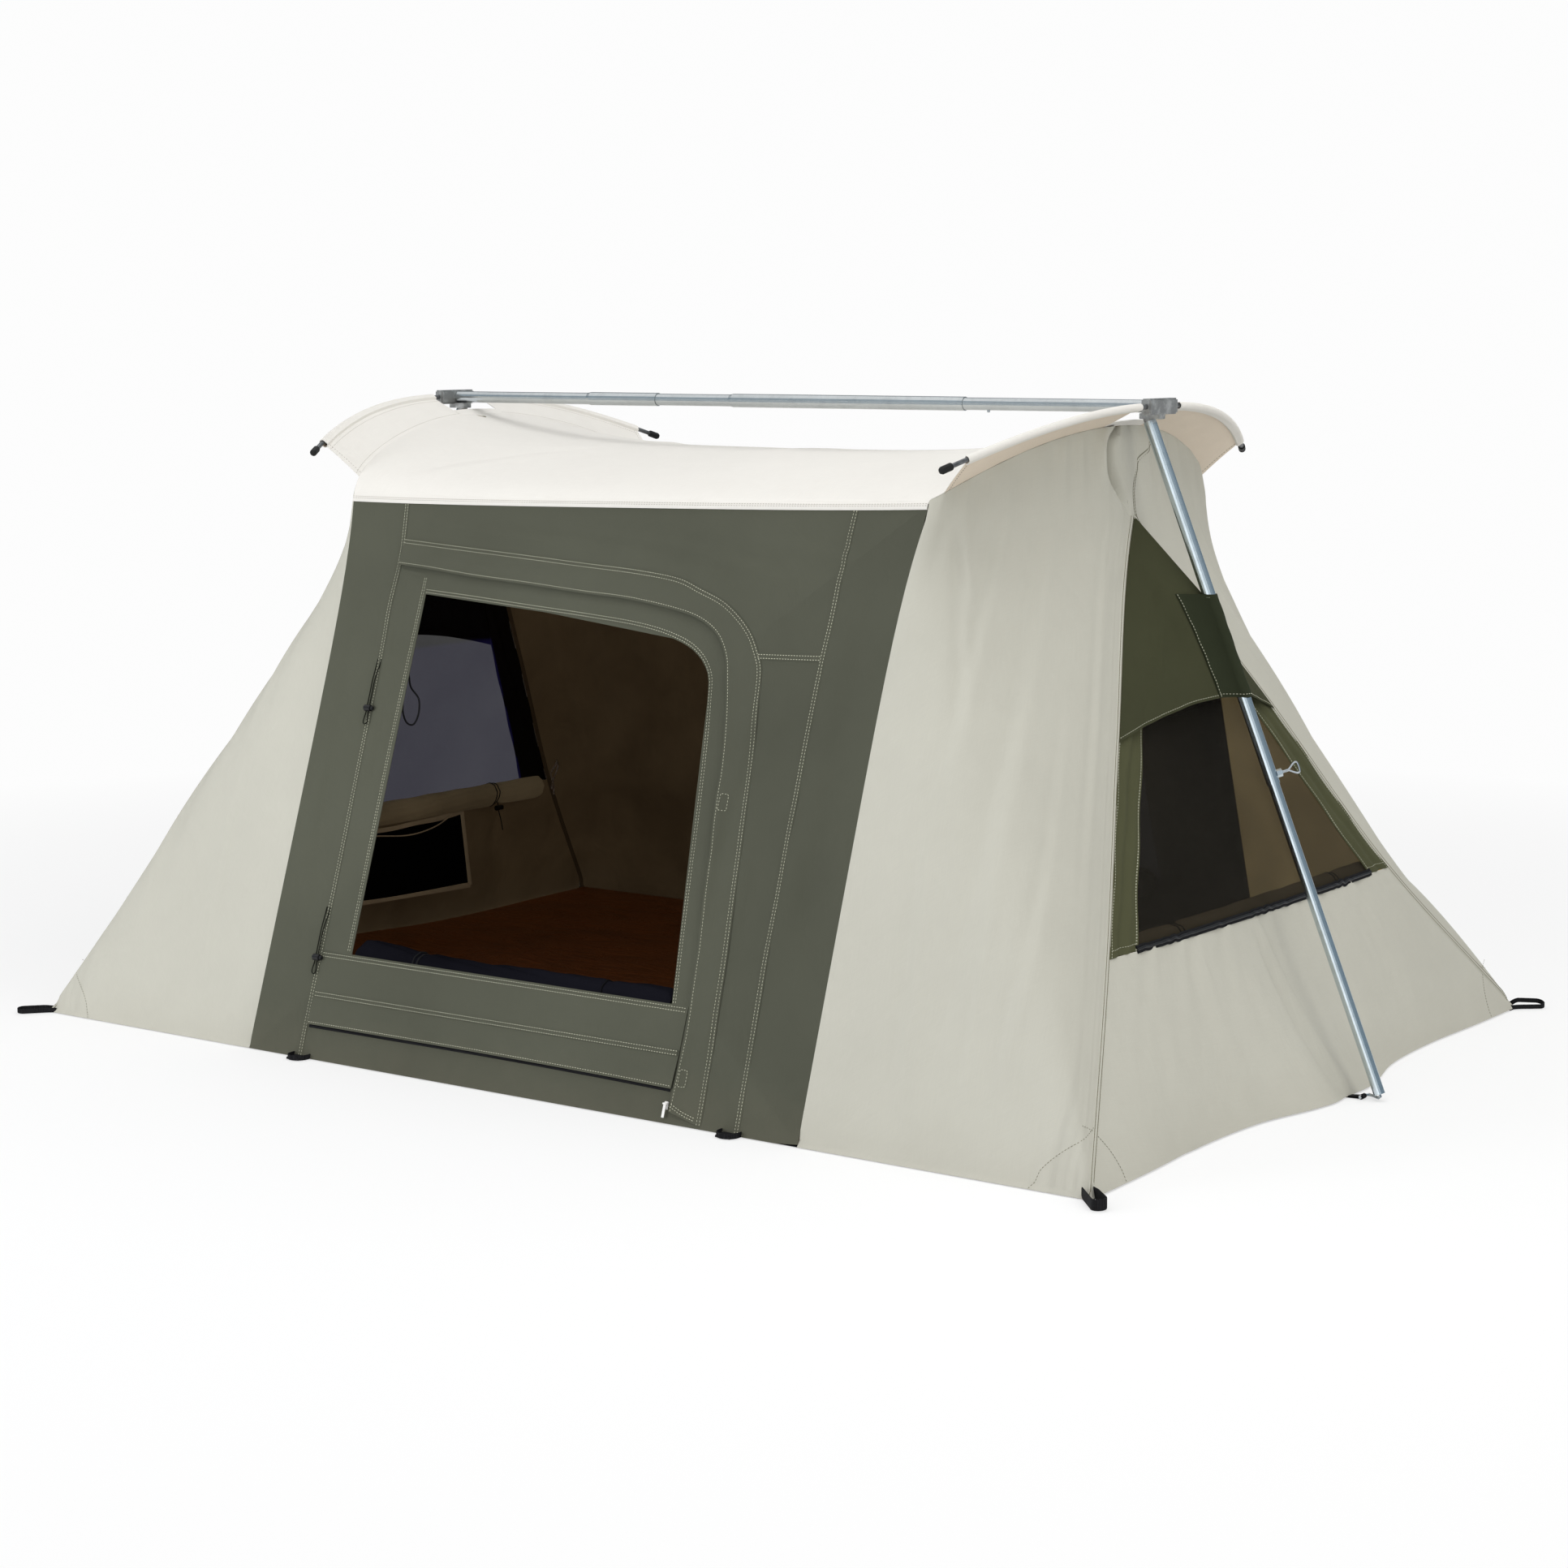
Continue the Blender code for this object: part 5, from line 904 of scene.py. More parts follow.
def wallFold(x, z):
    x, z = np.asarray(x, float), np.asarray(z, float)
    depth = grooves(x, z, wallCreases, 0.10, 0.10, 0.8)
    depth += 0.0012 * np.sin(x * 9.0 + 2.0 * z) * np.sin(z * 7.0 + 1.0)
    edge = fadeIn(0.688 - np.abs(x), 0.07) * fadeIn(z, 0.05) * fadeIn(1.10 - z, 0.06)
    # the cloth stays flat where the zip's slider runs
    track = fadeIn(0.024 - np.abs(x - door["sliderX"]), 0.016) * fadeIn(0.62 - z, 0.06)
    return depth * edge * (1.0 - track)


def flapRise(x, z):
    # The door's flap stands up a little over the slider's run
    inside = fadeIn((0.434 - np.asarray(x, float)) / 0.062 - 0.45, 0.35)
    reach = fadeIn(z - 0.30, 0.06) * fadeIn(0.64 - z, 0.07)
    return (0.0052 + 0.0036 * bell(z - 0.535, 0.04)) * inside * reach


def wallPoints(line, out=0.0):
    line = np.asarray(line, float)
    x, z = line[..., 0], line[..., 1]
    fold = wallFold(x, z) + out
    return np.stack([x, -sideY(z) + wallOut.y * fold, z + wallOut.z * fold], axis=-1)


def doorOutline():
    left, right = door["left"], door["topRight"]
    slope = (door["topRightZ"] - door["topLeft"]) / (right - door["corner"] - left)
    middle = (left + right - door["corner"]) / 2
    points = [(left, door["sill"]), (door["footRight"], door["sill"])]
    for k in range(13):
        a = math.pi / 2 * k / 12
        points.append((right - door["corner"] + door["corner"] * math.cos(a),
                       door["topRightZ"] - door["corner"] + door["corner"] * math.sin(a)))
    points.append((middle, door["topLeft"] + slope * (middle - left) + 0.006))
    points.append((left, door["topLeft"]))
    return points


def crossing(polygon, origin, angle):
    # Where a ray from inside meets a closed outline
    ray = np.array((math.cos(angle), math.sin(angle)))
    for a, b in zip(polygon, polygon[1:] + polygon[:1]):
        a, b = np.array(a) - origin, np.array(b) - origin
        edge = b - a
        cross = ray[0] * edge[1] - ray[1] * edge[0]
        if abs(cross) < 1e-12:
            continue
        reach = (a[0] * edge[1] - a[1] * edge[0]) / cross
        share = (a[0] * ray[1] - a[1] * ray[0]) / cross
        if reach > 0 and -1e-9 <= share <= 1 + 1e-9:
            return origin + ray * reach
    raise ValueError("no crossing")


def doorPanelGrid(inner, outer, centre):
    marks = [math.atan2(p[1] - centre[1], p[0] - centre[0]) for p in inner + outer]
    even = np.linspace(-math.pi, math.pi, door["around"], endpoint=False)
    angles = sorted(set([round(a % (2 * math.pi), 6) for a in list(even) + marks]))
    angles = [a for a, b in zip(angles, angles[1:] + [angles[0] + 2 * math.pi]) if b - a > 0.004]
    angles.append(angles[0] + 2 * math.pi)
    shares = np.linspace(0.0, 1.0, door["rings"] + 1)[:, None, None]
    near, far = (np.array([[crossing(outline, centre, a) for a in angles]]) for outline in (inner, outer))
    return near * (1 - shares) + far * shares


def turned(points, turn):
    return points if turn > 0 else mirrored(points, -1.0, -1.0)


def wallNormals(count, turn):
    return turned(np.array([wallOut] * count, dtype=float), turn)


def doorPanel(name, turn):
    reach, top = doorX(tent["eaveZ"]), tent["eaveZ"] - 0.002
    sides = [[(side * doorX(z), z) for z in np.linspace(tent["hemLift"], top + riseAt(side, -1), 24)]
             for side in (1, -1)]
    eave = [(x, top + riseAt(x / reach, -1) - tent["eaveSag"] * (1 - (x / reach) ** 2))
            for x in np.linspace(reach, -reach, 25)[1:-1]]
    flat = doorPanelGrid(doorOutline(), sides[0] + eave + sides[1][::-1], door["centre"])
    points = wallPoints(flat, 0.0012 * (1.0 - fadeIn(flat[..., 1], 0.02)))
    points[..., 2] = np.where(flat[..., 1] < tent["hemLift"] + 1e-6, 0.0009, points[..., 2])
    piece = clothGrid(name + "_canvas", turned(points, turn), "green", "greenInnerPaintedShade", merge=True,
                      outward=(0.0, 0.0, 0.4))
    piece["wide"], piece["tall"] = 2 * float(doorX(tent["hemLift"])), tent["eaveZ"] / wallUp.z
    return settle(piece, [name])


def layerBand(name, sideA, sideB, lifts, turn, count=90, thick=0.0012):
    # A second layer of cloth on the wall between two lines; lifts go from side A to side B
    a, b = smoothLine(sideA, count), smoothLine(sideB, count)
    shares = np.linspace(0.0, 1.0, 13)[:, None]
    flat = a[None] * (1 - shares[..., None]) + b[None] * shares[..., None]
    rise = cloth["half"] + np.interp(shares, *zip(*lifts))
    if name == "flap":
        rise = rise + flapRise(flat[..., 0], flat[..., 1])
    return clothGrid(name, turned(wallPoints(flat, rise), turn), "green", outward=(0.0, 0.0, 0.4),
                     thick=thick, offset=-1.0)


def wallSew(line, offsets, lift, turn, count=120):
    flat = smoothLine(line, count)
    run = unit(np.gradient(flat, axis=0))
    for offset in offsets:
        beside = flat + np.stack([-run[:, 1], run[:, 0]], axis=1) * offset
        rise = cloth["half"] + lift + (flapRise(beside[:, 0], beside[:, 1]) if line is flapEdge else 0.0)
        sew("green", turned(wallPoints(beside, rise), turn), wallNormals(count, turn))


flapOuter = [(-0.547, 1.025), (-0.411, 1.017), (-0.207, 1.005), (-0.065, 0.996), (0.073, 0.988),
             (0.175, 0.977), (0.233, 0.959), (0.291, 0.939), (0.337, 0.911), (0.370, 0.882),
             (0.393, 0.849), (0.407, 0.819), (0.416, 0.752), (0.424, 0.685), (0.431, 0.612),
             (0.437, 0.539), (0.444, 0.453), (0.450, 0.374), (0.454, 0.289), (0.456, 0.210),
             (0.460, 0.125), (0.464, 0.006)]
flapEdge = [(-0.545, 0.976), (-0.465, 0.971), (-0.338, 0.960), (-0.192, 0.951), (-0.051, 0.941),
            (0.073, 0.934), (0.190, 0.919), (0.252, 0.904), (0.297, 0.879), (0.325, 0.842),
            (0.338, 0.801), (0.353, 0.734), (0.363, 0.667), (0.370, 0.600), (0.380, 0.514),
            (0.384, 0.434), (0.391, 0.348), (0.395, 0.262), (0.400, 0.170), (0.398, 0.104),
            (0.395, 0.022)]
facingEdge = [(-0.462, 0.922), (-0.325, 0.914), (-0.180, 0.904), (-0.038, 0.895), (0.100, 0.884),
              (0.190, 0.868), (0.250, 0.845), (0.288, 0.808), (0.300, 0.758), (0.312, 0.670),
              (0.323, 0.560), (0.333, 0.430), (0.343, 0.310), (0.352, 0.210)]
facingOuter = [(-0.545, 0.985), (-0.325, 0.965), (-0.180, 0.958), (-0.038, 0.948), (0.100, 0.938),
               (0.210, 0.921), (0.285, 0.893), (0.328, 0.850), (0.348, 0.785), (0.366, 0.670),
               (0.376, 0.560), (0.388, 0.430), (0.396, 0.310), (0.402, 0.200)]
longSeams = {
    "left": [(-0.562, 1.107), (-0.549, 0.998), (-0.552, 0.894), (-0.547, 0.793), (-0.547, 0.558),
             (-0.545, 0.300), (-0.545, 0.004)],
    "right": [(0.558, 1.128), (0.552, 1.016), (0.549, 0.915), (0.545, 0.847), (0.543, 0.714),
              (0.544, 0.581), (0.546, 0.417), (0.545, 0.285), (0.546, 0.136), (0.551, 0.004)]}

sillLines = dict(top=[(-0.538, 0.2065), (-0.1, 0.2065), (0.388, 0.2065)],
                 seam=[(-0.536, 0.1255), (-0.1, 0.1255), (0.388, 0.1255)],
                 foot=[(-0.536, 0.0705), (-0.10, 0.0715), (0.20, 0.0695), (0.388, 0.0665)],
                 tab=[(0.398, 0.036), (0.428, 0.025), (0.458, 0.018)],
                 cross=[(0.396, 0.846), (0.47, 0.848), (0.541, 0.850)],
                 strip=[(-0.4665, 0.215), (-0.4685, 0.60), (-0.4655, 0.955)])
squares = dict(places=((0.391, 0.576), (0.414, 0.083)), wide=0.0085, tall=0.015, lift=0.0086, count=60)


def wallRibbon(name, line, width, lift, turn, look="green", count=90, out=cloth["half"]):
    points = turned(wallPoints(smoothLine(line, count), out), turn)
    return ribbon(name, points, wallNormals(count, turn), width, lift, look)


def doorTrim(label, turn):
    parts = [
        layerBand("facing", facingOuter, facingEdge,
                  [(0.0, 0.0), (0.28, 0.0001), (0.40, 0.0012), (0.95, 0.0014), (1.0, 0.0004)], turn),
        layerBand("strip", [(-0.540, 0.970), (-0.540, 0.60), (-0.540, 0.212)],
                  [(-0.470, 0.962), (-0.463, 0.60), (-0.462, 0.206)],
                  [(0.0, 0.0), (0.05, 0.0011), (0.95, 0.0011), (1.0, 0.0)], turn),
        layerBand("flap", flapOuter, flapEdge,
                  [(0.0, 0.0), (0.08, 0.0022), (0.6, 0.0046), (0.93, 0.0078), (1.0, 0.0072)], turn,
                  count=150, thick=0.0022),
        wallRibbon("zip", [(x + 0.0015, z + 0.0015) for x, z in flapEdge], 0.006, 0.0002, turn,
                   "zipTape", 150, 0.0006),
        layerBand("sillBand", [(-0.540, 0.206), (-0.10, 0.209), (0.392, 0.209)],
                  [(-0.538, 0.066), (-0.10, 0.067), (0.20, 0.065), (0.390, 0.062)],
                  [(0.0, 0.0008), (0.08, 0.0014), (0.55, 0.0014), (0.9, 0.0050), (1.0, 0.0064)], turn,
                  thick=0.0018),
        # a black strip in the gap under the sill band's raised foot: painted shadow
        wallRibbon("gap", [(-0.535, 0.063), (-0.10, 0.0645), (0.20, 0.0625), (0.386, 0.0595)], 0.006,
                   0.0012, turn, "zipTape"),
        wallRibbon("sillSeam", sillLines["seam"], 0.013, 0.0030, turn),
        wallRibbon("crossSeam", sillLines["cross"], 0.013, 0.0012, turn, count=20),
        wallRibbon("flapSeam", flapOuter, 0.012, 0.0016, turn, count=150)]
    for side, line in longSeams.items():
        parts.append(wallRibbon("seam_" + side, line, 0.012, 0.0011, turn))
        wallSew(line, (-0.0032, 0.0032), 0.0017, turn)
    for line, offsets, lift, count in (
            (flapOuter, (-0.0036, 0.0030), 0.0022, 200), (flapEdge, (0.0045,), 0.0080, 200),
            (facingEdge, (0.0035, 0.0090), 0.0017, 160),
            (sillLines["strip"], (0.0015, 0.0065), 0.0013, 120),
            (sillLines["top"], (-0.001, -0.0075), 0.0016, 120),
            (sillLines["seam"], (-0.0034, 0.0034), 0.0033, 120), (sillLines["foot"], (0.0,), 0.0062, 120),
            (sillLines["cross"], (-0.0034, 0.0034), 0.0015, 30),
            (sillLines["tab"], (0.0, -0.0050), 0.0088, 24)):
        wallSew(line, offsets, lift, turn, count)
    # stitched outlines of the squares of hook-and-loop tape under the flap
    w, h, count = (squares[key] for key in ("wide", "tall", "count"))
    for x, z in squares["places"]:
        square = np.array([(x - w, z - h), (x + w, z - h), (x + w, z + h), (x - w, z + h), (x - w, z - h)])
        square = evenLine(square, count)
        rise = cloth["half"] + squares["lift"] + flapRise(square[:, 0], square[:, 1])
        sew("green", turned(wallPoints(square, rise), turn), wallNormals(count, turn))
    return settle(joined("door_trim_" + label, parts))


for label, turn in (("front", 1), ("rear", -1)):
    panel = doorPanel("door_panel_" + label, turn)
    trim = doorTrim(label, turn)
    declareCloth(panel, [trim])
print("door panels done")

# Roof: cream canvas, saddle shaped between the bows
roof = dict(columns=130, rows=72)
roofCreases = [
    ((-0.62, -0.50), (-0.33, -0.10), 0.030, 0.0040), ((0.70, -0.40), (0.40, -0.05), 0.035, 0.0035),
    ((-0.55, 0.45), (-0.30, 0.08), 0.035, 0.0035), ((0.62, 0.46), (0.36, 0.12), 0.035, 0.0035),
    ((-0.1, -0.5), (0.05, 0.5), 0.05, 0.0015)]


def roofPoint(p, y):
    q = y / tent["eaveY"]
    edge = bowSeam(y, riseAt(p, 1 if y > 0 else -1))
    y = math.copysign(min(abs(y), sideY(edge[2])), y)
    sag = tent["crestSag"] * (1 - q * q) + tent["eaveSag"] * q * q
    return np.array((p * edge[0], y, edge[2] - sag * (1 - abs(p) ** tent["crestPower"])))


def roofGrid():
    shares = np.sin(np.pi / 2 * np.linspace(-1, 1, roof["columns"] + 1))
    turns = np.linspace(-1, 1, roof["rows"] + 1)
    ys = tent["eaveY"] * np.sin(np.pi / 2 * turns * 0.9) / math.sin(np.pi / 2 * 0.9)
    points = np.array([[roofPoint(p, y) for p in shares] for y in ys])
    x, y = points[..., 0], points[..., 1]
    edge = fadeIn(tent["eaveY"] - np.abs(y), 0.08) * fadeIn(0.80 - np.abs(x), 0.08)
    points[..., 2] += grooves(x, y, roofCreases, 0.15, 0.2, 1.0) * edge
    return points


roofPiece = clothGrid("roof_canvas_cloth", roofGrid(), "cream", "inside", outward=(0, 0, 0))
settle(roofPiece, ["roof_canvas"])

# Hems along the eaves, lapped over the walls
hem = dict(half=0.715, reach=0.7145, count=130, lap=0.004, lift=0.0012, thick=0.0014,
           rows=((-0.001, 0.0030), (0.005, 0.0038), (0.0090, 0.0036), (0.0110, 0.0020)),
           stitches=((0.0005, 0.0040), (0.0042, 0.0040)))
xs = np.linspace(-1, 1, hem["count"]) * hem["reach"]
eave, top = (np.array([roofPoint(x / hem["half"], shift - tent["eaveY"]) for x in xs])
             for shift in (0.0, hem["lap"]))


def hemLine(drop, out):
    return wallPoints(np.stack([xs, eave[:, 2] - drop], axis=1), out)


parts = []
for turn in (1, -1):
    rows = np.array([top + np.array((0.0, 0.0, hem["lift"]))] + [hemLine(*row) for row in hem["rows"]])
    parts.append(clothGrid("hem", turned(rows, turn), "cream", thick=hem["thick"], offset=-1.0,
                           outward=(0, 0, 0.5)))
    for row in hem["stitches"]:
        sew("cream", turned(hemLine(*row), turn), wallNormals(hem["count"], turn))
declareCloth(roofPiece, [settle(joined("roof_hems", parts))])
print("roof done")

# Bows: wings of cream cloth, sewn round the bow rods
bow = dict(barX=0.904, barZ=1.307, straight=0.055, tipY=0.586, tipIn=0.122, tipDrop=0.1035,
           rod=0.00475, room=0.0010, start=0.0765, end=0.537, seamEnd=0.502, band=0.27)


def rodPoint(y):
    bend = max(0.0, abs(y) - bow["straight"]) / (bow["tipY"] - bow["straight"])
    return np.array((bow["barX"] - bow["tipIn"] * bend ** 2, y, bow["barZ"] - bow["tipDrop"] * bend ** 2))


def wingFrame(share, rise=0.0):
    centre = rodPoint(bow["end"] * share)
    along = unit(rodPoint(bow["end"] * share + 0.004) - rodPoint(bow["end"] * share - 0.004))
    edge = bowSeam(bow["seamEnd"] * share, rise)
    across = edge - centre
    across -= along * across.dot(along)
    width = np.linalg.norm(across)
    across /= width
    up = np.cross(along, across)
    return centre, edge, across, up * np.sign(up[2]), width


def wingGrid(side, rise):
    radius = bow["rod"] + bow["room"] + cloth["half"]
    start = bow["start"] / bow["end"]
    rows = []
    for share in np.linspace(start, 1.0, 46):
        centre, edge, across, up, width = wingFrame(side * share, rise)
        lap = min(0.0125, width * 0.45)
        row = [edge + (centre + across * lap - edge) * k / 10 for k in range(11)]
        wave = 0.0012 * math.sin(share * 40)
        for k in range(2, 9):
            row[k] = row[k] + up * wave * math.sin(math.pi * k / 10)
        row.append(centre + across * 0.010 + up * radius * 0.82)
        for k in range(11):
            a = math.radians(70 + 220 * k / 10)
            row.append(centre + across * radius * math.cos(a) + up * radius * math.sin(a))
        row.append(centre + across * 0.010 - up * radius * 0.82)
        row.append(centre + across * lap - up * 0.0014)
        rows.append(row)
    return np.array(rows)


for signX, label in ends:
    parts, flip = [], np.array((signX, 1.0, 1.0))
    for side in (-1, 1):
        grid = wingGrid(side, riseAt(signX, side))
        parts.append(clothGrid("wing", grid * flip, "cream", "creamUnderPaintedShade", thick=0.0013,
                               outward=(0.5 * signX, 0.0, 0.9)))
        ups = gridNormals(grid)[:, 4] * flip
        ups *= np.sign(ups[:, 2:3])
        for k in (1, 9):
            sew("cream", grid[:, k] * flip + ups * 0.0007, ups)
        edge, up = grid[-2, :11] * flip, np.repeat(ups[-2:-1], 11, axis=0)
        sew("cream", edge + up * 0.0007, up)
        sew("tan", edge - up * 0.0008, -up)
    band = []
    for share in np.linspace(-bow["start"] / bow["end"], bow["start"] / bow["end"], 13):
        centre, edge, *_ = wingFrame(share)
        band.append([edge + (centre - edge) * bow["band"] * k / 5 for k in range(6)])
    parts.append(clothGrid("band", np.array(band) * flip, "cream", thick=0.0018, outward=(0, 0, 0)))
    area = sum(part["area"] for part in parts)
    wing = joined("bow_wing_%s_cloth" % label, parts)
    wing["area"], wing["wide"], wing["tall"] = area, 0.130, 1.20
    settle(wing, ["bow_wing_" + label])
    declareCloth(wing)
print("wings done")

# Tent ends: lower wall, window border, mesh, zip, hood with its pole sleeve
end = dict(columns=130, rows=44, slant=(0.93, 0.0, 0.37), windowTop=1.018, windowHalf=0.488,
           folds=[(-0.10, -0.02, 0.0, 1.0, 0.020, 0.0080), (-0.55, -0.35, 0.0, 0.9, 0.035, 0.0045),
                  (-0.80, -0.62, 0.1, 1.0, 0.035, 0.0035), (0.35, 0.22, 0.0, 0.8, 0.030, 0.0035),
                  (0.65, 0.50, 0.1, 0.9, 0.035, 0.0030), (-0.30, -0.12, 0.2, 1.0, 0.030, 0.0030)],
           patch=[(0.880, 0.112), (0.850, 0.096), (0.815, 0.060), (0.795, 0.025), (0.790, 0.004)])


def endWallGrid():
    s = np.linspace(-1, 1, end["columns"] + 1)
    drops = np.linspace(0.0, 1.0, end["rows"] + 1)
    heights = tent["sillZ"] + (tent["hemLift"] - tent["sillZ"]) * drops
    points = np.array([[endPoint(seamY(z) * share, z) for share in s] for z in heights])
    wild = np.sin(s * 41.0) + 0.6 * np.sin(s * 67.0 + 1.3) + 0.5 * np.sin(s * 23.0 + 0.4)
    s, t = s[None, :], drops[:, None]
    depth = 0.0016 * wild * (1 - t) ** 1.6
    depth = depth + hangingFolds(s, t, end["folds"], 1.2, ((0.03, 0.2), (0.05, 0.15)))
    points[..., 0] += depth * fadeIn(1 - np.abs(s), 0.10)
    return points


def windowInner(z):
    return max(0.0, end["windowHalf"] * (end["windowTop"] - z) / (end["windowTop"] - tent["sillZ"]))


def borderGrid(side):
    def place(share, z):
        inner, outer = windowInner(z), seamY(z)
        point = endPoint(side * (inner + (outer - inner) * share), z)
        crease = 0.0030 * math.sin(share * 13 + z * 9) * math.sin(math.pi * share)
        crease += 0.0014 * math.sin(share * 5 - z * 47)
        point[0] += crease * min(1.0, (outer - inner) / 0.09) + 0.0003
        return point

    return surface(place, np.linspace(0, 1, 15), np.linspace(1.0905, tent["sillZ"], 64))


def screenGrid():
    def place(share, z):
        return endPoint((windowInner(z) + 0.004) * share, max(z, 0.3)) - np.array((0.0012, 0, 0))

    return surface(place, np.linspace(-1, 1, 41), np.linspace(1.014, tent["sillZ"] - 0.004, 40))


leg = dict(topX=0.878, footX=1.404, topZ=1.290, radius=0.0127, sleeveTop=0.949, sleeveFoot=0.755,
           sleeveFront=0.042, sleeveRear=0.026, standOff=0.003, lap=0.0038, slack=0.0006, gap=0.0003)
leg["tilt"] = math.cos(math.atan2(leg["footX"] - leg["topX"], leg["topZ"]))


def legX(z):
    return leg["footX"] - (leg["footX"] - leg["topX"]) * z / leg["topZ"]


def hoodMiddle(z):
    back = (leg["radius"] + 2 * leg["gap"] + cloth["half"]) / leg["tilt"]
    if z <= leg["sleeveTop"]:
        return legX(z) - back
    start = endX(tent["apexZ"]) + leg["standOff"]
    share = (z - leg["sleeveTop"]) / (tent["apexZ"] - leg["sleeveTop"])
    low = legX(leg["sleeveTop"]) - back
    return low + (start - low) * share


def hoodX(y, z):
    edge = endX(z) + leg["standOff"]
    share = min(1.0, abs(y) / max(seamY(z), 1e-4))
    return hoodMiddle(z) + (edge - hoodMiddle(z)) * share


def hoodPlace(v, down):
    top = tent["apexZ"] - 0.004
    foot = leg["sleeveFoot"] + (tent["hoodZ"] - leg["sleeveFoot"]) * v * v
    z = top + (foot - top) * down
    y = seamY(z) * v
    # the cloth sinks a little between the leg and the seams
    v = abs(v)
    sag = 0.010 * math.sin(math.pi * v) * math.sin(math.pi * min(1.0, down * 1.2)) ** 0.7
    pull = 0.0020 * math.sin(v * 17 + down * 4.8) * math.sin(math.pi * v) * down
    pull += 0.0035 * bell(v - 0.30 - 0.45 * down, 0.07) * fadeIn(down - 0.1, 0.3)
    pull -= 0.0030 * bell(v - 0.44 - 0.35 * down, 0.06) * fadeIn(down - 0.2, 0.3)
    return hoodX(y, z) + (pull - sag) * fadeIn(abs(y) - 0.046, 0.03), y, z


def sleeveGrid():
    radius = leg["radius"] + 2 * leg["gap"] + cloth["half"] + leg["slack"]
    rows = []
    for z in np.linspace(leg["sleeveTop"], leg["sleeveFoot"], 34):
        outline = [(hoodX(y, z) + leg["lap"], y) for y in (-leg["sleeveFront"], -0.038, -0.034, -0.030)]
        for k in range(17):
            a = math.radians(-88 + 176 * k / 16)
            outline.append((legX(z) + radius * math.cos(a) / leg["tilt"], radius * math.sin(a)))
        outline += [(hoodX(y, z) + leg["lap"], y) for y in (0.0195, 0.023, leg["sleeveRear"])]
        rows.append([(x + 0.0006 * math.sin(z * 130 + y * 300), y, z) for x, y in outline])
    return np.array(rows)


def outwardOn(grid):
    out = gridNormals(grid)
    return out * np.sign(out[..., 0:1])


def sewEnd(group, points, out, lift, signX):
    flip = np.array((signX, 1.0, 1.0))
    sew(group, (points + out * lift) * flip, out * flip)


for signX, label in ends:
    flip = np.array((signX, 1.0, 1.0))
    outside = (0.5 * signX, 0.0, 0.3)
    stretched("end_wall_%s_canvas" % label, endWallGrid() * flip, "end_wall_" + label, "wall_canvas",
              ["corner_panel_%s_front_canvas" % label], "tan", "inside", outward=outside)
    for side in (-1, 1):
        points = np.array([endPoint(side * (y - 0.18 * z), z) + np.array((0.0012, 0, 0.0004))
                           for y, z in smoothLine(end["patch"], 30)])
        sewEnd("tan", points, np.array([end["slant"]] * len(points)), 0.0, signX)
    parts = []
    for side in (-1, 1):
        border = borderGrid(side)
        parts.append(clothGrid("border", border * flip, "border", "greenInnerPaintedShade", outward=outside,
                               merge=True))
        out = outwardOn(border)
        for column, lift in ((1, 0.0011), (13, 0.0013)):
            sewEnd("green", border[6:, column], out[6:, column], lift, signX)
        sewEnd("green", border[-2, 1:14], out[-2, 1:14], 0.0012, signX)
        sewEnd("green", border[6:, 0] + np.array((0.0, side * 0.006, 0.0)), out[6:, 0], 0.0011, signX)
    area = sum(part["area"] for part in parts)
    border = joined("window_border_%s_canvas" % label, parts)
    border["area"], border["wide"], border["tall"] = area, 0.40, 1.0
    settle(border, ["window_border_" + label])
    declareCloth(border)
    stretched("window_mesh_" + label, screenGrid() * flip, "window_screen_" + label, "screen",
              ["window_border_%s_canvas" % label], "screen" + label.capitalize(),
              "screenLeftInside" if signX < 0 else None, thick=cloth["mesh"], outward=outside)
    # zip along the foot of the mesh, puckered
    ys = np.linspace(-0.492, 0.492, 240)
    wander = (bell(np.sin(ys * 23 + 1.2), 0.35) * np.sin(ys * 117)
              + bell(np.sin(ys * 9), 0.4) * np.sin(ys * 205))
    line = np.array([endPoint(y, tent["sillZ"] + 0.003 + 0.0016 * w) for y, w in zip(ys, wander)])
    line[:, 0] += 0.0022 + 0.0010 * wander
    normals = np.array([end["slant"]] * len(ys))
    parts = [ribbon("zip", (line + normals * lift) * flip, normals * flip, width, height, look)
             for lift, width, height, look in ((0.0, 0.015, 0.0014, "zipTape"),
                                               (0.0014, 0.005, 0.0016, "blackPlastic"))]
    settle(joined("window_zip_" + label, parts))
    grid = surface(hoodPlace, np.linspace(-1.0, 1.0, 73), np.linspace(0.0, 1.0, 49))
    hood = clothGrid("hood_%s_canvas" % label, grid * flip, "olive", "greenInnerPaintedShade", outward=outside,
                     merge=True)
    settle(hood, ["hood_" + label])
    sewEnd("green", grid[-1] + (grid[-3] - grid[-1]) * 0.35, outwardOn(grid)[-2], 0.0011, signX)
    grid, middle = sleeveGrid(), np.array((legX(0.85), 0.0, 0.85))
    sleeve = clothGrid("pole_sleeve_%s_canvas" % label, grid * flip, "sleeve", "greenInnerPaintedShade",
                       outward=(middle[0] * signX * 0.97, 0.0, 0.85))
    settle(sleeve, ["pole_sleeve_" + label])
    normal = np.array([(1.0, 0.0, 0.35)] * len(grid)) / 1.06
    for shift in (0.002, 0.0085):
        sewEnd("green", grid[:, 0] + np.array((0.0022, shift, 0.0006)), normal, 0.0, signX)
    for row in (1, -2):
        out = gridNormals(grid)[row]
        away = grid[row] - np.array((middle[0], 0.0, grid[row][0, 2]))
        sewEnd("green", grid[row], out * np.sign((out * away).sum(axis=1))[:, None], 0.0016, signX)
    declareCloth(sleeve)
    declareCloth(hood)
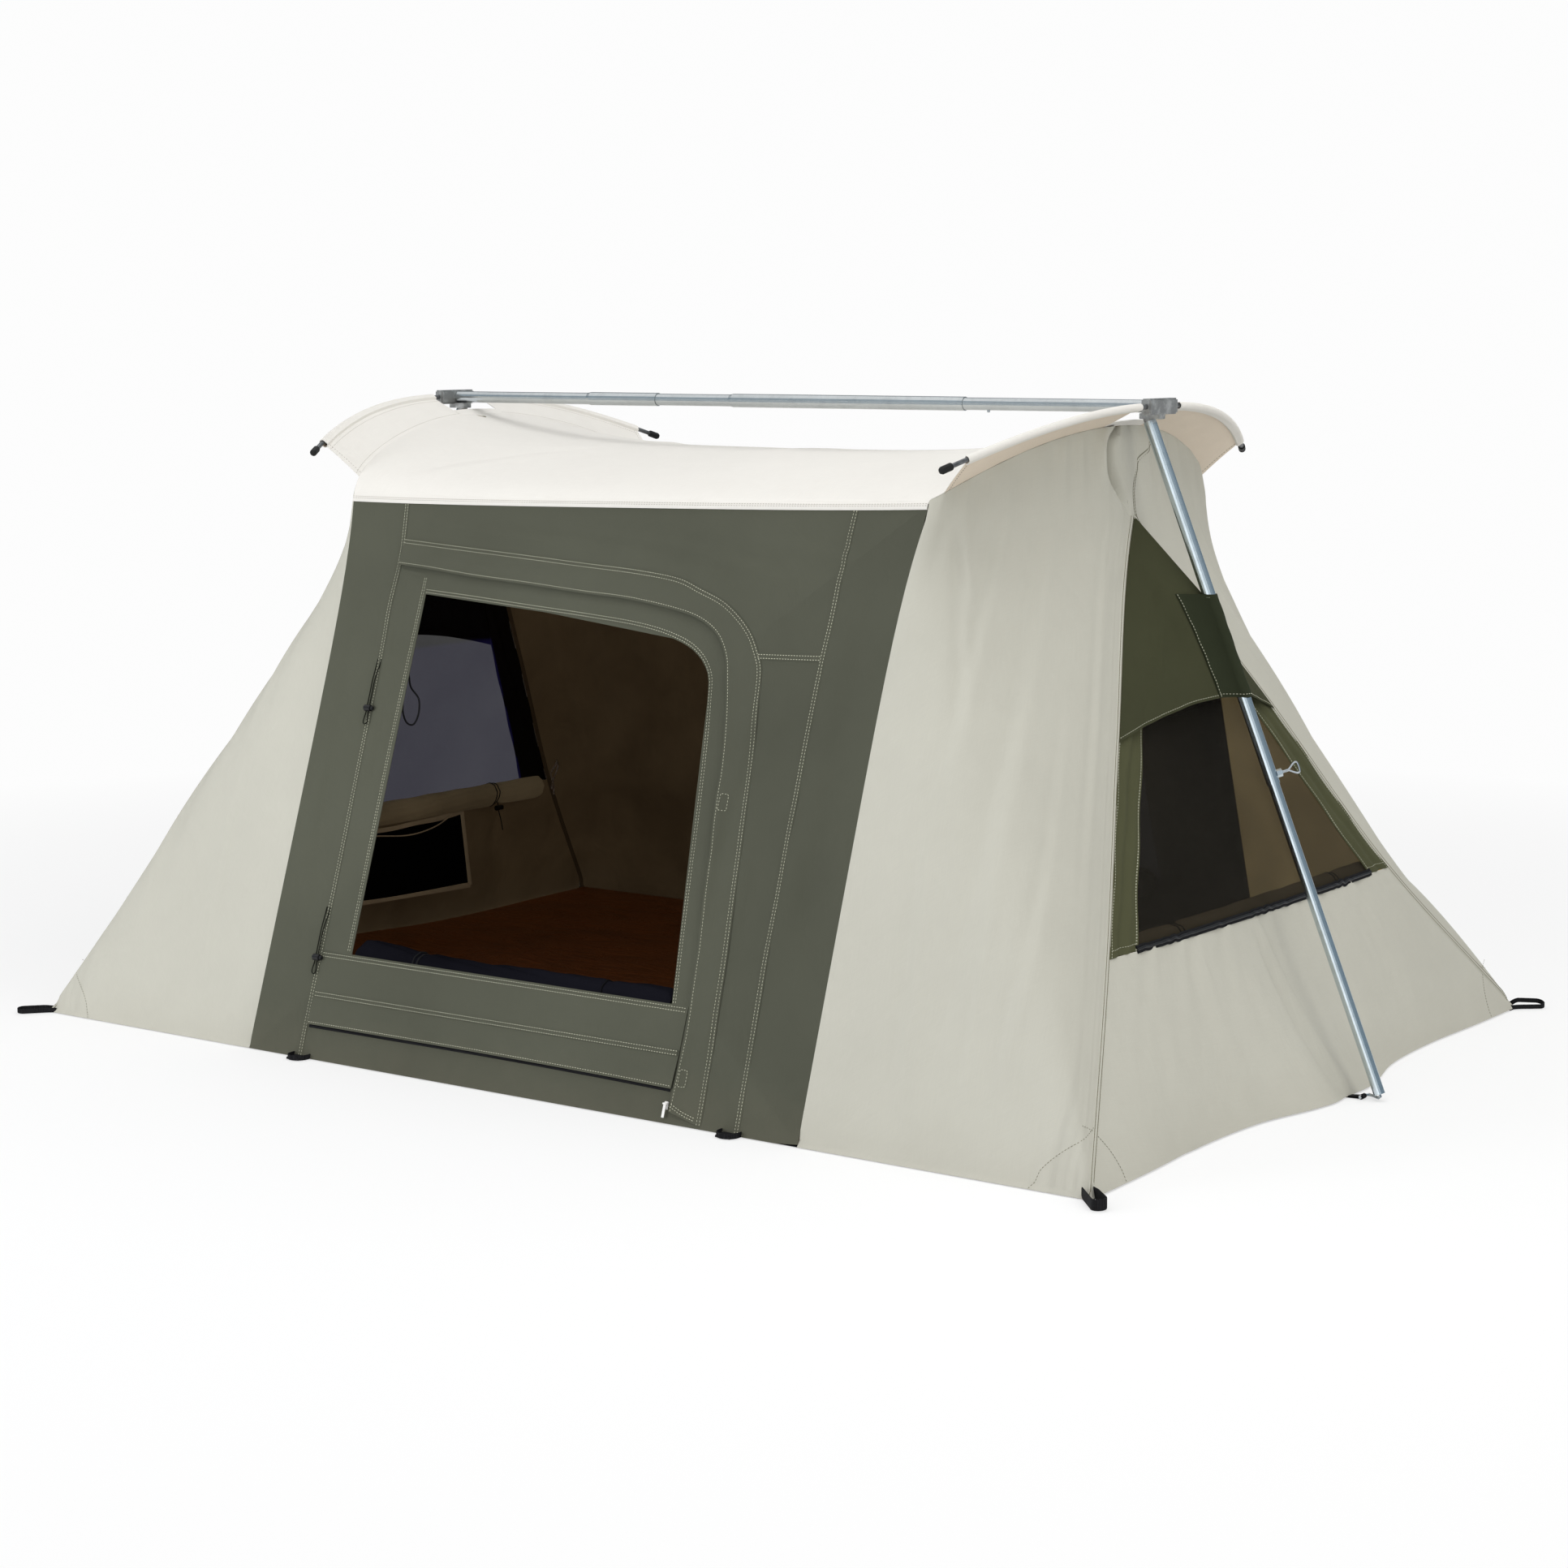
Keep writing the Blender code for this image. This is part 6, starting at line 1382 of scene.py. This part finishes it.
print("tent ends done")

# Floor, rolls and the screen of the rear door

def floorPlace(side, y):
    depth = tent["baseY"] * y
    reach = tent["baseX"] + hemReach(depth)
    rim = max(0.0, 1 - (1 - abs(side)) * reach / 0.020, 1 - (tent["baseY"] - abs(depth)) / 0.030)
    wrinkle = 0.5 + 0.5 * math.sin(side * 31 + depth * 9) * math.sin(depth * 23 + side * 5)
    height = 0.0014 + 0.0045 * wrinkle * (1 - min(1.0, rim * 2)) + 0.0028 * rim ** 1.5
    pull = 1 - 0.0062 * rim
    return reach * side * pull, depth * pull, height


floor = clothGrid("floor_cloth", surface(floorPlace, np.linspace(-1, 1, 111), np.linspace(-1, 1, 81)),
                  "floor", thick=0.0012, outward=(0, 0, -1), offset=1.0)
settle(floor, ["floor_sheet"])
declareCloth(floor)

rolls = dict(door=0.036, window=0.029, steps=72, corners=60)


def rollGrid(path, toward, radius, room, seed, ties, shape=None, flatten=0.8):
    rows = []
    for j, point in enumerate(path):
        t = j / (len(path) - 1)
        along = unit(path[min(j + 1, len(path) - 1)] - path[max(j - 1, 0)])
        up = unit(np.cross(toward, along))
        up *= np.sign(up[2])
        tie = 1.0 - 0.14 * sum(bell(t - at, 0.014) for at in ties)
        close = min(1.0, math.sqrt(max(0.0, 1 - abs(2 * t - 1) ** 18)) + 0.3)
        a = np.linspace(0.0, 2 * math.pi, rolls["corners"] + 1)
        swell = 1.0 - 0.025 * (1 + np.sin(5 * a + 6 * t + seed)) - 0.022 * np.sin(9 * a + 31 * t)
        swell -= 0.05 * bell(np.sin(a / 2 - 0.6 - 0.5 * math.sin(5 * t + seed)), 0.09)
        swell -= 0.018 * np.sin(57 * t + 3 * np.sin(a) + seed)
        row = (np.cos(a)[:, None] * flatten * toward + np.sin(a)[:, None] * up) * radius * tie * close
        row *= swell[:, None]
        low, high = shape(t) if shape else (0.0, 1.0)
        reach = (row @ toward).max() * high + cloth["half"] + room
        rows.append(point - toward * reach + row * high + up * low)
    return np.array(rows)


def makeRoll(name, grid, look, node, middle):
    piece = clothGrid(name, grid, look, thick=0.0010, outward=middle, merge=True, offset=-1.0)
    settle(piece, [node])


def thinCord(name, points, radius, look, sides=8, count=None):
    # A tube round a route, closed at both ends
    line = smoothLine(points, count or max(24, 6 * len(points)))
    run = unit(np.gradient(line, axis=0))
    side = np.cross(run[0], (0.31, 0.52, 0.79))
    rings = []
    for point, ahead, thick in zip(line, run, np.broadcast_to(radius, len(line))):
        side = unit(side - ahead * side.dot(ahead))
        other = np.cross(ahead, side)
        rings += [point + (side * math.cos(a) + other * math.sin(a)) * thick
                  for a in np.linspace(0, 2 * math.pi, sides, endpoint=False)]
    piece = drawn(name, rings, tubeFaces(len(line), sides), look)
    for face in piece.data.polygons:
        face.use_smooth = len(face.vertices) == 4
    return piece


def wrapLoops(grid, places, radius):
    # Cords drawn round a roll: the roll's own outline, a little outside it
    loops = []
    for at in places:
        row = grid[int(at * rolls["steps"])][:-1]
        middle = grid[int(at * rolls["steps"])].mean(axis=0)
        ring = list((row + unit(row - middle) * radius * 0.6)[::3])
        loops.append(thinCord("wrap", ring + ring[:1], radius, "blackCord"))
    return loops


def bunch(t):
    # How far the door's roll is lifted along its length
    return 0.010 * bell(t, 0.16) - 0.004 * bell(t - 0.35, 0.2) + 0.004 * bell(t - 0.95, 0.12), 1.0


for turn, label in ((1, "front"), (-1, "rear")):
    path = [turned(onWall(x, door["sill"] - 0.006), turn)
            for x in np.linspace(door["left"] + 0.006, door["footRight"] - 0.008, rolls["steps"] + 1)]
    toward = turned(np.array(wallOut), turn)
    grid = rollGrid(path, toward, rolls["door"], 0.0012, 0.7 * turn, (0.21, 0.80), bunch)
    makeRoll("door_roll_%s_cloth" % label, grid, "dark", "door_roll_" + label,
             path[36] - toward * 0.03)
    settle(joined("door_roll_ties_" + label, wrapLoops(grid, (0.205, 0.215, 0.795, 0.803), 0.0018)))

pocket = dict(x=1.135, top=0.302, foot=0.118, near=-0.22, wide=0.482)
pulls = dict(x=1.098, count=16, places=((0.575, 0.395, 0.0, 0.085), (0.566, 0.390, 1.4, 0.065)))
for signX, label in ends:
    z = tent["sillZ"] + 0.004
    path = [endPoint(-0.505 + 1.035 * t, z) * np.array((signX, 1, 1))
            for t in np.linspace(0, 1, rolls["steps"] + 1)]
    slope = (endX(z - 0.01) - endX(z + 0.01)) / 0.02
    toward = np.array((signX, 0.0, slope)) / math.hypot(1.0, slope)
    grid = rollGrid(path, toward, rolls["window"], 0.0040, signX * 1.1, (0.2, 0.84), flatten=0.85)
    makeRoll("window_roll_%s_cloth" % label, grid, "roll", "window_roll_" + label,
             path[36] - toward * 0.03)
    parts = wrapLoops(grid, (0.19, 0.205, 0.83, 0.845), 0.0013)
    for at in (0.2, 0.838):
        row = grid[int(at * rolls["steps"])]
        low = row[row[:, 2].argmin()] + np.array((-signX * 0.012, 0.0, 0.004))
        hang = [low + (-signX * x, y, z) for x, y, z in
                ((0, 0, 0), (0, 0.002, -0.020), (0.004, 0.006, -0.045), (0.004, 0.012, -0.070))]
        parts.append(thinCord("tail", hang, 0.0013, "blackCord"))
        cleared()
        bpy.ops.mesh.primitive_cylinder_add(vertices=20, radius=0.0065, depth=0.020,
                                            location=low + (-signX * 0.002, 0.002, -0.014),
                                            rotation=(math.radians(90), 0.0, 0.0))
        parts.append(bpy.context.object)
        parts[-1].data.materials.append(looks["blackPlastic"])
        bpy.ops.object.shade_smooth_by_angle(angle=math.radians(40))
    settle(joined("window_roll_ties_" + label, parts))

    # pocket that hangs under the window, bound in tan
    plumb = signX * pocket["x"]

    def pocketPlace(side, drop):
        belly = 0.010 * math.sin(math.pi * side) * math.sin(math.pi * drop) ** 0.6
        belly += 0.003 * math.sin(side * 17) * (1 - drop)
        sag = 0.010 * math.sin(math.pi * side) * (1 - drop)
        z = pocket["top"] + (pocket["foot"] - pocket["top"]) * drop - sag + 0.018 * (1 - side) * drop
        return plumb - signX * belly, pocket["near"] + (pocket["wide"] + 0.022 * drop) * side, z

    grid = surface(pocketPlace, np.linspace(0, 1, 49), np.linspace(0, 1, 25))
    flat = clothGrid("pocket_" + label, grid, "pocket", thick=0.0012, outward=(plumb * 2, 0, 0.2))
    parts = [ribbon("binding", line, np.array([(-signX, 0.0, 0.0)] * len(line)), 0.013, 0.0020,
                    "binding", sink=0.0020) for line in (grid[0], grid[:, -1], grid[-1], grid[:, 0])]
    route = [(plumb - signX * x, y, z) for x, y, z in ((0.008, -0.05, 0.284), (0.010, 0.06, 0.272),
                                                       (0.010, 0.15, 0.280), (0.006, 0.225, 0.303))]
    parts.append(thinCord("drawcord", route, 0.0016, "binding"))
    settle(flat)
    trim = settle(joined("pocket_binding_" + label, parts))
    declareCloth(flat, [trim])
    # pull ribbons of the window cover
    t = np.linspace(0, 1, pulls["count"])
    normals = np.stack([0 * t - signX, 0.15 * np.sin(4 * t), 0 * t + 0.1], axis=1)
    parts = []
    for y, z, seed, drop in pulls["places"]:
        line = np.stack([signX * (pulls["x"] - 0.004 * np.sin(6 * t + seed)),
                         y - 0.012 * t + 0.004 * np.sin(9 * t + seed), z - drop * t], axis=1)
        parts.append(ribbon("pull", line, normals, 0.0055, 0.0006, "whiteRibbon"))
    settle(joined("window_pull_" + label, parts))

inner, centre = np.array(doorOutline()), door["centre"]
flat = doorPanelGrid(*([tuple(centre + (p - centre) * share) for p in inner] for share in (0.00001, 1.004)),
                     centre)
mesh = clothGrid("rear_door_mesh", turned(wallPoints(flat, -0.0012), -1), "rearScreen", thick=cloth["mesh"],
                 merge=True, outward=(0, 0, 0.4))
mesh["wide"], mesh["tall"] = float(np.ptp(inner[:, 0])), float(np.ptp(inner[:, 1])) / wallUp.z
settle(mesh, ["rear_door_screen"])
declareCloth(mesh)
print("floor, rolls and screens done")

# Webbing under the long hems and at the leg feet
webbing = dict(tape=0.021, inset=0.0135, tabX=0.540, tabHalf=0.022, tabReach=0.031, loopReach=0.082,
               loopHalf=0.0130,
               loopHeights={(-1, -1): 0.0100, (1, -1): 0.0195, (-1, 1): 0.0095, (1, 1): 0.0095})


def tapeLoop(name, centre, direction, reach, half, height, flare=1.0, lift=0.0):
    # A webbing loop that stands on its edge, its ends sewn under the hem
    centre, direction = np.array(centre), unit(np.array(direction, dtype=float))
    across = np.array((-direction[1], direction[0]))
    bend = centre + direction * (reach - half)

    def straight(side):
        return [(centre + (bend - centre) * t + side * across * half * (flare + (1 - flare) * t),
                 side * across) for t in np.linspace(0, 1, 11)]

    turns = [direction * math.cos(a) + across * math.sin(a)
             for a in np.linspace(-math.pi / 2, math.pi / 2, 21)[1:-1]]
    path = straight(-1) + [(bend + turn * half, turn) for turn in turns] + straight(1)[::-1]
    # the far side is raised, as where stiff webbing is folded over
    far = across * (1 if across[1] > 0 else -1)
    line, normals = [], []
    for point, out in path:
        along, beside = (point - centre).dot(direction) / reach, (point - centre).dot(far) / (2 * half)
        raised = lift * (0.5 + beside) * fadeIn(along, 0.35) * (1.1 - 0.6 * along)
        line.append((*point, 0.0009 + height / 2 + raised))
        normals.append((*out, 0.0))
    return ribbon(name, np.array(line), np.array(normals), height, 0.0011, "webbing", sink=0.0011)


for signY, label in ((-1, "front"), (1, "rear")):
    half, edge = tent["baseX"] - 0.002, tent["baseY"]
    line = np.array([(x, signY * (edge - webbing["inset"]), 0.0010) for x in np.linspace(-half, half, 120)])
    up = np.array([(0.0, 0.0, 1.0)])
    parts = [ribbon("tape", line, np.repeat(up, len(line), axis=0), webbing["tape"], 0.0010, "webbing",
                    sink=0.0010)]
    for x in (-webbing["tabX"], webbing["tabX"]):
        parts.append(tapeLoop("tab", (x, signY * (edge - 0.002)), (0, signY), webbing["tabReach"],
                              webbing["tabHalf"], 0.0100))
        cap = [(x + side * 0.0165, signY * (edge + 0.012), 0.0035) for side in np.linspace(-1, 1, 9)]
        parts.append(ribbon("tab_web", np.array(cap), np.repeat(up, 9, axis=0), 0.030, 0.0022, "webbing",
                            sink=0.0022))
    for signX in (-1, 1):
        parts.append(tapeLoop("loop", (signX * (half - 0.012), signY * (edge - 0.012)), (signX, signY),
                              webbing["loopReach"], webbing["loopHalf"],
                              webbing["loopHeights"][(signX, signY)], 0.8, 0.003 if signY < 0 else 0.013))
    settle(joined("stake_webbing_%s_tape" % label, parts), ["stake_webbing_" + label])

for signX, label in ends:
    z, radius, barX = 0.0050, 0.0043, leg["footX"] - 0.038       # round the bar of the foot pin
    hemX = tent["baseX"] + tent["tabReach"]
    path = [(hemX - 0.024, 0.0008), (hemX - 0.008, 0.0008), (hemX + 0.002, 0.0010), (barX - 0.0085, 0.0016)]
    path += [(barX + radius * math.cos(a), z + radius * math.sin(a))
             for a in np.radians(np.linspace(-130, 130, 11))]
    path += [(barX - 0.0085, 0.0052), (hemX + 0.002, 0.0036), (hemX - 0.008, 0.0030)]
    line = np.array([(x * signX, -0.004, height) for x, height in path])
    normals = unit(np.cross(np.gradient(line, axis=0), np.array((0.0, 1.0, 0.0))))
    settle(ribbon("foot_strap_%s_webbing" % label, line, normals, 0.016, 0.0006, "webbing"),
           ["foot_strap_" + label])
print("webbing done")

# Thumbscrews: a threaded stem and a bent wire eye, which lies in the plane of the leg
screw = dict(along=0.739, start=0.0114, length=0.025, radius=0.0031, pitch=0.0015, wire=0.0020, turn=35.5,
             count=120, eye=[(-0.002, 0.0), (0.003, 0.0032), (0.010, 0.0085), (0.0160, 0.0108),
                             (0.0195, 0.0080), (0.0203, 0.0)])
for signX, label in ends:
    down = unit(np.array((signX * (leg["footX"] - leg["topX"]), 0.0, -leg["topZ"])))
    turn = math.radians(screw["turn"])
    axis = np.array((signX * math.cos(turn), math.sin(turn), 0.0))
    axis = unit(axis - down * axis.dot(down))
    root = np.array((signX * leg["topX"], 0.0, leg["topZ"])) + down * screw["along"] + axis * screw["start"]
    tip = root + axis * screw["length"]
    turns = np.linspace(0, screw["length"], screw["count"]) * 2 * math.pi / screw["pitch"]
    threads = screw["radius"] * (1.0 - 0.09 * (0.5 + 0.5 * np.cos(turns)))
    stem = thinCord("stem", [root, tip], threads, "steel", 14, screw["count"])
    eye = screw["eye"] + [(a, -b) for a, b in screw["eye"][-2::-1]]
    loop = thinCord("eye", [tip + axis * a + down * b for a, b in eye], screw["wire"], "steel", 10, 72)
    settle(joined("thumbscrew_%s_wire" % label, [stem, loop]), ["thumbscrew_" + label],
           label + "_thumbscrew")
print("thumbscrews done")

for group, look, slot in (("green", "paleThread", "door_canvas"), ("tan", "tanThread", "wall_canvas"),
                          ("cream", "creamThread", "roof_canvas")):
    makeStitches(group, "stitches_" + group, look)
print("stitches done")

# Finishes of the frame's own solids
nodeLooks = dict(ridgeSteel=("ridge_tube",), castAlloy=("ridge_casting",), legSteel=("leg_",),
                 steel=("ridge_button", "thumbscrew", "foot_pin"), spring=("bow_rod",), rubber=("bow_cap",),
                 blackPlastic=("cord_lock", "cord_plunger"), whitePlastic=("zip_slider", "zip_pull"))
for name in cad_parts:
    piece = bpy.data.objects.get(name)
    for look, starts in nodeLooks.items():
        if piece is not None and name.startswith(starts):
            for slot in piece.material_slots:
                slot.material = looks[look]
print("frame finishes done")

# Floor, light and background
studio = dict(floorSize=60.0, floorDrop=0.0005, worldLight=0.62, white=(0.98, 0.98, 0.98))


def floorMaterial():
    g = Graph("studio floor")
    x, y, _ = g.split(g.place())
    far = g.spread((x * x + y * y) ** 0.5, 1.9, 4.2)
    seen = g.ray("Camera").most(g.ray("Transmission"))
    lit = g.add("ShaderNodeBsdfDiffuse", None, (0.90, 0.90, 0.90, 1.0))
    white = g.add("ShaderNodeEmission", None, (*studio["white"], 1.0), 1.0)
    mixed = g.add("ShaderNodeMixShader", None, seen * (0.55 + far * 0.45), lit, white)
    g.add("ShaderNodeOutputMaterial", None, mixed)
    return g.owner


cleared()
bpy.ops.mesh.primitive_plane_add(size=studio["floorSize"], location=(0.0, 0.0, -studio["floorDrop"]))
ground = bpy.context.object
ground.name = "studio_floor"
ground.data.materials.append(floorMaterial())

world = bpy.data.worlds.new("studio")
g = Graph(world)
east, north, sky = g.split(g.add("ShaderNodeTexCoord"))
dome = [(0.0, (0.75,) * 3), (0.04, (0.60,) * 3), (0.12, (0.17,) * 3), (0.42, (0.27,) * 3),
        (0.60, (1.15,) * 3)]
# cards that stand round the tent, for the shine of the tubes
cards = [(0.0, (0.11, 0.15, 0.18)), (0.15, (0.12, 0.16, 0.20)), (0.22, (0.32, 0.41, 0.47)),
         (0.33, (0.45, 0.54, 0.60)), (0.39, (0.72, 0.79, 0.83)), (0.425, (1.9, 1.9, 1.9)),
         (0.485, (1.7, 1.7, 1.7)), (0.52, (0.55, 0.61, 0.66)), (0.58, (0.22, 0.30, 0.36)),
         (0.88, (0.18, 0.24, 0.29)), (1.0, (0.11, 0.15, 0.18))]
around = east.math("ARCTAN2", east * 0.814 + north * 0.581, east * 0.581 - north * 0.814)
around = around * (0.5 / math.pi) + 0.5
upright = 1.0 - g.spread(sky.math("ABSOLUTE", sky - 0.08), 0.35, 0.75)
card = g.mix(upright * 0.8, *(g.add("ShaderNodeValToRGB", {"stops": stops}, at)
                              for stops, at in ((dome, sky), (cards, around))))
ambient = g.mix(g.ray("Glossy"), (studio["worldLight"],) * 3, card)
seen = g.ray("Camera").most(g.ray("Transmission"))
g.add("ShaderNodeOutputWorld", None, g.add("ShaderNodeBackground", None,
                                           g.mix(seen, ambient, studio["white"]), 1.0))
bpy.context.scene.world = world

lamps = [("top light", (1.3, -0.6, 5.0), (0.1, 0.0, 0.6), (5.0, 4.0), 126.0, (0.98, 0.99, 1.0)),
         ("front light", (-3.0, -6.0, 1.3), (0.0, 0.0, 0.45), (3.0, 2.0), 172.0, (0.955, 0.975, 1.0)),
         ("end light", (6.5, -1.4, 3.0), (0.6, 0.0, 0.8), (2.5, 3.0), 56.0, (1.0, 0.985, 0.90)),
         ("right light", (4.4, -4.4, 2.6), (0.9, -0.6, 1.1), (2.0, 1.2), 17.0, (0.98, 0.985, 1.0))]
for name, place, toward, (wide, tall), power, color in lamps:
    data = bpy.data.lights.new(name, "AREA")
    data.shape = "RECTANGLE"
    data.size, data.size_y, data.energy, data.color = wide, tall, power, color
    lamp = linked(name, data)
    lamp.visible_glossy = False         # the cards make the shine
    lamp.location = place
    lamp.rotation_euler = (Vector(toward) - Vector(place)).to_track_quat("-Z", "Y").to_euler()

bpy.context.scene.view_settings.view_transform = "Standard"
